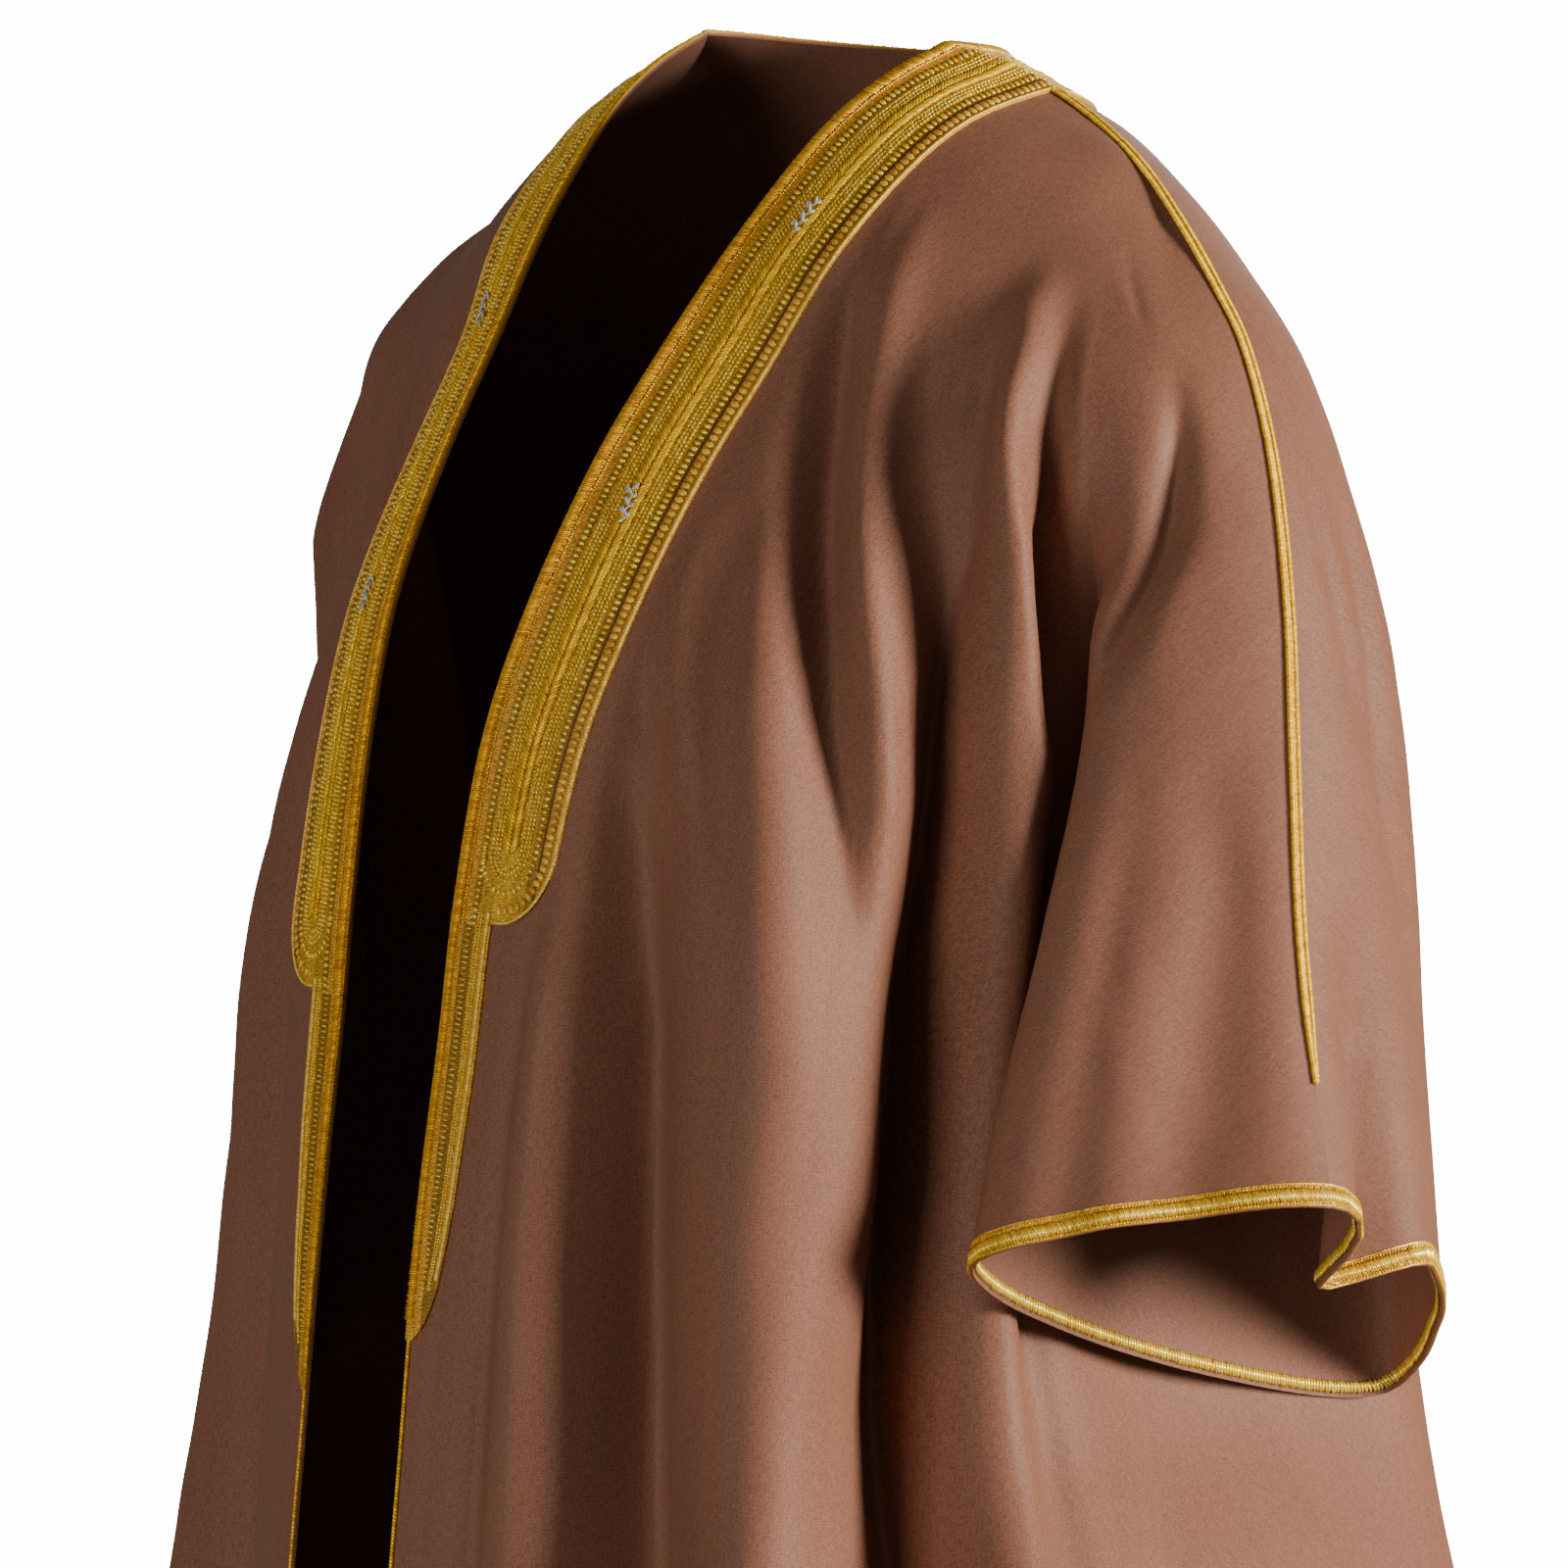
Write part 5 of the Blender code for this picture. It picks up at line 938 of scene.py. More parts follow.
        edge, chest, lip = (self.read(name, low) for name in ("edge", "chest", "lip"))
        side = self.read("side", low - self.under)
        back_lip = self.read("back_lip", low - self.under + self.back_under)
        soft = 1 - smooth(low, self.under, self.under + 1.0)[:, None]
        at_side = turn(lip, side, back_lip) + self.apart(BODY_LEAN) * soft
        at_chest = turn(edge, chest, lip)
        start = self.free_end(edge, chest, at_chest)
        lower = sweep((edge, chest, lip, side), (start, at_chest, turn(chest, lip, side), at_side))
        low = low[low <= self.under + len(SLEEVE) + 1e-9]
        pit, fore, seam, rear, heel = self.ring(low)
        at_pit = turn(heel, pit, fore) + self.apart(SLEEVE_LEAN) * soft[: len(low)]
        lower_sleeve = sweep((pit, fore, seam), (at_pit, turn(pit, fore, seam), turn(fore, seam, rear)))
        return np.r_[body, lower], np.r_[sleeve, lower_sleeve]

    def ring(self, rows: Array) -> tuple[Array, Array, Array, Array, Array]:
        """Stations of the sleeve below the underarm at front row numbers.

        Args:
            rows: Front row numbers.

        Returns:
            The underarm, front, seam, rear and heel points of the rows.
        """
        pit = self.read("pit", rows - self.under)
        seam = self.seam(self.drop(rows, self.sleeve_drop))
        back_rows = rows - self.under + self.back_under
        return pit, self.read("fore", rows), seam, self.read("rear", back_rows), self.read("heel", back_rows)

    def lay_on_seam(self, body: Array, sleeve: Array) -> None:
        """Puts the first level of a front exactly on the shoulder seam.

        Args:
            body: The body's grid, changed in place.
            sleeve: The sleeve's grid, changed in place.
        """
        line = np.r_[body[0], sleeve[0, 1:]]
        length = lengths(line)
        falls = -self.seam_dense[:, 2] / CM
        stretch = self.seam_dense[falls <= FRONT[0].arm_drop + 1e-6]
        reach = lengths(stretch)
        line = read_by(length / length[-1] * reach[-1], reach, stretch)
        body[0] = line[: body.shape[1]]
        sleeve[0] = line[body.shape[1] - 1 :]

    def back_base(self, rows: Array) -> tuple[Array, Array]:
        """Base grids of half of the back.

        Args:
            rows: Row numbers of the back's tables.

        Returns:
            The sleeve's grid from the seam, and the body's grid to the centre.
        """
        top = rows[rows <= self.back_under + 1e-9]
        names = ("rear", "heel", "hollow", "back_lip", "centre")
        rear, heel, hollow, lip, centre = (self.read(name, top) for name in names)
        drops = self.drop(top, self.back_drop)
        seam = self.seam(drops)
        level = self.level(drops, self.front_drop)
        fore, front_lip = self.read("fore", level), self.read("lip", level)
        split = smooth(top, 5.5, 8.5)[:, None]
        cross = smooth(top, 2.8, 4.2)[:, None]
        at_rear = turn(seam, rear, heel)
        inward = self.free_end(seam, rear, at_rear)
        at_seam = inward + (turn(fore, seam, rear) - inward) * cross
        through = turn(heel, hollow, lip)
        to_sleeve = through + (turn(heel, hollow, fore) - self.apart(SLEEVE_LEAN) - through) * split
        to_body = through + (turn(front_lip, hollow, lip) - self.apart(BODY_LEAN) - through) * split
        across = np.zeros_like(centre) + np.array([-self.side, 0.0, 0.0])
        sleeve = sweep((seam, rear, heel, hollow), (at_seam, at_rear, turn(rear, heel, hollow), to_sleeve))
        body = sweep((hollow, lip, centre), (to_body, turn(hollow, lip, centre), across))
        low = rows[rows > self.back_under + 1e-9]
        front_rows = low - self.back_under + self.under
        side = self.read("side", low - self.back_under)
        lip, centre = self.read("back_lip", low), self.read("centre", low)
        front_lip = self.read("lip", front_rows)
        soft = 1 - smooth(low, self.back_under, self.back_under + 1.0)[:, None]
        at_side = turn(front_lip, side, lip) - self.apart(BODY_LEAN) * soft
        across = np.zeros_like(centre) + np.array([-self.side, 0.0, 0.0])
        lower = sweep((side, lip, centre), (at_side, turn(side, lip, centre), across))
        front_rows = front_rows[front_rows <= self.under + len(SLEEVE) + 1e-9]
        pit, fore, seam, rear, heel = self.ring(front_rows)
        at_pit = turn(heel, pit, fore) - self.apart(SLEEVE_LEAN) * soft[: len(front_rows)]
        ends = (turn(fore, seam, rear), turn(seam, rear, heel), turn(rear, heel, pit), at_pit)
        return np.r_[sleeve, sweep((seam, rear, heel, pit), ends)], np.r_[body, lower]


def lengths(line: Array) -> Array:
    """Length along a line of points from its start."""
    return np.r_[0.0, np.cumsum(np.linalg.norm(np.diff(line, axis=0), axis=1))]


def spans(grid: Array) -> Array:
    """Length along each level of a grid from its start."""
    steps = np.linalg.norm(np.diff(grid, axis=1), axis=2)
    return np.c_[np.zeros(len(grid)), np.cumsum(steps, axis=1)]


def facing(grid: Array, side: int) -> Array:
    """Unit normals of a grid, out of the cloth."""
    return unit(side * np.cross(np.gradient(grid, axis=0), np.gradient(grid, axis=1)))


def sample(grid: Array, rows: Array, columns: Array) -> Array:
    """Reads a grid at part numbers of rows and columns.

    Args:
        grid: Points by row and column.
        rows: Row numbers.
        columns: Column numbers, of the same shape.

    Returns:
        Points of that shape.
    """
    rows = np.clip(rows, 0, grid.shape[0] - 1.0)
    columns = np.clip(columns, 0, grid.shape[1] - 1.0)
    low = np.minimum(rows.astype(int), grid.shape[0] - 2)
    left = np.minimum(columns.astype(int), grid.shape[1] - 2)
    down, over = (rows - low)[..., None], (columns - left)[..., None]
    upper = grid[low, left] * (1 - over) + grid[low, left + 1] * over
    lower = grid[low + 1, left] * (1 - over) + grid[low + 1, left + 1] * over
    return upper * (1 - down) + lower * down


def distance(points: Array, line: Array) -> Array:
    """Distance of each point of a grid from a line of points.

    Args:
        points: Points of the grid.
        line: Points of the line.

    Returns:
        Distances in metres, in the grid's shape.
    """
    flat = points.reshape(-1, 3)
    near = np.full(len(flat), np.inf)
    for start in range(0, len(line), 32):
        gaps = np.linalg.norm(flat[:, None] - line[None, start : start + 32], axis=2)
        near = np.minimum(near, gaps.min(axis=1))
    return near.reshape(points.shape[:-1])


def fold_heights(folds: tuple[Fold, ...], drops: Array, across: Array) -> Array:
    """Height of the folds over a grid of distances across the cloth.

    Args:
        folds: The folds of this panel.
        drops: Drop of each level in centimetres.
        across: Distances across the cloth in metres.

    Returns:
        Heights in metres, of the same shape as the distances.
    """
    total = np.zeros_like(across)
    for one in folds:
        levels = [p.drop for p in one.points]
        place = np.interp(drops, levels, [p.across for p in one.points])[:, None]
        height = np.interp(drops, levels, [p.height for p in one.points], left=0, right=0)[:, None]
        width = np.interp(drops, levels, [p.width for p in one.points])[:, None]
        total += height * np.exp(-(((across / CM - place) / width) ** 2))
    return total * CM


def ripples(seed: int, across: Array, down: Array, width: float, length: float) -> Array:
    """Soft uneven waves over the cloth, long down it and short across it.

    Args:
        seed: Seed of the random heights.
        across: Distances across the cloth in metres.
        down: Distances down the cloth in metres, of the same shape.
        width: Distance between waves across, in metres.
        length: Distance between waves down, in metres.

    Returns:
        Heights from about -1 to 1.
    """
    heights = np.random.default_rng(seed).uniform(-1.0, 1.0, (96, 96))
    x, y = across / width + 11.3, down / length + 7.7
    i, j = np.floor(x).astype(int), np.floor(y).astype(int)
    u, v = smooth(x - i, 0.0, 1.0), smooth(y - j, 0.0, 1.0)
    i, j = i % 95, j % 95
    upper = heights[i, j] * (1 - u) + heights[i + 1, j] * u
    lower = heights[i, j + 1] * (1 - u) + heights[i + 1, j + 1] * u
    return upper * (1 - v) + lower * v


@dataclass
class Panel:
    """A finished grid of cloth: rows down it, columns across it."""

    points: Array
    across: Array
    down: Array

    def pick(self, rows: Array, columns: Array) -> "Panel":
        """The grid read at part numbers of rows and columns."""
        parts = (self.points, self.across[..., None], self.down[..., None])
        points, across, down = (sample(part, rows, columns) for part in parts)
        return Panel(points, across[..., 0], down[..., 0])


def fine_rows(drops: Array, others: Array, step: float) -> Array:
    """Row numbers spaced evenly down the cloth.

    Args:
        drops: Drop of each row of the table at one end, in centimetres.
        others: The same at the other end.
        step: Largest drop between rows, in centimetres.

    Returns:
        Rising row numbers.
    """
    gaps = np.maximum(np.diff(drops), np.diff(others))
    rows = [np.arange(n) / n + i for i, n in enumerate(np.maximum(4, np.ceil(gaps / step)).astype(int))]
    return np.r_[np.concatenate(rows), len(gaps)]


@dataclass
class Weave:
    """How finely the cloth is made, in centimetres and columns."""

    row_step: float = 0.62
    band_lines: int = 18
    front_columns: int = 62
    sleeve_columns: int = 46
    back_columns: int = 60
    ripple: float = 0.0006


class Panels:
    """The cloth of one side: front body, front sleeve, back sleeve and half of the back."""

    def __init__(self, side: int, weave: Weave) -> None:
        """Builds the grids of one side.

        Args:
            side: 1 for the left side, -1 for the right side.
            weave: How finely they are made.
        """
        self.half = Half(side)
        self.side = side
        self.weave = weave
        half = self.half
        body = np.array(BODY)[:, 0]
        front = np.array(FRONT)
        back = np.array(BACK)
        self.rows = fine_rows(half.front_drop, np.r_[front[:, 0], body], weave.row_step)
        self.back_rows = fine_rows(half.back_drop, np.r_[back[:, 1], body], weave.row_step)
        self.body, self.sleeve = self.front_cloth()
        self.back_sleeve, self.back_body = self.back_cloth()
        self.line = np.r_[self.body.points[::-1, 0], self.back_sleeve.points[0], self.back_body.points[0, 1:]]
        self.steps = np.linspace(0.0, BAND_WIDTH, weave.band_lines + 1)
        self.pick_front()
        self.pick_back()

    def drape(self, grid: Array, folds: tuple[Fold, ...], drops: Array, across: Array, hold: Array) -> Array:
        """Moves a base grid out by its folds and small ripples.

        Args:
            grid: Base points.
            folds: The folds of this panel.
            drops: Drop of each level in centimetres.
            across: Distances across in metres.
            hold: Zero where the cloth is held flat, one where it is free.

        Returns:
            Points of the draped cloth.
        """
        heights = fold_heights(folds, drops, across)
        down = np.repeat(drops[:, None] * CM, across.shape[1], axis=1)
        amount = self.weave.ripple * smooth(drops, 2.0, 16.0)[:, None]
        heights += amount * ripples(3 + self.side, across, down, 0.021, 0.13)
        heights += 0.45 * amount * ripples(7 + self.side, across + 0.2 * down, down, 0.0085, 0.05)
        return grid + facing(grid, self.side) * (heights * hold)[..., None]

    def front_cloth(self) -> tuple[Panel, Panel]:
        """Draped grids of the front's body and sleeve.

        Returns:
            The body's panel and the sleeve's.
        """
        half, rows = self.half, self.rows
        body, sleeve = half.front_base(rows)
        across = spans(body)
        reach = self.band_reach(-body[:, 0, 2] / CM)[:, None]
        hold = smooth(across / CM - reach, -0.3, 2.2) * smooth((across[:, -1:] - across) / CM, 0.0, 2.4)
        hold = hold * smooth(rows, 0.0, 1.6)[:, None]
        folds = FRONT_FOLDS + FINE_FRONT_FOLDS if self.side > 0 else FAR_FRONT_FOLDS + FINE_FAR_FOLDS
        drops = -body[:, body.shape[1] // 2, 2] / CM
        body = self.drape(body, folds, drops, across, hold)
        down = np.repeat(lengths(body[:, body.shape[1] // 2])[:, None], body.shape[1], axis=1)
        first = Panel(body, across, down)
        across = spans(sleeve)
        across = across[:, -1:] - across
        hold = smooth(across / CM, 0.3, 2.6) * smooth((across[:, :1] - across) / CM, 0.0, 2.4)
        hold = hold * smooth(rows[: len(sleeve)], 0.0, 1.6)[:, None]
        drops = half.drop(rows[: len(sleeve)], half.sleeve_drop)
        sleeve = self.drape(sleeve, FRONT_SLEEVE_FOLDS + FINE_SLEEVE_FOLDS, drops, across, hold)
        down = np.repeat(lengths(sleeve[:, sleeve.shape[1] // 2])[:, None], sleeve.shape[1], axis=1)
        return first, Panel(sleeve, across, down)

    def back_cloth(self) -> tuple[Panel, Panel]:
        """Draped grids of the back of the sleeve and of half of the back.

        Returns:
            The sleeve's panel and the back's.
        """
        half, rows = self.half, self.back_rows
        sleeve, body = half.back_base(rows)
        across = spans(body)
        across = across[:, -1:] - across
        hold = smooth((across[:, :1] - across) / CM, 0.0, 2.4) * smooth(rows, 1.2, 3.0)[:, None]
        folds = BACK_FOLDS + FINE_BACK_FOLDS if self.side > 0 else FAR_BACK_FOLDS + FINE_BACK_FOLDS
        drops = -body[:, body.shape[1] // 2, 2] / CM
        body = self.drape(body, folds, drops, across, hold)
        down = np.repeat(lengths(body[:, body.shape[1] // 2])[:, None], body.shape[1], axis=1)
        second = Panel(body, across, down)
        across = spans(sleeve)
        hold = smooth(across / CM, 0.3, 2.2) * smooth((across[:, -1:] - across) / CM, 0.0, 2.4)
        hold = hold * smooth(rows[: len(sleeve)], 1.2, 3.0)[:, None]
        drops = half.drop(rows[: len(sleeve)], half.back_sleeve_drop)
        dip = RECESS_DIP * np.exp(-(((across / CM - RECESS_PLACE) / RECESS_SPREAD) ** 2))
        low = smooth(drops, UNDERARM_DROP, CUFF_DROP)[:, None]
        sleeve[..., 2] -= dip * smooth(across / CM, 0.0, 2.0) * low * CM
        sleeve = self.drape(sleeve, BACK_SLEEVE_FOLDS + FINE_BACK_SLEEVE_FOLDS, drops, across, hold)
        down = np.repeat(lengths(sleeve[:, sleeve.shape[1] // 2])[:, None], sleeve.shape[1], axis=1)
        return Panel(sleeve, across, down), second

    def band_reach(self, drops: Array) -> Array:
        """How far from the edge the cloth stays flat under the bands, in centimetres.

        Args:
            drops: Drop of each level in centimetres.

        Returns:
            A reach for each level.
        """
        wide, narrow = BAND_END[self.side], NARROW_END[self.side]
        levels = np.array([0.0, wide - 0.01, wide + 0.01, narrow, narrow + 0.02]) / CM
        reach = np.array([BAND_WIDTH, BAND_WIDTH, NARROW_WIDTH, NARROW_WIDTH, 0.002]) / CM
        return np.interp(drops, levels, reach)

    def pick_front(self) -> None:
        """Takes the front's columns: set distances from the edge under the bands, then even ones."""
        points = self.body.points
        gaps = np.maximum.accumulate(distance(points[:, :70], self.line), axis=1)
        banded = np.array([np.interp(self.steps, row, np.arange(70)) for row in gaps])
        count = self.weave.front_columns
        rest = np.empty((len(points), count + 1))
        for i, reach in enumerate(self.body.across):
            start = np.interp(banded[i, -1], np.arange(len(reach)), reach)
            rest[i] = np.interp(np.linspace(start, reach[-1], count + 1), reach, np.arange(len(reach)))
        columns = np.c_[banded, rest[:, 1:]]
        rows = np.arange(len(points), dtype=float)[:, None] + 0 * columns
        self.body = self.body.pick(rows, columns)
        self.sleeve = self.even_columns(self.sleeve, self.weave.sleeve_columns)

    def even_columns(self, panel: Panel, count: int) -> Panel:
        """A panel with evenly spaced columns.

        Args:
            panel: The panel.
            count: How many spaces it gets.

        Returns:
            The panel picked anew.
        """
        found = np.empty((len(panel.points), count + 1))
        for i, reach in enumerate(panel.across):
            rising = reach if reach[-1] > reach[0] else reach[0] - reach
            found[i] = np.interp(np.linspace(0, rising[-1], count + 1), rising, np.arange(len(rising)))
        rows = np.arange(len(panel.points), dtype=float)[:, None] + 0 * found
        return panel.pick(rows, found)

    def pick_back(self) -> None:
        """Takes the back's rows: set distances from the neck under the band, then its own."""
        self.back_sleeve = self.neck_rows(self.even_columns(self.back_sleeve, self.weave.sleeve_columns))
        self.back_body = self.neck_rows(self.even_columns(self.back_body, self.weave.back_columns))
        lower = self.back_rows[self.back_rows > 1.0]
        self.back_turn = len(self.steps) + int(np.sum(lower <= self.half.back_under + 1e-9)) - 1
        self.turn = int(np.sum(self.rows <= self.half.under + 1e-9)) - 1

    def neck_rows(self, panel: Panel) -> Panel:
        """A panel whose first rows keep set distances from the neck.

        Args:
            panel: The panel.

        Returns:
            The panel picked anew.
        """
        depth = int(np.sum(self.back_rows <= 2.5))
        gaps = np.maximum.accumulate(distance(panel.points[:depth], self.line), axis=0)
        near = np.array([np.interp(self.steps, gaps[:, j], np.arange(depth)) for j in range(gaps.shape[1])]).T
        lower = np.arange(len(panel.points), dtype=float)[self.back_rows[: len(panel.points)] > 1.0]
        rows = np.r_[near, lower[:, None] + np.zeros((1, near.shape[1]))]
        return panel.pick(rows, np.arange(near.shape[1], dtype=float)[None] + 0 * rows)


class Skin:
    """A sheet of quads with a place in the weave at each point, which can be given a thickness."""

    def __init__(self) -> None:
        """Starts an empty sheet."""
        self.points: list[Array] = []
        self.weave: list[Array] = []
        self.quads: list[Array] = []
        self.count = 0
        self.set_normals: dict[int, Array] = {}

    def add(self, grid: Array, weave: Array, shared: tuple | None = None, flip: bool = False) -> Array:
        """Adds a grid of points.

        Args:
            grid: Points by row and column.
            weave: Their place in the weave, in metres.
            shared: Places of the grid and the point numbers that they take from a grid before it.
            flip: Whether the sheet faces the other way.

        Returns:
            The number of each point.
        """
        index = np.full(grid.shape[:2], -1)
        if shared is not None:
            index[shared[0]] = shared[1]
        new = index < 0
        index[new] = self.count + np.arange(int(new.sum()))
        self.points.append(grid[new])
        self.weave.append(weave[new])
        self.count += int(new.sum())
        a, b, c, d = index[:-1, :-1], index[:-1, 1:], index[1:, 1:], index[1:, :-1]
        quads = np.stack([a, b, c, d], axis=-1).reshape(-1, 4)
        self.quads.append(quads[:, ::-1] if flip else quads)
        return index

    def normals(self) -> Array:
        """Unit normals of the points, out of the sheet.

        Returns:
            One normal for each point.
        """
        points, quads = np.concatenate(self.points), np.concatenate(self.quads)
        corners = points[quads]
        faces = np.cross(corners[:, 2] - corners[:, 0], corners[:, 3] - corners[:, 1])
        total = np.zeros_like(points)
        for i in range(4):
            np.add.at(total, quads[:, i], faces)
        for number, normal in self.set_normals.items():
            total[number] = normal
        return unit(total)

    def object(self, name: str, low: float, high: float, finish: bpy.types.Material) -> bpy.types.Object:
        """The closed body between two heights over the sheet.

        Args:
            name: Name of the object.
            low: Height of the underside, in metres.
            high: Height of the face, in metres.
            finish: Its material.

        Returns:
            The object, linked to the scene.
        """
        points, quads = np.concatenate(self.points), np.concatenate(self.quads)
        weave, normals = np.concatenate(self.weave), self.normals()
        edges = np.concatenate([quads[:, [i, (i + 1) % 4]] for i in range(4)])
        size = len(points)
        keys = edges[:, 0] * size + edges[:, 1]
        rim = edges[~np.isin(keys, edges[:, 1] * size + edges[:, 0])]
        a, b = rim[:, 0], rim[:, 1]
        walls = np.stack([b, a, a + size, b + size], axis=1)
        both = np.r_[points + high * normals, points + low * normals]
        faces = np.r_[quads, quads[:, ::-1] + size, walls]
        sharp = np.r_[np.stack([a, b], axis=1), np.stack([a, b], axis=1) + size]
        return make_object(name, both, faces, np.r_[weave, weave], finish, sharp)


def make_object(
    name: str, points: Array, faces: Array, weave: Array, finish: bpy.types.Material, sharp: Array
) -> bpy.types.Object:
    """An object from arrays of points and quads.

    Args:
        name: Name of the object.
        points: Its points in metres.
        faces: Its quads as point numbers.
        weave: Place of each point in the weave, in metres, kept as its UV map.
        finish: Its material.
        sharp: Pairs of point numbers whose edges are sharp.

    Returns:
        The object, linked to the scene.
    """
    mesh = bpy.data.meshes.new(name)
    mesh.vertices.add(len(points))
    mesh.vertices.foreach_set("co", np.ascontiguousarray(points, np.float32).ravel())
    mesh.loops.add(faces.size)
    mesh.loops.foreach_set("vertex_index", np.ascontiguousarray(faces, np.int32).ravel())
    mesh.polygons.add(len(faces))
    mesh.polygons.foreach_set("loop_start", np.arange(0, faces.size, 4, dtype=np.int32))
    mesh.update(calc_edges=True)
    layer = mesh.uv_layers.new(name="UVMap")
    layer.uv.foreach_set("vector", np.ascontiguousarray(weave[faces.ravel()], np.float32).ravel())
    mesh.shade_smooth()
    ends = np.empty(len(mesh.edges) * 2, np.int32)
    mesh.edges.foreach_get("vertices", ends)
    ends = np.sort(ends.reshape(-1, 2).astype(np.int64), axis=1)
    wanted = np.sort(sharp.astype(np.int64), axis=1)
    hard = np.isin(ends[:, 0] * len(points) + ends[:, 1], wanted[:, 0] * len(points) + wanted[:, 1])
    mark = mesh.attributes.get("sharp_edge") or mesh.attributes.new("sharp_edge", "BOOLEAN", "EDGE")
    mark.data.foreach_set("value", hard)
    mesh.materials.append(finish)
    made = bpy.data.objects.new(name, mesh)
    bpy.context.scene.collection.objects.link(made)
    return made


def column_normals(first: Array, second: Array, side: int) -> Array:
    """Unit normals down the column that two grids share, both with equal weight.

    Args:
        first: Grid that ends at the column.
        second: Grid that starts at the column.
        side: 1 for the left side, -1 for the right side.

    Returns:
        One normal for each row.
    """
    down = np.gradient(second[:, 0], axis=0)
    before = unit(side * np.cross(down, first[:, -1] - first[:, -2]))
    after = unit(side * np.cross(down, second[:, 1] - second[:, 0]))
    return unit(before + after)


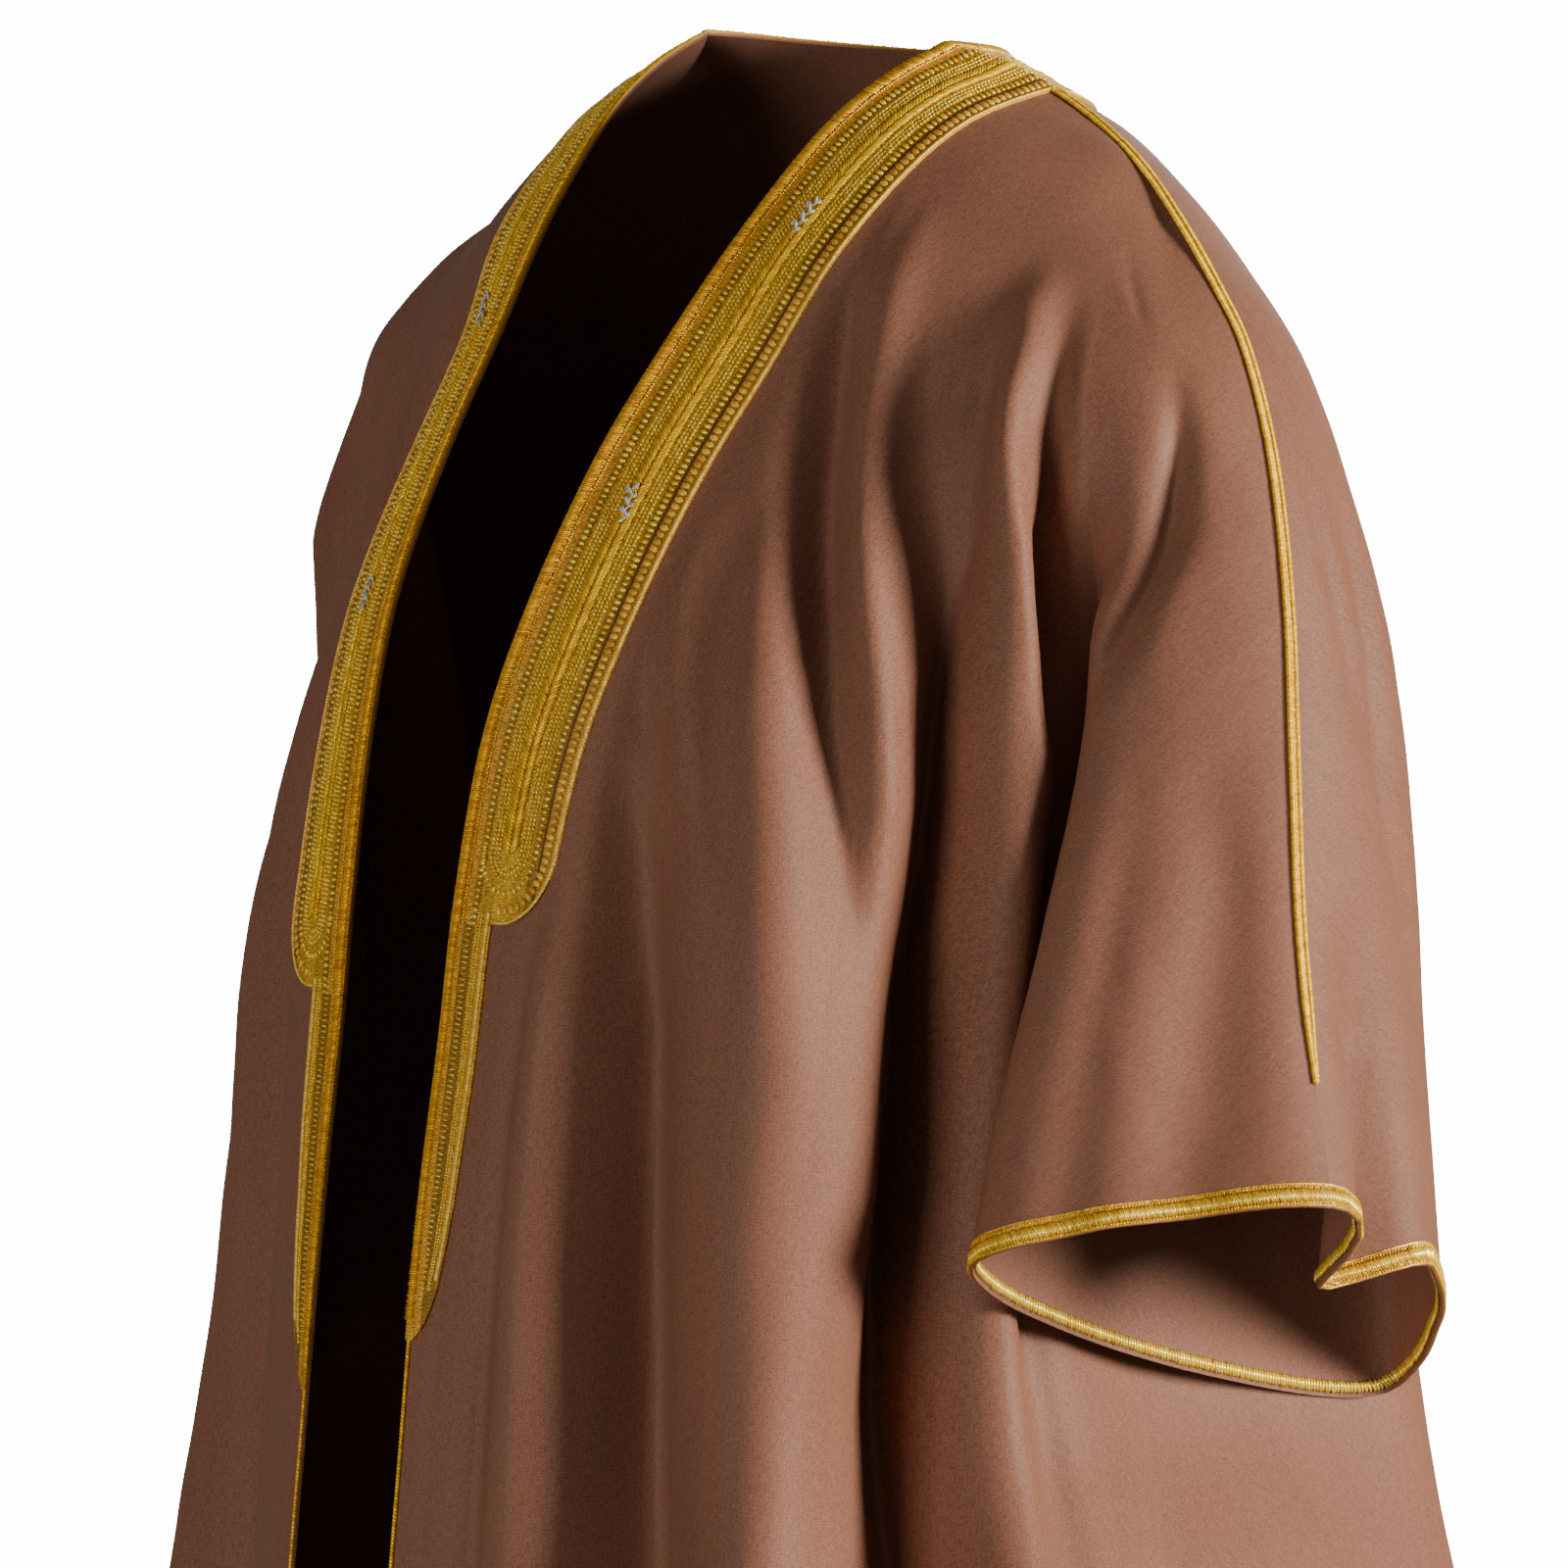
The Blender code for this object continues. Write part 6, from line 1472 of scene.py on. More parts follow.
class ClothPieces:
    """The three cloth pieces: two fronts and the back, each one with its half sleeves."""

    def __init__(self, left: Panels, right: Panels) -> None:
        """Keeps the grids of both sides.

        Args:
            left: Grids of the left side.
            right: Grids of the right side.
        """
        self.sides = (left, right)
        self.front_normals: dict[int, Array] = {}
        self.neck_normals: dict[int, tuple[Array, Array]] = {}
        self.cuff_normals: dict[int, tuple[Array, Array]] = {}

    def seam_normals(self, panels: Panels) -> tuple[Array, Array, Array, Array]:
        """Normals that the front and the back share along their seams.

        Args:
            panels: Grids of one side.

        Returns:
            Drops of the shoulder seam, its normals, those of the side seam and of the underarm seam.
        """
        side = panels.side
        body, sleeve = panels.body.points, panels.sleeve.points
        border = np.r_[body[0], sleeve[0, 1:], sleeve[1:, -1]]
        inner = np.r_[body[5], sleeve[5, 1:], sleeve[1:, -4]]
        line = unit(np.gradient(border, axis=0))
        across = np.cross(unit(inner - border), line) * side
        sure = np.linalg.norm(across, axis=1) > 0.45
        back = panels.back_sleeve.points
        behind = np.cross(unit(np.gradient(back[:, 0], axis=0)), unit(back[:, 3] - back[:, 0])) * side
        falls = -border[:, 2]
        front = read_by(falls, falls[sure], unit(across[sure]))
        shared = front + read_by(falls, -back[:, 0, 2], unit(behind))
        for _ in range(24):
            shared[1:-1] = 0.25 * shared[:-2] + 0.5 * shared[1:-1] + 0.25 * shared[2:]
        low, back_low = panels.turn, panels.back_turn
        rest = column_normals(body[low:], panels.back_body.points[back_low:], side)
        count = len(sleeve) - low
        pit = column_normals(back[back_low:], sleeve[low:], side)
        return falls, unit(shared), rest, pit[:count]

    def build_front(self, panels: Panels, finish: bpy.types.Material) -> bpy.types.Object:
        """One front with the front of its half sleeve.

        Args:
            panels: Grids of one side.
            finish: The cloth.

        Returns:
            The object.
        """
        body, sleeve, turn_row = panels.body, panels.sleeve, panels.turn
        flip = panels.side > 0
        skin = Skin()
        weave = np.stack([body.across, body.down], axis=-1)
        index = skin.add(body.points, weave, flip=flip)
        width = body.across[: len(sleeve.points), -1:] + sleeve.across[:, :1] - sleeve.across
        weave = np.stack([width, sleeve.down], axis=-1)
        taken = (np.s_[: turn_row + 1, 0], index[: turn_row + 1, -1])
        ring = skin.add(sleeve.points, weave, taken, flip)
        _, seam, rest, pit = self.seam_normals(panels)
        hinge = column_normals(body.points[: turn_row + 1], sleeve.points[: turn_row + 1], panels.side)
        skin.set_normals.update(zip(ring[: turn_row + 1, 0].tolist(), hinge))
        border = np.r_[index[0], ring[0, 1:], ring[1:, -1]]
        skin.set_normals.update(zip(border.tolist(), seam))
        skin.set_normals.update(zip(index[turn_row + 1 :, -1].tolist(), rest[1:]))
        skin.set_normals.update(zip(ring[turn_row + 1 :, 0].tolist(), pit[1:]))
        normals = skin.normals()
        self.front_normals[panels.side] = normals[index]
        self.cuff_normals[panels.side] = (normals[ring], normals[ring])
        name = "front_left_cloth" if panels.side > 0 else "front_right_cloth"
        return skin.object(name, -CLOTH / 2, CLOTH / 2, finish)

    def build_back(self, finish: bpy.types.Material) -> bpy.types.Object:
        """The whole back with the backs of both half sleeves.

        Args:
            finish: The cloth.

        Returns:
            The object.
        """
        skin = Skin()
        middle = None
        places = []
        for panels in self.sides:
            turn_row, flip = panels.back_turn, panels.side > 0
            body, sleeve = panels.back_body, panels.back_sleeve
            weave = np.stack([panels.side * body.across, body.down], axis=-1)
            shared = None if middle is None else (np.s_[:, -1], middle)
            index = skin.add(body.points, weave, shared, flip)
            middle = index[:, -1]
            width = body.across[: len(sleeve.points), :1] + sleeve.across[:, -1:] - sleeve.across
            weave = np.stack([panels.side * width, sleeve.down], axis=-1)
            ring = skin.add(sleeve.points, weave, (np.s_[: turn_row + 1, -1], index[: turn_row + 1, 0]), flip)
            falls, seam, rest, pit = self.seam_normals(panels)
            hinge = column_normals(sleeve.points[: turn_row + 1], body.points[: turn_row + 1], panels.side)
            skin.set_normals.update(zip(index[: turn_row + 1, 0].tolist(), hinge))
            skin.set_normals.update(zip(ring[:, 0].tolist(), read_by(-sleeve.points[:, 0, 2], falls, seam)))
            skin.set_normals.update(zip(index[turn_row + 1 :, 0].tolist(), rest[1:]))
            skin.set_normals.update(zip(ring[turn_row + 1 :, -1].tolist(), pit[1:]))
            places.append((panels.side, index, ring))
        normals = skin.normals()
        for side, index, ring in places:
            self.neck_normals[side] = (normals[ring], normals[index])
            self.cuff_normals[side] = (self.cuff_normals[side][0], normals[ring])
        return skin.object("back_cloth", -CLOTH / 2, CLOTH / 2, finish)


@dataclass(frozen=True)
class Value:
    """One number of a shader, with arithmetic that adds the nodes for it."""

    graph: "Graph"
    socket: bpy.types.NodeSocket

    def _with(self, operation: str, first: object, second: object) -> "Value":
        """A Math node on two numbers."""
        node = self.graph.node("ShaderNodeMath", {"operation": operation}, {0: first, 1: second})
        return Value(self.graph, node.outputs[0])

    def __add__(self, other: object) -> "Value":
        """Sum."""
        return self._with("ADD", self, other)

    def __radd__(self, other: object) -> "Value":
        """Sum with a plain number first."""
        return self._with("ADD", other, self)

    def __sub__(self, other: object) -> "Value":
        """Difference."""
        return self._with("SUBTRACT", self, other)

    def __rsub__(self, other: object) -> "Value":
        """Difference with a plain number first."""
        return self._with("SUBTRACT", other, self)

    def __mul__(self, other: object) -> "Value":
        """Product."""
        return self._with("MULTIPLY", self, other)

    def __rmul__(self, other: object) -> "Value":
        """Product with a plain number first."""
        return self._with("MULTIPLY", other, self)

    def __truediv__(self, other: object) -> "Value":
        """Quotient."""
        return self._with("DIVIDE", self, other)

    def __rtruediv__(self, other: object) -> "Value":
        """Quotient with a plain number first."""
        return self._with("DIVIDE", other, self)

    def __pow__(self, other: object) -> "Value":
        """Power."""
        return self._with("POWER", self, other)

    def sine(self) -> "Value":
        """Sine of the number."""
        return self._with("SINE", self, 0.0)

    def clamped(self, low: float, high: float) -> "Value":
        """The number spread from low..high to 0..1, softly.

        Args:
            low: What becomes 0.
            high: What becomes 1.

        Returns:
            The new number.
        """
        node = self.graph.node(
            "ShaderNodeMapRange",
            {"interpolation_type": "SMOOTHSTEP"},
            {"Value": self, "From Min": low, "From Max": high},
        )
        return Value(self.graph, node.outputs[0])


class Graph:
    """The node tree of one material."""

    def __init__(self, name: str) -> None:
        """Starts an empty material.

        Args:
            name: Name of the material.
        """
        self.material = bpy.data.materials.new(name)
        self.material.use_nodes = True
        self.tree = self.material.node_tree
        self.tree.nodes.clear()

    def node(
        self, kind: str, settings: dict[str, object] | None = None, sockets: dict | None = None
    ) -> bpy.types.Node:
        """Adds a node.

        Args:
            kind: Its type.
            settings: Its properties.
            sockets: Values or links of its inputs.

        Returns:
            The node.
        """
        made = self.tree.nodes.new(kind)
        for key, value in (settings or {}).items():
            setattr(made, key, value)
        for key, value in (sockets or {}).items():
            socket = made.inputs[key]
            value = value.socket if isinstance(value, Value) else value
            if isinstance(value, bpy.types.NodeSocket):
                self.tree.links.new(value, socket)
            else:
                socket.default_value = value
        return made

    def noise(
        self, place: bpy.types.NodeSocket, scale: float, detail: float = 2.0, rough: float = 0.5
    ) -> Value:
        """Noise read at a place."""
        sockets = {"Vector": place, "Scale": scale, "Detail": detail, "Roughness": rough}
        return Value(self, self.node("ShaderNodeTexNoise", {}, sockets).outputs["Fac"])

    def stretched(self, place: bpy.types.NodeSocket, factors: Triple) -> bpy.types.NodeSocket:
        """A place with each of its numbers multiplied."""
        node = self.node("ShaderNodeVectorMath", {"operation": "MULTIPLY"}, {0: place, 1: factors})
        return node.outputs[0]

    def grain(
        self, place: bpy.types.NodeSocket, factors: Triple, detail: float = 2.0, rough: float = 0.5
    ) -> Value:
        """Noise with its own number of grains to the metre along each axis."""
        return self.noise(self.stretched(place, factors), 1.0, detail, rough)

    def blend(self, amount: object, first: object, second: object, mode: str = "MIX") -> bpy.types.NodeSocket:
        """Two colours mixed.

        Args:
            amount: Share of the second.
            first: First colour.
            second: Second colour.
            mode: How they are mixed.

        Returns:
            The colour's socket.
        """
        settings = {"data_type": "RGBA", "blend_type": mode}
        return self.node("ShaderNodeMix", settings, {0: amount, 6: first, 7: second}).outputs[2]

    def surface(
        self, sockets: dict[str, object], bump: list[tuple[Value, float, float]]
    ) -> bpy.types.Material:
        """Ends the material in one Principled surface.

        Args:
            sockets: Inputs of the surface.
            bump: Heights with their strength and depth in metres.

        Returns:
            The material.
        """
        normal = None
        for height, strength, depth in bump:
            given = {"Height": height, "Strength": strength, "Distance": depth}
            given |= {} if normal is None else {"Normal": normal}
            normal = self.node("ShaderNodeBump", {}, given).outputs[0]
        wanted = dict(sockets) | ({} if normal is None else {"Normal": normal})
        shader = self.node("ShaderNodeBsdfPrincipled", {}, wanted)
        self.node("ShaderNodeOutputMaterial", {}, {"Surface": shader.outputs[0]})
        return self.material


Colour = tuple[float, float, float, float]


@dataclass(frozen=True)
class SatinTwill:
    """Brown satin twill: fine diagonal wales, grain of uneven threads and a soft sheen."""

    name: str = "brown_satin_twill"
    light: Colour = (0.285, 0.122, 0.072, 1.0)
    dark: Colour = (0.134, 0.053, 0.030, 1.0)
    pitch: float = 0.0011

    def build(self) -> bpy.types.Material:
        """Makes the material.

        Returns:
            The material.
        """
        graph = Graph(self.name)
        place = graph.node("ShaderNodeUVMap", {"uv_map": "UVMap"}).outputs[0]
        parts = graph.node("ShaderNodeSeparateXYZ", {}, {0: place})
        across, down = Value(graph, parts.outputs[0]), Value(graph, parts.outputs[1])
        wander = graph.grain(place, (60.0, 60.0, 1.0), 2.0)
        wales = ((across + 0.75 * down) * (2 * np.pi / self.pitch) + 3.0 * wander).sine() * 0.5 + 0.5
        threads = graph.grain(place, (2100.0, 260.0, 1.0), 2.0, 0.6)
        picks = graph.grain(place, (420.0, 1700.0, 1.0), 2.0, 0.6)
        grain = graph.grain(place, (1500.0, 1500.0, 1.0), 3.0, 0.7)
        patches = graph.grain(place, (24.0, 9.0, 1.0), 3.0)
        streaks = graph.grain(place, (170.0, 3.0, 1.0), 2.0)
        mottle = 0.46 * grain + 0.24 * threads + 0.22 * picks + 0.03 * wales + 0.05 * streaks
        shade = (mottle + 0.07 * (patches - 0.5)).clamped(0.36, 0.62)
        colour = graph.blend(shade, self.dark, self.light)
        rough = 0.50 + 0.10 * grain + 0.05 * (1.0 - shade)
        height = 0.55 * grain + 0.15 * wales + 0.30 * picks
        sockets = {
            "Base Color": colour,
            "Roughness": rough,
            "Sheen Weight": 0.06,
            "Sheen Roughness": 0.45,
            "Sheen Tint": (0.80, 0.50, 0.34, 1.0),
            "Specular IOR Level": 0.24,
            "Specular Tint": (1.0, 0.90, 0.80, 1.0),
        }
        return graph.surface(sockets, [(height, 0.35, 0.0004)])


@dataclass(frozen=True)
class GoldThread:
    """Metallic gold sewing thread, a little different from stitch to stitch."""

    name: str
    light: Colour
    dark: Colour
    metal: float = 0.45
    rough: float = 0.34

    def build(self) -> bpy.types.Material:
        """Makes the material.

        Returns:
            The material.
        """
        graph = Graph(self.name)
        tone = graph.node("ShaderNodeAttribute", {"attribute_name": "tone"}).outputs["Fac"]
        place = graph.node("ShaderNodeTexCoord").outputs["Object"]
        fibre = graph.grain(place, (900.0, 900.0, 900.0), 2.0, 0.6)
        worn = graph.grain(place, (55.0, 55.0, 55.0), 2.0)
        share = (0.55 * Value(graph, tone) + 0.25 * fibre + 0.20 * worn).clamped(0.20, 0.62)
        colour = graph.blend(share, self.dark, self.light)
        rough = self.rough + 0.16 * (1.0 - share) + 0.06 * fibre
        sockets = {"Base Color": colour, "Roughness": rough, "Metallic": self.metal}
        return graph.surface(sockets, [(fibre, 0.25, 0.0003)])


@dataclass(frozen=True)
class LaidGold:
    """The flat laid ground under the stitches, coloured in strips by distance from the edge, with painted shade under
    the ladder rows, a painted shadow in a groove, and painted shade and glints along its threads.
    """

    name: str = "laid_gold_ground"
    strips: tuple[tuple[float, float, Colour], ...] = (
        (0.0000, 0.0056, (0.66, 0.32, 0.013, 1.0)),
        (0.0056, 0.0096, (0.74, 0.34, 0.025, 1.0)),
        # painted shade in the holes between the inner ladder's beads
        (0.0096, 0.0134, (0.36, 0.18, 0.009, 1.0)),
        (0.0134, 0.0200, (0.61, 0.33, 0.013, 1.0)),
        (0.0200, 0.0274, (0.76, 0.41, 0.016, 1.0)),
        (0.0274, 0.0338, (0.61, 0.33, 0.013, 1.0)),
        # painted shade in the holes between the outer ladder's beads
        (0.0338, 0.0376, (0.36, 0.18, 0.009, 1.0)),
        # painted shadow in the thin groove between the outer ladder and the blocks
        (0.0376, 0.0387, (0.13, 0.05, 0.005, 1.0)),
        (0.0387, 0.0431, (0.50, 0.24, 0.022, 1.0)),
        (0.0431, 0.0590, (0.83, 0.43, 0.054, 1.0)),
        (0.0590, 0.0648, (0.66, 0.32, 0.013, 1.0)),
        (0.0648, 0.0668, (0.74, 0.34, 0.025, 1.0)),
        # painted shade in the holes between the narrow band's ladder beads
        (0.0668, 0.0722, (0.32, 0.16, 0.008, 1.0)),
        (0.0722, 0.0770, (0.64, 0.32, 0.020, 1.0)),
        (0.0770, 0.0850, (0.85, 0.46, 0.054, 1.0)),
        (0.0850, 0.1100, (0.74, 0.39, 0.018, 1.0)),
    )

    def build(self) -> bpy.types.Material:
        """Makes the material.

        Returns:
            The material.
        """
        graph = Graph(self.name)
        place = graph.node("ShaderNodeUVMap", {"uv_map": "UVMap"}).outputs[0]
        parts = graph.node("ShaderNodeSeparateXYZ", {}, {0: place})
        across = Value(graph, parts.outputs[1])
        colour: object = self.strips[0][2]
        for low, _, shade in self.strips[1:]:
            colour = graph.blend(across.clamped(low - 0.0002, low + 0.0002), colour, shade)
        threads = graph.grain(place, (2600.0, 420.0, 1.0), 2.0, 0.6)
        worn = graph.grain(place, (90.0, 90.0, 1.0), 3.0)
        # Painted shade between the threads and painted glints on them, multiplied into the ground's colour.
        painted_thread_light = graph.blend(threads.clamped(0.35, 0.68), (0.26, 0.23, 0.20, 1.0), (1.75, 1.75, 1.5, 1.0))
        ground_with_painted_light = graph.blend(0.75, colour, painted_thread_light, "MULTIPLY")
        sockets = {
            "Base Color": ground_with_painted_light,
            "Roughness": 0.36 + 0.18 * worn,
            "Metallic": 0.34,
        }
        return graph.surface(sockets, [(threads, 0.45, 0.0004)])


@dataclass(frozen=True)
class Floor:
    """A plain pale studio floor."""

    name: str = "studio_floor"
    colour: Colour = (0.80, 0.79, 0.775, 1.0)
    glow: float = 15.0

    def build(self) -> bpy.types.Material:
        """Makes the material.

        Returns:
            The material.
        """
        graph = Graph(self.name)
        place = graph.node("ShaderNodeTexCoord").outputs["Object"]
        soft = graph.noise(place, 0.35, 3.0)
        colour = graph.blend(0.15 * soft, self.colour, (0.74, 0.73, 0.72, 1.0))
        sockets = {
            "Base Color": colour,
            "Roughness": 0.75 + 0.1 * soft,
            "Emission Color": (1.0, 0.99, 0.98, 1.0),
            "Emission Strength": self.glow,
        }
        return graph.surface(sockets, [])


class Golds:
    """Every thread finish of the gold work."""

    def __init__(self) -> None:
        """Makes the finishes."""
        self.ground = LaidGold().build()
        deep = GoldThread(
            "deep_gold_thread", (1.00, 0.55, 0.010, 1.0), (0.66, 0.29, 0.006, 1.0), 0.42, 0.32
        )
        bright = GoldThread(
            "bright_gold_thread", (1.00, 0.74, 0.095, 1.0), (0.84, 0.46, 0.014, 1.0), 0.45, 0.22
        )
        middle = GoldThread(
            "middle_gold_thread", (1.00, 0.63, 0.018, 1.0), (0.72, 0.37, 0.008, 1.0), 0.42, 0.27
        )
        tan = GoldThread("tan_gold_thread", (0.96, 0.54, 0.050, 1.0), (0.60, 0.29, 0.018, 1.0), 0.20, 0.34)
        pale = GoldThread(
            "pale_gold_thread", (1.00, 0.68, 0.110, 1.0), (0.80, 0.44, 0.040, 1.0), 0.25, 0.28
        )
        self.deep = deep.build()
        self.bright = bright.build()
        self.mid = middle.build()
        self.tan = tan.build()
        self.pale = pale.build()


@dataclass(frozen=True)
class TackThread:
    """Loose grey-white basting thread."""

    name: str = "grey_tack_thread"
    light: Colour = (0.66, 0.64, 0.60, 1.0)
    dark: Colour = (0.36, 0.34, 0.33, 1.0)

    def build(self) -> bpy.types.Material:
        """Makes the material.

        Returns:
            The material.
        """
        graph = Graph(self.name)
        place = graph.node("ShaderNodeTexCoord").outputs["Object"]
        fibre = graph.grain(place, (1200.0, 1200.0, 1200.0), 2.0, 0.6)
        colour = graph.blend(fibre.clamped(0.3, 0.7), self.dark, self.light)
        return graph.surface({"Base Color": colour, "Roughness": 0.62 + 0.1 * fibre}, [(fibre, 0.4, 0.0003)])


class StitchForm(Enum):
    """What one stitch or bead is made from: segments and rings of its low sphere."""

    BEAD = (7, 5)
    BAR = (6, 4)
    FINE = (5, 3)


@dataclass(frozen=True)
class Stitch:
    """One kind of stitch: its sizes in metres, its lean in radians and how it repeats.

    Length runs along the path, width across it. Swing turns the lean over from stitch to stitch.
    """

    spacing: float
    length: float
    width: float
    height: float
    lean: float = 0.0
    swing: float = 0.0
    scatter: float = 0.12
    form: StitchForm = StitchForm.BAR
    seed: int = 1


class Sewing:
    """A Geometry Nodes tree that sews stitches along guide lines on the cloth."""

    SIZES = ("Spacing", "Length", "Width", "Height", "Lean", "Swing", "Scatter")

    def __init__(self) -> None:
        """Starts with no trees made."""
        self.trees: dict[StitchForm, bpy.types.NodeTree] = {}

    def tree(self, form: StitchForm) -> bpy.types.NodeTree:
        """The tree for one form of stitch, made when first asked for.

        Args:
            form: The form of the stitch.

        Returns:
            A tree with named inputs for the sizes.
        """
        if form in self.trees:
            return self.trees[form]
        tree = bpy.data.node_groups.new("sewn_" + form.name.lower(), "GeometryNodeTree")
        face = tree.interface
        face.new_socket("Geometry", in_out="INPUT", socket_type="NodeSocketGeometry")
        for size in self.SIZES:
            face.new_socket(size, in_out="INPUT", socket_type="NodeSocketFloat")
        face.new_socket("Seed", in_out="INPUT", socket_type="NodeSocketInt")
        face.new_socket("Finish", in_out="INPUT", socket_type="NodeSocketMaterial")
        face.new_socket("Geometry", in_out="OUTPUT", socket_type="NodeSocketGeometry")
        nodes, links = tree.nodes, tree.links

        def node(kind: str, settings: dict | None = None, **values: object) -> bpy.types.Node:
            """Adds a node with its settings, then sets or links its inputs by name.

            Args:
                kind: Its type.
                settings: Its properties.
                values: Values or links by input name.

            Returns:
                The node.
            """
            made = nodes.new(kind)
            for key, value in (settings or {}).items():
                setattr(made, key, value)
            for key, value in values.items():
                names = [s for s in made.inputs if s.enabled and s.name == key.replace("_", " ")]
                socket = names[0] if names else made.inputs[int(key[1:])]
                if isinstance(value, bpy.types.NodeSocket):
                    links.new(value, socket)
                else:
                    socket.default_value = value
            return made

        given = nodes.new("NodeGroupInput").outputs
        curve = node("GeometryNodeMeshToCurve", Mesh=given["Geometry"])
        evenly = node("GeometryNodeResampleCurve", {"mode": "LENGTH"}, Curve=curve.outputs[0])
        links.new(given["Spacing"], evenly.inputs["Length"])
        normal = node("GeometryNodeInputNamedAttribute", {"data_type": "FLOAT_VECTOR"}, Name="facing")
        tangent = node("GeometryNodeInputTangent")
        axes = node("FunctionNodeAxesToRotation", {"primary_axis": "Z", "secondary_axis": "X"})
        links.new(normal.outputs[0], axes.inputs[0])
        links.new(tangent.outputs[0], axes.inputs[1])
        number = node("GeometryNodeInputIndex")
        odd = node("ShaderNodeMath", {"operation": "MODULO"}, i0=number.outputs[0], i1=2.0)
        sign = node("ShaderNodeMath", {"operation": "MULTIPLY"}, i0=odd.outputs[0], i1=given["Swing"])
        floats = {"data_type": "FLOAT"}
        jitter = node("FunctionNodeRandomValue", floats, Min=-0.12, Max=0.12, Seed=given["Seed"])
        lean = node("ShaderNodeMath", {"operation": "ADD"}, i0=given["Lean"], i1=sign.outputs[0])
        leaning = node("ShaderNodeMath", {"operation": "ADD"}, i0=lean.outputs[0], i1=jitter.outputs["Value"])
        euler = node("ShaderNodeCombineXYZ", Z=leaning.outputs[0])
        turned = node("FunctionNodeEulerToRotation", i0=euler.outputs[0])
        rotation = node("FunctionNodeRotateRotation", {"rotation_space": "LOCAL"})
        links.new(axes.outputs[0], rotation.inputs[0])
        links.new(turned.outputs[0], rotation.inputs[1])
        size = node("ShaderNodeCombineXYZ", X=given["Length"], Y=given["Width"], Z=given["Height"])
        least = node("ShaderNodeMath", {"operation": "SUBTRACT"}, i0=1.0, i1=given["Scatter"])
        most = node("ShaderNodeMath", {"operation": "ADD"}, i0=1.0, i1=given["Scatter"])
        vary = node("FunctionNodeRandomValue", {"data_type": "FLOAT"})
        links.new(least.outputs[0], [s for s in vary.inputs if s.enabled and s.name == "Min"][0])
        links.new(most.outputs[0], [s for s in vary.inputs if s.enabled and s.name == "Max"][0])
        scaled = node("ShaderNodeVectorMath", {"operation": "SCALE"}, i0=size.outputs[0])
        links.new([s for s in vary.outputs if s.enabled][0], scaled.inputs["Scale"])
        segments, rings = form.value
        ball = node("GeometryNodeMeshUVSphere", Segments=segments, Rings=rings, Radius=0.5)
        placed = node("GeometryNodeInstanceOnPoints", Points=evenly.outputs[0], Instance=ball.outputs[0])
        links.new(rotation.outputs[0], placed.inputs["Rotation"])
        links.new(scaled.outputs[0], placed.inputs["Scale"])
        tone = node("FunctionNodeRandomValue", {"data_type": "FLOAT"}, Min=0.0, Max=1.0, Seed=17)
        stored = {"data_type": "FLOAT", "domain": "INSTANCE"}
        kept = node("GeometryNodeStoreNamedAttribute", stored, Name="tone")
        links.new(placed.outputs[0], kept.inputs["Geometry"])
        sources = [s for s in tone.outputs if s.enabled]
        targets = [s for s in kept.inputs if s.enabled and s.name == "Value"]
        links.new(sources[0], targets[0])
        real = node("GeometryNodeRealizeInstances", Geometry=kept.outputs[0])
        soft = node("GeometryNodeSetShadeSmooth", i0=real.outputs[0])
        dressed = node("GeometryNodeSetMaterial", i0=soft.outputs[0])
        links.new(given["Finish"], dressed.inputs["Material"])
        out = nodes.new("NodeGroupOutput")
        links.new(dressed.outputs[0], out.inputs[0])
        self.trees[form] = tree
        return tree

    def sew(
        self, name: str, lines: list[Line], stitch: Stitch, finish: bpy.types.Material
    ) -> bpy.types.Object:
        """Sews one kind of stitch along lines and turns the result into a plain mesh.

        Args:
            name: Name of the finished object.
            lines: Points and normals of each line, in metres.
            stitch: The stitch.
            finish: Its material.

        Returns:
            The object, linked to the scene.
        """
        lines = [line for line in lines if len(line[0]) > 1]
        points = np.concatenate([line[0] for line in lines])
        facings = np.concatenate([line[1] for line in lines])
        edges, start = [], 0
        for line in lines:
            numbers = np.arange(start, start + len(line[0]))
            edges.append(np.stack([numbers[:-1], numbers[1:]], axis=1))
            start += len(line[0])
        guide = bpy.data.meshes.new(name + "_guide")
        guide.from_pydata(points.tolist(), np.concatenate(edges).tolist(), [])
        facing_layer = guide.attributes.new("facing", "FLOAT_VECTOR", "POINT")
        facing_layer.data.foreach_set("vector", np.ascontiguousarray(facings, np.float32).ravel())
        holder = bpy.data.objects.new(name + "_guide", guide)
        bpy.context.scene.collection.objects.link(holder)
        tree = self.tree(stitch.form)
        modifier = holder.modifiers.new("sewing", "NODES")
        modifier.node_group = tree
        values = (stitch.spacing, stitch.length, stitch.width, stitch.height)
        values += (stitch.lean, stitch.swing, stitch.scatter)
        wanted = dict(zip(self.SIZES, values)) | {"Seed": stitch.seed, "Finish": finish}
        for item in tree.interface.items_tree:
            if item.in_out == "INPUT" and item.name in wanted:
                modifier[item.identifier] = wanted[item.name]
        graph = bpy.context.evaluated_depsgraph_get()
        mesh = bpy.data.meshes.new_from_object(holder.evaluated_get(graph), depsgraph=graph)
        holder.modifiers.clear()
        bpy.data.objects.remove(holder, do_unlink=True)
        mesh.name = name
        made = bpy.data.objects.new(name, mesh)
        bpy.context.scene.collection.objects.link(made)
        if not mesh.materials:
            mesh.materials.append(finish)
        return made


def joined(name: str, parts: list[bpy.types.Object]) -> bpy.types.Object:
    """Joins finished objects into one piece.

    Args:
        name: Name of the piece.
        parts: The objects, all at the origin.

    Returns:
        The joined object.
    """
    first = parts[0]
    with bpy.context.temp_override(active_object=first, selected_editable_objects=parts):
        bpy.ops.object.join()
    first.name = name
    first.data.name = name
    return first


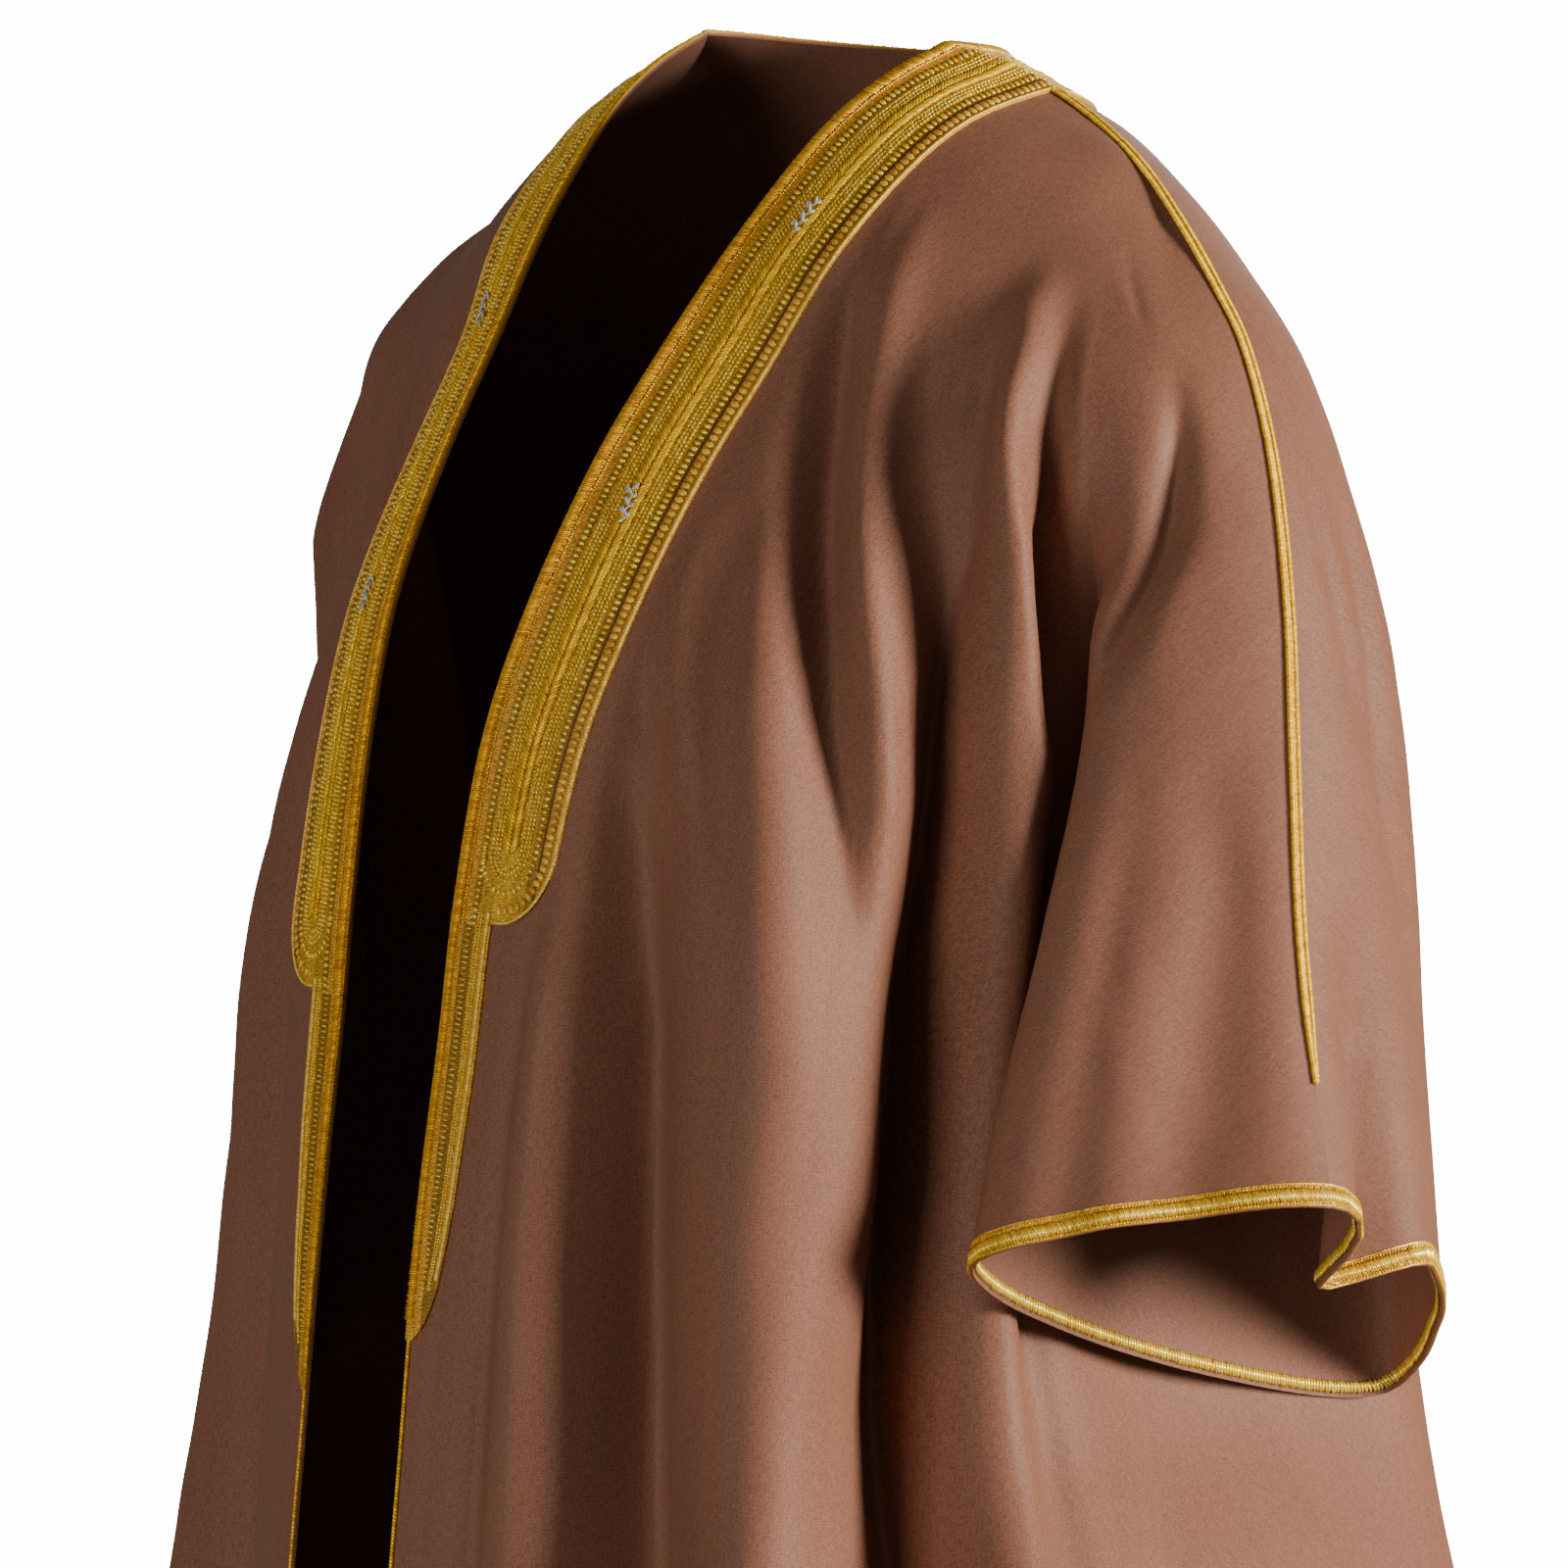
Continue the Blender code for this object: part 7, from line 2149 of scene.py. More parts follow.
class Ribbon:
    """The surface under the gold bands: distance from the edge across, the whole edge along."""

    def __init__(self, cloth: ClothPieces) -> None:
        """Joins the grids under the bands of both fronts and the neck.

        Args:
            cloth: The finished cloth pieces.
        """
        self.steps = cloth.sides[0].steps
        depth = len(self.steps)
        points, normals, falls, sides = [], [], [], []
        for panels in cloth.sides:
            front = panels.body.points[:, :depth]
            sleeve, body = panels.back_sleeve.points[:depth], panels.back_body.points[:depth, 1:]
            neck = np.concatenate([sleeve, body], axis=1)
            ring, index = cloth.neck_normals[panels.side]
            facing_neck = np.concatenate([ring[:depth], index[:depth, 1:]], axis=1)
            half = np.concatenate([front[::-1], neck.transpose(1, 0, 2)[1:]])
            facings = cloth.front_normals[panels.side][:, :depth]
            half_facing = np.concatenate([facings[::-1], facing_neck.transpose(1, 0, 2)[1:]])
            fall = np.r_[-front[::-1, 0, 2], np.full(neck.shape[1] - 1, -1.0)]
            side = np.full(len(half), panels.side)
            order = slice(None) if panels.side > 0 else slice(None, None, -1)
            cut = slice(None) if panels.side > 0 else slice(1, None)
            points.append(half[order][cut])
            normals.append(half_facing[order][cut])
            falls.append(fall[order][cut])
            sides.append(side[order][cut])
        self.points = np.concatenate(points)
        self.normals = unit(np.concatenate(normals))
        self.falls = np.concatenate(falls)
        self.sides = np.concatenate(sides)
        self.reach = lengths(self.points[:, depth // 2])

    def row_at(self, side: int, falls: Array) -> Array:
        """Row numbers of the ribbon at drops of one front's edge.

        Args:
            side: 1 for the left front, -1 for the right.
            falls: Drops in metres.

        Returns:
            Part row numbers.
        """
        rows = np.flatnonzero((self.sides == side) & (self.falls > -0.5))
        order = rows[np.argsort(self.falls[rows])]
        return np.interp(falls, self.falls[order], order.astype(float))

    def read(self, rows: Array, across: Array, lift: float) -> Line:
        """Points over the ribbon.

        Args:
            rows: Part row numbers.
            across: Distances from the edge in metres.
            lift: Height over the middle of the cloth in metres.

        Returns:
            Points and normals.
        """
        columns = np.interp(across, self.steps, np.arange(len(self.steps)))
        normals = unit(sample(self.normals, rows, columns))
        return sample(self.points, rows, columns) + lift * normals, normals

    def line(self, across: float, lift: float, ends: dict[int, float]) -> Line:
        """A line at a set distance from the edge, from one front's end round the neck to the other's.

        Args:
            across: Distance from the edge in metres.
            lift: Height over the middle of the cloth.
            ends: Drop at which it ends on each side.

        Returns:
            Points and normals.
        """
        start, end = self.row_at(1, np.array([ends[1]]))[0], self.row_at(-1, np.array([ends[-1]]))[0]
        rows = np.r_[start, np.arange(np.ceil(start + 0.01), np.floor(end - 0.01) + 1), end]
        return self.read(rows, np.full(len(rows), across), lift)


@dataclass
class BandPlan:
    """Where the rows of the wide band lie, in metres from the front edge."""

    centre: float = 0.0235
    turn_depth: float = 0.028
    lift: float = 0.0017
    edge: float = 0.0030
    bright: float = 0.0064
    inner_ladder: float = 0.0115
    outer_ladder: float = 0.0358
    links: tuple[float, ...] = (0.0152, 0.0169, 0.0186)
    outer_links: tuple[float, ...] = (0.0288, 0.0305, 0.0322)
    ears: tuple[float, ...] = (0.0218, 0.0254)
    ear_lift: float = 0.0019
    blocks: float = 0.0408
    blocks_stop: float = 0.0215
    rim: float = 0.0443
    rim_stop: float = 0.0195
    ground_places: tuple[float, ...] = (
        *(0, 1.5, 3, 4.5, 6, 7, 8, 9, 10, 11.5, 13, 14.5, 17, 19.5, 21.5, 23.5),
        *(25.5, 27.5, 30, 33, 34.5, 35.8, 37.3, 38, 38.7, 40.8, 43, 44, 45),
    )


@dataclass
class NarrowPlan:
    """Where the rows of a narrow band lie, in metres from the front edge, and how its tip draws in."""

    start_gap: float = 0.0003
    row_step: float = 0.006
    tip: tuple[float, ...] = (0.02, 0.016, 0.012, 0.008, 0.004, 0.0)
    tip_left: tuple[float, ...] = (0.0, 0.004, 0.010, 0.020, 0.034, 0.055, 0.100)
    tip_width: tuple[float, ...] = (0.0030, 0.0065, 0.0100, 0.0130, 0.0155, 0.0178, NARROW_WIDTH)
    ground_places: tuple[float, ...] = (
        *(0, 1.5, 3, 4.6, 5.6, 6.8, 8, 9.4, 11, 12, 12.6, 14, 15.5, 16.3, 18, 19.2, 20),
    )
    strips_from: float = 0.06
    edge: float = 0.0025
    ladder: float = 0.0094
    chains: tuple[float, float] = (0.0138, 0.0152)
    rim: float = 0.0182


class GoldBands:
    """The wide neck band, the narrow bands below it and the cords on the front edges."""

    def __init__(self, ribbon: Ribbon, sewing: Sewing, golds: Golds) -> None:
        """Keeps what the bands are made on and from.

        Args:
            ribbon: The surface under the bands.
            sewing: The stitch trees.
            golds: The thread finishes.
        """
        self.ribbon = ribbon
        self.sewing = sewing
        self.golds = golds
        self.plan = BandPlan()
        self.narrow = NarrowPlan()

    def around(self, across: float, lift: float | None = None) -> list[Line]:
        """The straight stretch of a row of the wide band, to where the ends turn.

        Args:
            across: Distance from the edge.
            lift: Height over the cloth, or none for the plan's.

        Returns:
            One line.
        """
        ends = {side: BAND_END[side] - self.plan.turn_depth for side in (1, -1)}
        return [self.ribbon.line(across, self.plan.lift if lift is None else lift, ends)]

    def turned(self, outer: float, least: float = 0.0, lift: float | None = None) -> list[Line]:
        """The rounded ends of a row of the wide band, one on each front.

        Args:
            outer: Distance from the edge where the turn starts.
            least: Distance from the edge where the turn stops.
            lift: Height over the cloth, or none for the plan's.

        Returns:
            Two lines.
        """
        found = []
        half = outer - self.plan.centre
        depth = self.plan.turn_depth * min(1.0, half / (BAND_WIDTH - self.plan.centre))
        angles = np.linspace(0.0, np.pi, 40)
        across = self.plan.centre + half * np.cos(angles)
        keep = across >= max(least, self.plan.centre - half)
        for side in (1, -1):
            falls = BAND_END[side] - self.plan.turn_depth + depth * np.sin(angles)
            rows = self.ribbon.row_at(side, falls[keep])
            found.append(self.ribbon.read(rows, across[keep], self.plan.lift if lift is None else lift))
        return found

    def ground(self) -> bpy.types.Object:
        """The laid gold ground of the wide band, raised along its rows.

        Returns:
            The object.
        """
        ribbon, plan = self.ribbon, self.plan
        start, end = (ribbon.row_at(side, np.array([BAND_END[side]]))[0] for side in (1, -1))
        whole = np.arange(np.ceil(start + 0.01), np.floor(end - 0.01) + 1)
        corner = BAND_ROUND * (1 - np.cos(np.radians([12, 24, 36, 48, 60, 72, 82])))
        more = [ribbon.row_at(side, BAND_END[side] - corner) for side in (1, -1)]
        rows = np.unique(np.r_[start, whole, end, more[0], more[1]])
        falls = np.interp(rows, np.arange(len(ribbon.falls)), ribbon.falls)
        sides = np.where(rows < len(ribbon.falls) / 2, 1, -1)
        ends = np.where(sides > 0, BAND_END[1], BAND_END[-1])
        t = np.clip((ends - falls) / BAND_ROUND, 0.0, 1.0)
        widths = NARROW_WIDTH + (BAND_WIDTH - NARROW_WIDTH) * np.sqrt(1.0 - (1.0 - t) ** 2)
        places = np.array(plan.ground_places) / 1000
        across = widths[:, None] * places[None] / BAND_WIDTH
        points, normals = ribbon.read(rows[:, None] + 0 * across, across, 0.0)
        reach = np.interp(rows, np.arange(len(ribbon.reach)), ribbon.reach)[:, None] + 0 * across
        skin = Skin()
        index = skin.add(points, np.stack([reach, across], axis=-1), flip=False)
        skin.set_normals.update(zip(index.ravel().tolist(), normals.reshape(-1, 3)))
        return skin.object("neck_band_ground", CLOTH / 2, BAND_HEIGHT, self.golds.ground)

    def narrow_width(self, side: int, falls: Array) -> Array:
        """Width of a narrow band, which draws in slowly to a leaf-like tip.

        Args:
            side: 1 for the left front, -1 for the right.
            falls: Drops in metres.

        Returns:
            A width for each drop.
        """
        return np.interp(NARROW_END[side] - falls, self.narrow.tip_left, self.narrow.tip_width)

    def narrow_ground(self, side: int) -> bpy.types.Object:
        """The laid gold ground of one narrow band, drawn to a leaf-like tip.

        Args:
            side: 1 for the left front, -1 for the right.

        Returns:
            The object.
        """
        plan = self.narrow
        start, end = BAND_END[side] + plan.start_gap, NARROW_END[side]
        tip = end - np.array(plan.tip)
        falls = np.r_[np.arange(start, end - plan.tip[0], plan.row_step), tip]
        widths = self.narrow_width(side, falls)
        places = np.array(plan.ground_places) / 1000
        across = widths[:, None] * places[None] / NARROW_WIDTH
        rows = self.ribbon.row_at(side, falls)
        points, normals = self.ribbon.read(rows[:, None] + 0 * across, across, 0.0)
        reach = np.interp(rows, np.arange(len(self.ribbon.reach)), self.ribbon.reach)[:, None] + 0 * across
        skin = Skin()
        index = skin.add(points, np.stack([reach, across + plan.strips_from], axis=-1), flip=side > 0)
        skin.set_normals.update(zip(index.ravel().tolist(), normals.reshape(-1, 3)))
        name = "narrow_band_left_ground" if side > 0 else "narrow_band_right_ground"
        return skin.object(name, CLOTH / 2, BAND_HEIGHT, self.golds.ground)

    def build(self) -> dict[str, bpy.types.Object]:
        """Makes every piece of the bands.

        Returns:
            The pieces by name.
        """
        plan, sew, golds = self.plan, self.sewing.sew, self.golds
        pieces = {"ground": self.ground()}
        fringe = Stitch(0.00085, 0.0011, 0.0064, 0.0022, 0.14, 0.0, 0.16, StitchForm.FINE, 3)
        edge_line = [self.ribbon.line(plan.edge, plan.lift, BAND_END)]
        pieces["edge"] = sew("band_edge_stitches", edge_line, fringe, golds.deep)
        bright = Stitch(0.0013, 0.0016, 0.0009, 0.0010, 0.35, 0.0, 0.15, StitchForm.FINE, 5)
        bright_line = [self.ribbon.line(plan.bright, plan.lift + 0.0002, BAND_END)]
        pieces["bright"] = sew("band_bright_line", bright_line, bright, golds.bright)
        ladder = Stitch(0.0025, 0.0017, 0.0030, 0.0014, 0.0, 0.0, 0.16, StitchForm.BEAD, 7)
        rungs = [self.ribbon.line(plan.inner_ladder, plan.lift, BAND_END)]
        rungs += self.around(plan.outer_ladder) + self.turned(plan.outer_ladder)
        pieces["ladder"] = sew("band_ladder", rungs, ladder, golds.bright)
        link = Stitch(0.0017, 0.0020, 0.0014, 0.0012, 0.45, 0.0, 0.16, StitchForm.BAR, 9)
        rows = [line for t in plan.links + plan.outer_links for line in self.around(t)]
        rows += [line for t in plan.outer_links for line in self.turned(t)]
        pieces["links"] = sew("band_chain_rows", rows, link, golds.bright)
        ear = Stitch(0.00145, 0.0056, 0.0014, 0.0017, 0.70, 0.0, 0.12, StitchForm.BAR, 11)
        other = Stitch(0.00145, 0.0056, 0.0014, 0.0017, -0.70, 0.0, 0.12, StitchForm.BAR, 13)
        inner, outer = plan.ears
        pieces["ear_in"] = sew("band_wheat_inner", self.around(inner, plan.ear_lift), ear, golds.mid)
        pieces["ear_out"] = sew("band_wheat_outer", self.around(outer, plan.ear_lift), other, golds.mid)
        block = Stitch(0.0030, 0.0025, 0.0040, 0.0013, 0.0, 0.0, 0.10, StitchForm.BEAD, 15)
        rows = self.around(plan.blocks) + self.turned(plan.blocks, plan.blocks_stop)
        pieces["blocks"] = sew("band_blocks", rows, block, golds.tan)
        rim = Stitch(0.0012, 0.0021, 0.0014, 0.0013, 0.0, 0.0, 0.02, StitchForm.BAR, 19)
        rows = self.around(plan.rim) + self.turned(plan.rim, plan.rim_stop)
        pieces["rim"] = sew("band_rim", rows, rim, golds.pale)
        for side, word in ((1, "left"), (-1, "right")):
            pieces["narrow_" + word] = self.narrow_ground(side)
            pieces["narrow_sewn_" + word] = self.narrow_rows(side, word)
            pieces["cord_" + word] = self.edge_cord(side, word)
        return pieces

    def narrow_line(self, side: int, across: float, stop: float) -> list[Line]:
        """A line down one narrow band.

        Args:
            side: 1 for the left front, -1 for the right.
            across: Distance from the edge.
            stop: Length of the tip that it leaves out.

        Returns:
            One line.
        """
        falls = np.arange(BAND_END[side] - 0.004, NARROW_END[side] - stop, 0.004)
        rows = self.ribbon.row_at(side, falls)
        share = self.narrow_width(side, falls) / NARROW_WIDTH
        return [self.ribbon.read(rows, across * share, self.plan.lift)]

    def narrow_rows(self, side: int, word: str) -> bpy.types.Object:
        """The sewn rows of one narrow band.

        Args:
            side: 1 for the left front, -1 for the right.
            word: The side's name.

        Returns:
            One joined object.
        """
        golds, sew, plan = self.golds, self.sewing.sew, self.narrow
        fringe = Stitch(0.00085, 0.0010, 0.0052, 0.0016, 0.12, 0.0, 0.10, StitchForm.FINE, 21)
        ladder = Stitch(0.0021, 0.0010, 0.0038, 0.0011, 0.0, 0.0, 0.12, StitchForm.BAR, 23)
        fine = Stitch(0.0012, 0.0017, 0.0012, 0.0010, 0.3, 0.0, 0.1, StitchForm.FINE, 25)
        rim = Stitch(0.0008, 0.0016, 0.0024, 0.0013, 0.0, 0.0, 0.03, StitchForm.BAR, 27)
        first, second = plan.chains
        chains = self.narrow_line(side, first, 0.016) + self.narrow_line(side, second, 0.018)
        parts = [
            sew("edge", self.narrow_line(side, plan.edge, 0.006), fringe, golds.deep),
            sew("ladder", self.narrow_line(side, plan.ladder, 0.012), ladder, golds.bright),
            sew("fine", chains, fine, golds.bright),
            sew("rim", self.narrow_line(side, plan.rim, 0.021), rim, golds.pale),
        ]
        return joined("narrow_band_" + word + "_sewn", parts)

    def edge_cord(self, side: int, word: str) -> bpy.types.Object:
        """The thin gold cord on a front edge, from the narrow band's tip to the hem.

        Args:
            side: 1 for the left front, -1 for the right.
            word: The side's name.

        Returns:
            The object.
        """
        falls = np.arange(NARROW_END[side] - 0.012, 1.4195, 0.006)
        rows = self.ribbon.row_at(side, falls)
        line = self.ribbon.read(rows, np.full(len(rows), 0.0013), CLOTH / 2 + 0.0004)
        twist = Stitch(0.0014, 0.0027, 0.0018, 0.0016, 0.5, 0.0, 0.05, StitchForm.BAR, 29)
        return self.sewing.sew("edge_cord_" + word + "_twist", [line], twist, self.golds.deep)


@dataclass
class PipingPlan:
    """Sizes of the shoulder piping, in metres."""

    step: float = 0.003
    point: float = 0.03
    flank: float = 0.00145
    flank_lift: float = 0.0013
    core_lift: float = 0.0009


class Piping:
    """The gold piping on one shoulder seam: two sewn flanks with a darker hollow between."""

    def __init__(self, panels: Panels, cloth: ClothPieces, ribbon_line: Array) -> None:
        """Works out the line of the seam and its normals.

        Args:
            panels: Grids of this side.
            cloth: The cloth pieces, for the seam's normals.
            ribbon_line: The neck's line, from which the band's width is left out.
        """
        self.plan = PipingPlan()
        line = panels.half.seam_dense
        reach = lengths(line)
        gaps = distance(line[None], ribbon_line)[0]
        start = np.interp(BAND_WIDTH - 0.001, np.maximum.accumulate(gaps), reach)
        self.end = float(np.interp(PIPING_END, -line[:, 2], reach))
        self.at = np.arange(start, self.end, self.plan.step)
        self.points = read_by(self.at, reach, line)
        falls, seam, _, _ = cloth.seam_normals(panels)
        self.normals = unit(read_by(-self.points[:, 2], falls, seam))
        self.across = unit(np.cross(self.normals, np.gradient(self.points, axis=0)))
        self.side = panels.side

    def line(self, sideways: float, lift: float) -> Line:
        """A line beside the seam, drawn in towards the piping's point.

        Args:
            sideways: Distance from the seam.
            lift: Height over the middle of the cloth.

        Returns:
            Points and normals.
        """
        narrow = np.interp(self.at, [self.end - self.plan.point, self.end], [1.0, 0.15])[:, None]
        return self.points + self.across * sideways * narrow + self.normals * lift, self.normals

    def build(self, word: str, sewing: Sewing, golds: Golds) -> bpy.types.Object:
        """Sews the two flanks over a darker core.

        Args:
            word: The side's name.
            sewing: The stitch trees.
            golds: The thread finishes.

        Returns:
            One joined object.
        """
        satin = Stitch(0.00078, 0.0010, 0.0027, 0.0021, 0.16, 0.0, 0.07, StitchForm.FINE, 31)
        core = Stitch(0.0009, 0.0018, 0.0026, 0.0014, 0.0, 0.0, 0.05, StitchForm.BAR, 33)
        plan = self.plan
        parts = [
            sewing.sew("flank_in", [self.line(plan.flank, plan.flank_lift)], satin, golds.mid),
            sewing.sew("flank_out", [self.line(-plan.flank, plan.flank_lift)], satin, golds.mid),
            sewing.sew("core", [self.line(0.0, plan.core_lift)], core, golds.deep),
        ]
        return joined("shoulder_piping_" + word + "_sewn", parts)


@dataclass
class TrimPlan:
    """Where the rows of the sleeve trim lie above the hem, in metres."""

    foot: float = 0.0004
    lower: float = 0.0012
    middle: float = 0.0044
    upper: float = 0.0076
    lift: float = 0.0013
    strips_from: float = 0.09
    cloth_rows: int = 24


class CuffTrim:
    """The gold satin-stitched trim round one sleeve hem."""

    def __init__(self, panels: Panels, cloth: ClothPieces) -> None:
        """Joins the last rows of the sleeve's front and back.

        Args:
            panels: Grids of this side.
            cloth: The cloth pieces, for their normals.
        """
        front, back = panels.sleeve.points, panels.back_sleeve.points
        facing_front, facing_back = cloth.cuff_normals[panels.side]
        plan = TrimPlan()
        rows = plan.cloth_rows
        grid = np.concatenate([front[-rows:], back[-rows:, 1:]], axis=1)
        normals = np.concatenate([facing_front[-rows:], facing_back[-rows:, 1:]], axis=1)
        gaps = distance(grid, grid[-1])
        self.points: dict[float, Array] = {}
        self.normals: dict[float, Array] = {}
        for up in (plan.foot, plan.lower, plan.middle, plan.upper, TRIM_WIDTH):
            columns = np.arange(grid.shape[1], dtype=float)
            backward = np.arange(rows)[::-1]
            places = np.array([np.interp(up, gaps[::-1, j], backward) for j in range(grid.shape[1])])
            self.points[up] = sample(grid, places, columns)
            self.normals[up] = unit(sample(normals, places, columns))
        self.side = panels.side
        self.plan = plan

    def build(self, word: str, sewing: Sewing, golds: Golds) -> bpy.types.Object:
        """Sews the trim over a laid ground.

        Args:
            word: The side's name.
            sewing: The stitch trees.
            golds: The thread finishes.

        Returns:
            One joined object.
        """
        plan = self.plan
        ups = (TRIM_WIDTH, plan.middle, plan.foot)
        grid = np.stack([self.points[up] for up in ups])
        normals = np.stack([self.normals[up] for up in ups])
        skin = Skin()
        reach = lengths(self.points[plan.middle])[None] + 0 * grid[..., 0]
        weave = np.stack([reach, np.array(ups)[:, None] + plan.strips_from + 0 * reach], axis=-1)
        index = skin.add(grid, weave, flip=self.side > 0)
        skin.set_normals.update(zip(index.ravel().tolist(), normals.reshape(-1, 3)))
        ground = skin.object("ground", CLOTH / 2, TRIM_HEIGHT, golds.ground)
        satin = Stitch(0.00082, 0.00105, 0.0066, 0.0017, 0.22, 0.0, 0.08, StitchForm.FINE, 35)
        beads = Stitch(0.0012, 0.0014, 0.0011, 0.0012, 0.3, 0.0, 0.12, StitchForm.FINE, 37)
        coarse = Stitch(0.0015, 0.0018, 0.0062, 0.0015, 0.22, 0.0, 0.08, StitchForm.FINE, 39)
        points, facings = self.points[plan.middle], self.normals[plan.middle]
        middle = (points + plan.lift * facings, facings)
        sides = (plan.lower, plan.upper)
        edges = [(self.points[up] + plan.lift * self.normals[up], self.normals[up]) for up in sides]
        inside = (points - plan.lift * facings, -facings)
        parts = [
            ground,
            sewing.sew("satin", [middle], satin, golds.bright),
            sewing.sew("beads", edges, beads, golds.deep),
            sewing.sew("inside", [inside], coarse, golds.bright),
        ]
        return joined("cuff_trim_" + word + "_sewn", parts)


@dataclass
class KnotPlan:
    """Sizes of one thread knot, in metres, and the side and drop of each."""

    places: tuple[tuple[int, float], ...] = ((1, 0.045), (1, 0.154), (-1, 0.090), (-1, 0.197))
    turns: float = 3.5
    length: float = 0.0125
    width: float = 0.0023
    middle: float = 0.0225
    lift: float = 0.0032


class Tacks:
    """The loose grey thread knots on the gold bands."""

    def __init__(self, ribbon: Ribbon) -> None:
        """Keeps the ribbon that the knots sit on.

        Args:
            ribbon: The surface under the bands.
        """
        self.ribbon = ribbon
        self.plan = KnotPlan()

    def loop(self, side: int, fall: float, number: int) -> Line:
        """The path of one knot: a few small loops that zigzag along the band.

        Args:
            side: 1 for the left front, -1 for the right.
            fall: Drop of the knot.
            number: Makes each knot a little different.

        Returns:
            Points and normals.
        """
        plan = self.plan
        t = np.linspace(0.0, 1.0, 150)
        turns = 2 * np.pi * plan.turns * t + number
        along_band = plan.length * (t - 0.5) + 0.0010 * np.sin(2 * turns)
        swell = 0.55 + 0.45 * np.abs(np.sin(np.pi * (2 * t + 0.1 * number)))
        across = plan.middle + plan.width * swell * np.sin(turns)
        across = across + 0.25 * along_band * np.sin(2.1 * number)
        lift = plan.lift + 0.0006 * np.cos(turns)
        rows = self.ribbon.row_at(side, fall + along_band)
        points, normals = self.ribbon.read(rows, across, 0.0)
        return points + normals * lift[:, None], normals

    def build(self, sewing: Sewing, finish: bpy.types.Material) -> bpy.types.Object:
        """Makes the knots.

        Args:
            sewing: The stitch trees.
            finish: Their thread.

        Returns:
            One object.
        """
        lines = [self.loop(side, fall, i) for i, (side, fall) in enumerate(self.plan.places)]
        thread = Stitch(0.0006, 0.0015, 0.0011, 0.0010, 0.0, 0.0, 0.10, StitchForm.FINE, 41)
        return sewing.sew("grey_tacks", lines, thread, finish)


@dataclass
class Studio:
    """A pale floor, soft light and the photo's camera."""

    azimuth: float = 50.0
    elevation: float = 2.5
    distance: float = 3.2
    lens: float = 189.7
    down: float = 4.93
    aside: float = -0.13

    def floor(self) -> None:
        """Lays the floor, which sweeps up at its rim so that no horizon shows."""
        count = 64
        angles = np.linspace(0, 2 * np.pi, count, endpoint=False)
        rings = ((60.0, -1.50), (70.0, 0.5), (76.0, 6.0), (79.0, 16.0), (80.0, 60.0))
        circle = np.stack([np.cos(angles), np.sin(angles)], axis=1)
        points = np.concatenate([np.c_[r * circle, np.full(count, z)] for r, z in rings])
        faces = [list(range(count))]
        for ring in range(len(rings) - 1):
            first, second = ring * count, (ring + 1) * count
            steps = [(i, (i + 1) % count) for i in range(count)]
            faces += [[first + j, first + i, second + i, second + j] for i, j in steps]
        mesh = bpy.data.meshes.new("studio_floor")
        mesh.from_pydata(points.tolist(), [], faces)
        mesh.materials.append(Floor().build())
        made = bpy.data.objects.new("studio_floor", mesh)
        made.visible_diffuse = False
        made.visible_glossy = False
        made.visible_shadow = False
        bpy.context.scene.collection.objects.link(made)
        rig.stage(made)

    def lamp(self, name: str, place: Triple, size: float, power: float, tint: Triple) -> None:
        """Hangs one soft lamp that faces the robe.

        Args:
            name: Its name.
            place: Where it hangs.
            size: Width of its face in metres.
            power: Its power in watts.
            tint: Its colour.
        """
        light = bpy.data.lights.new(name, "AREA")
        light.shape = "SQUARE"
        light.size = size
        light.energy = power
        light.color = tint
        made = bpy.data.objects.new(name, light)
        made.location = place
        aim = Vector((0.0, 0.0, -0.35)) - Vector(place)
        made.rotation_euler = aim.to_track_quat("-Z", "Y").to_euler()
        bpy.context.scene.collection.objects.link(made)

    def camera(self) -> None:
        """Sets the camera at the photo's place and angle."""
        a, e = np.radians(self.azimuth), np.radians(self.elevation)
        back = Vector((np.sin(a) * np.cos(e), -np.cos(a) * np.cos(e), np.sin(e)))
        data = bpy.data.cameras.new("photo_camera")
        data.lens = self.lens
        data.sensor_width = 36.0
        data.clip_end = 300.0
        made = bpy.data.objects.new("photo_camera", data)
        made.location = back * self.distance
        tilt = np.radians(90.0 - self.elevation - self.down)
        made.rotation_euler = (tilt, 0.0, np.radians(self.azimuth - self.aside))
        bpy.context.scene.collection.objects.link(made)
        bpy.context.scene.camera = made

    def build(self) -> None:
        """Makes the whole studio."""
        self.floor()
        self.lamp("key_light", (3.45, 1.6, 0.28), 1.2, 312.0, (1.0, 0.985, 0.96))
        self.lamp("front_fill", (0.6, -3.95, -0.40), 1.6, 68.0, (1.0, 0.98, 0.96))
        self.lamp("back_fill", (-2.5, 3.2, 1.2), 2.4, 48.0, (1.0, 0.98, 0.96))
        world = bpy.data.worlds.new("studio_light")
        world.use_nodes = True
        world.node_tree.nodes["Background"].inputs["Color"].default_value = (0.94, 0.93, 0.92, 1.0)
        world.node_tree.nodes["Background"].inputs["Strength"].default_value = 0.15
        bpy.context.scene.world = world
        self.camera()


def report(piece: bpy.types.Object) -> None:
    """Logs the size of a finished piece."""
    LOG.info("%s: %d faces", piece.name, len(piece.data.polygons))


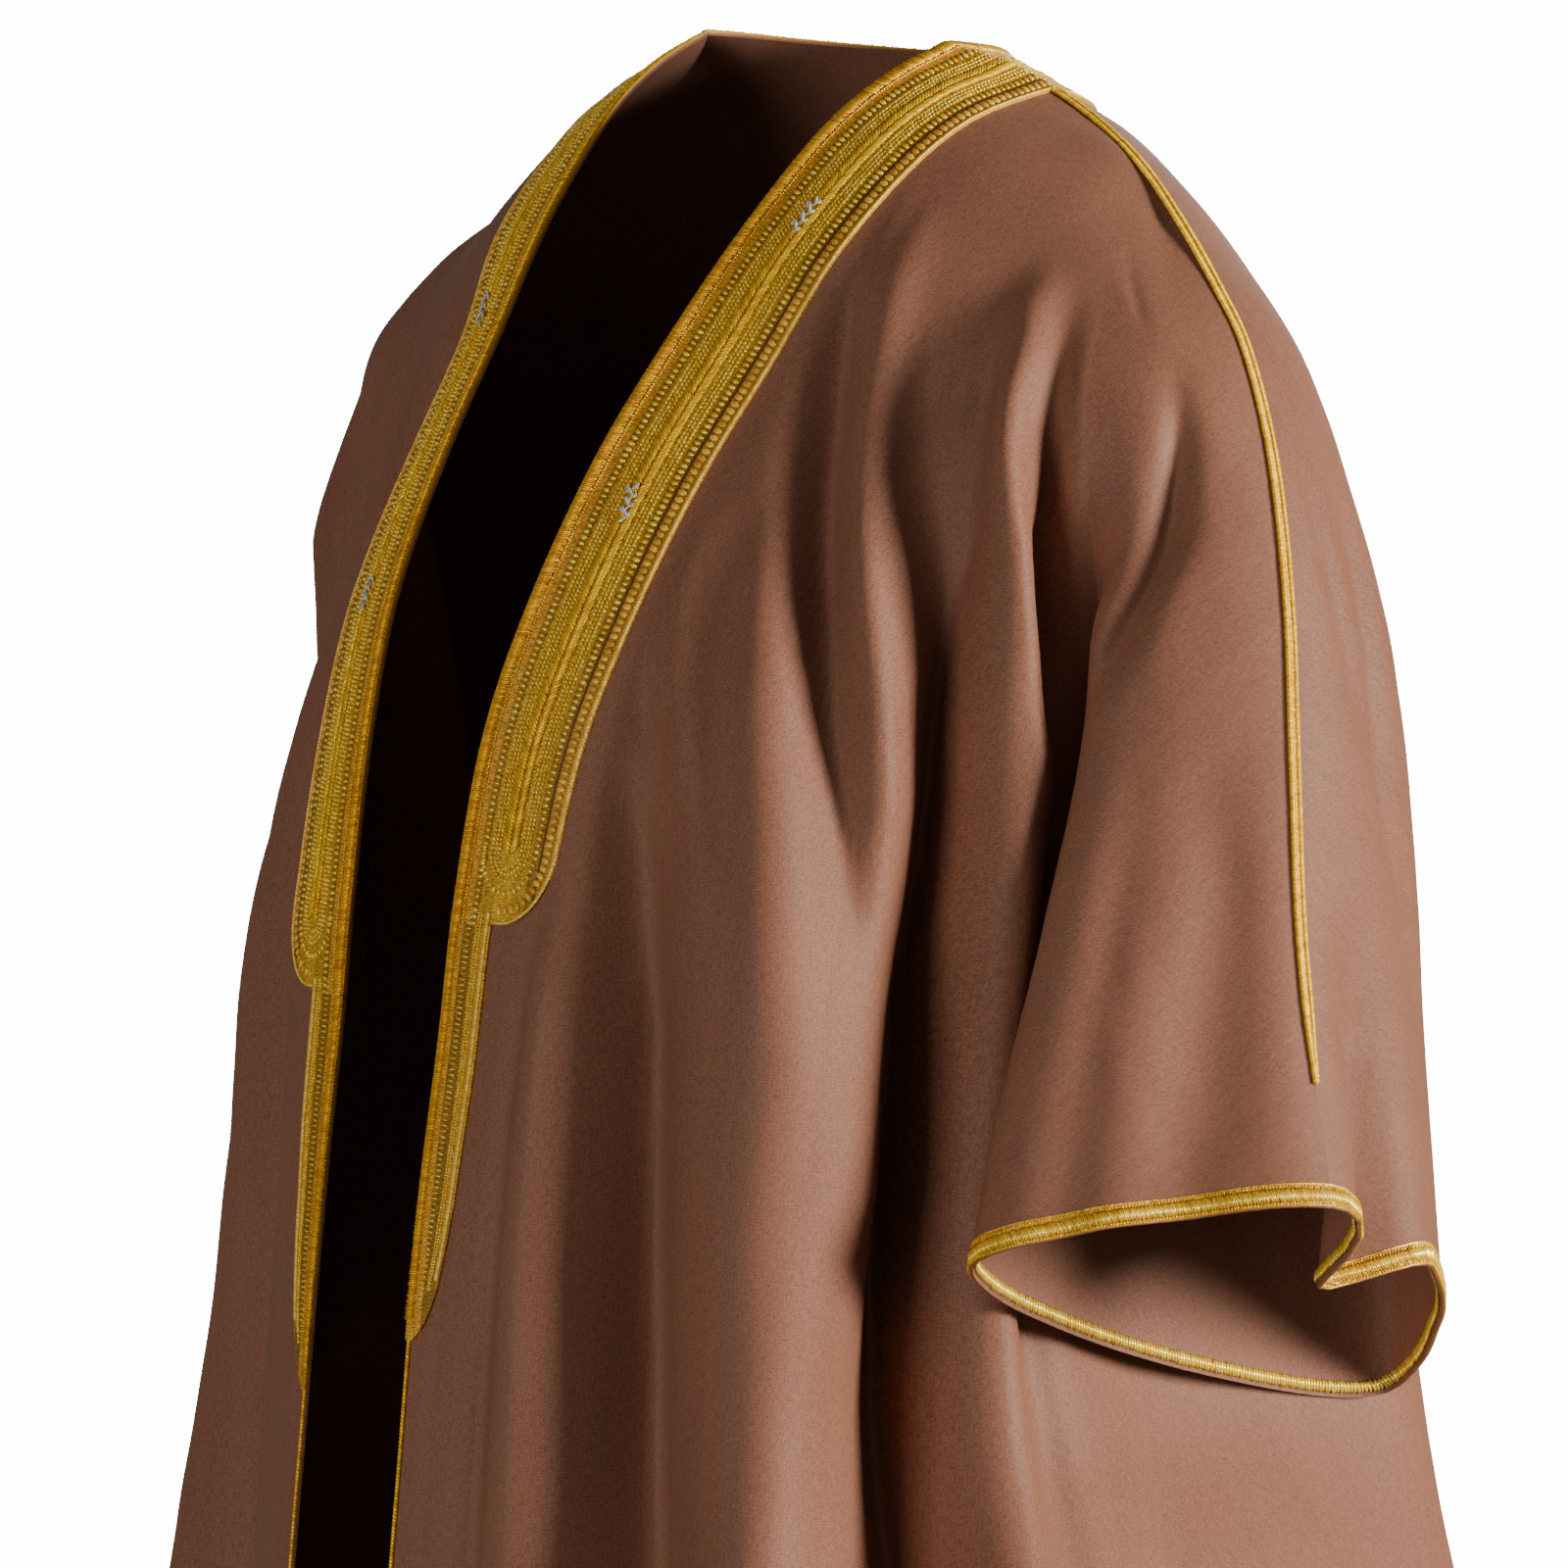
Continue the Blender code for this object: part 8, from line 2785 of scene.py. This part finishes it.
def build_robe() -> None:
    weave = Weave()
    left, right = Panels(1, weave), Panels(-1, weave)
    cloth = ClothPieces(left, right)
    twill = SatinTwill().build()
    fronts = {1: cloth.build_front(left, twill), -1: cloth.build_front(right, twill)}
    back = cloth.build_back(twill)
    for piece, node in ((fronts[1], "front_left"), (fronts[-1], "front_right"), (back, "back")):
        report(piece)
        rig.ride(piece, "root")
        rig.replaces(piece, node)
        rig.slot(piece, "brown_satin")
    golds, sewing = Golds(), Sewing()
    ribbon = Ribbon(cloth)
    bands = GoldBands(ribbon, sewing, golds).build()
    replaced = {
        "ground": "neck_band",
        "narrow_left": "narrow_band_left",
        "narrow_right": "narrow_band_right",
        "cord_left": "edge_cord_left",
        "cord_right": "edge_cord_right",
    }
    neck = np.concatenate([left.line[::-1], right.line])
    sewn: dict[str, list[bpy.types.Object]] = {"left": [], "right": [], "back": []}
    for name, piece in bands.items():
        report(piece)
        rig.ride(piece, "root")
        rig.slot(piece, "gold_thread")
        if name in replaced:
            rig.replaces(piece, replaced[name])
        word = name.split("_")[-1]
        sewn[word if word in sewn else "back"].append(piece)
    for panels, word in ((left, "left"), (right, "right")):
        piping = Piping(panels, cloth, neck).build(word, sewing, golds)
        trim = CuffTrim(panels, cloth).build(word, sewing, golds)
        for piece, node in ((piping, "shoulder_piping_" + word), (trim, "cuff_trim_" + word)):
            report(piece)
            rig.ride(piece, "root")
            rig.slot(piece, "gold_thread")
            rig.replaces(piece, node)
            sewn[word].append(piece)
    tacks = Tacks(ribbon).build(sewing, TackThread().build())
    report(tacks)
    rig.ride(tacks, "root")
    sewn["back"].append(tacks)
    mark_sheets(fronts, back, sewn)


def mark_sheets(fronts: dict[int, bpy.types.Object], back: bpy.types.Object, sewn: dict[str, list]) -> None:
    """Args:
        fronts: The two fronts by side.
        back: The back.
        sewn: The gold work on each of them.
    """
    for side, word in ((1, "left"), (-1, "right")):
        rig.sheet(fronts[side], flat=(0.78, 1.46), held="draped", area=0.66, with_pieces=sewn[word])
    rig.sheet(back, flat=(1.32, 1.46), held="draped", area=1.36, with_pieces=sewn["back"])


def main() -> None:
    """Builds the robe and its studio, and writes the sizes found."""
    logging.basicConfig(level=logging.INFO, format="%(name)s: %(message)s")
    build_robe()
    Studio().build()
    sizes = {"cad_box": CAD_BOX, "visual_box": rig.bounds()}
    with open("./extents.json", "w", encoding="utf-8") as out:
        json.dump(sizes, out, default=lambda value: [float(number) for number in value], indent=1)


if __name__ == "__main__":
    main()
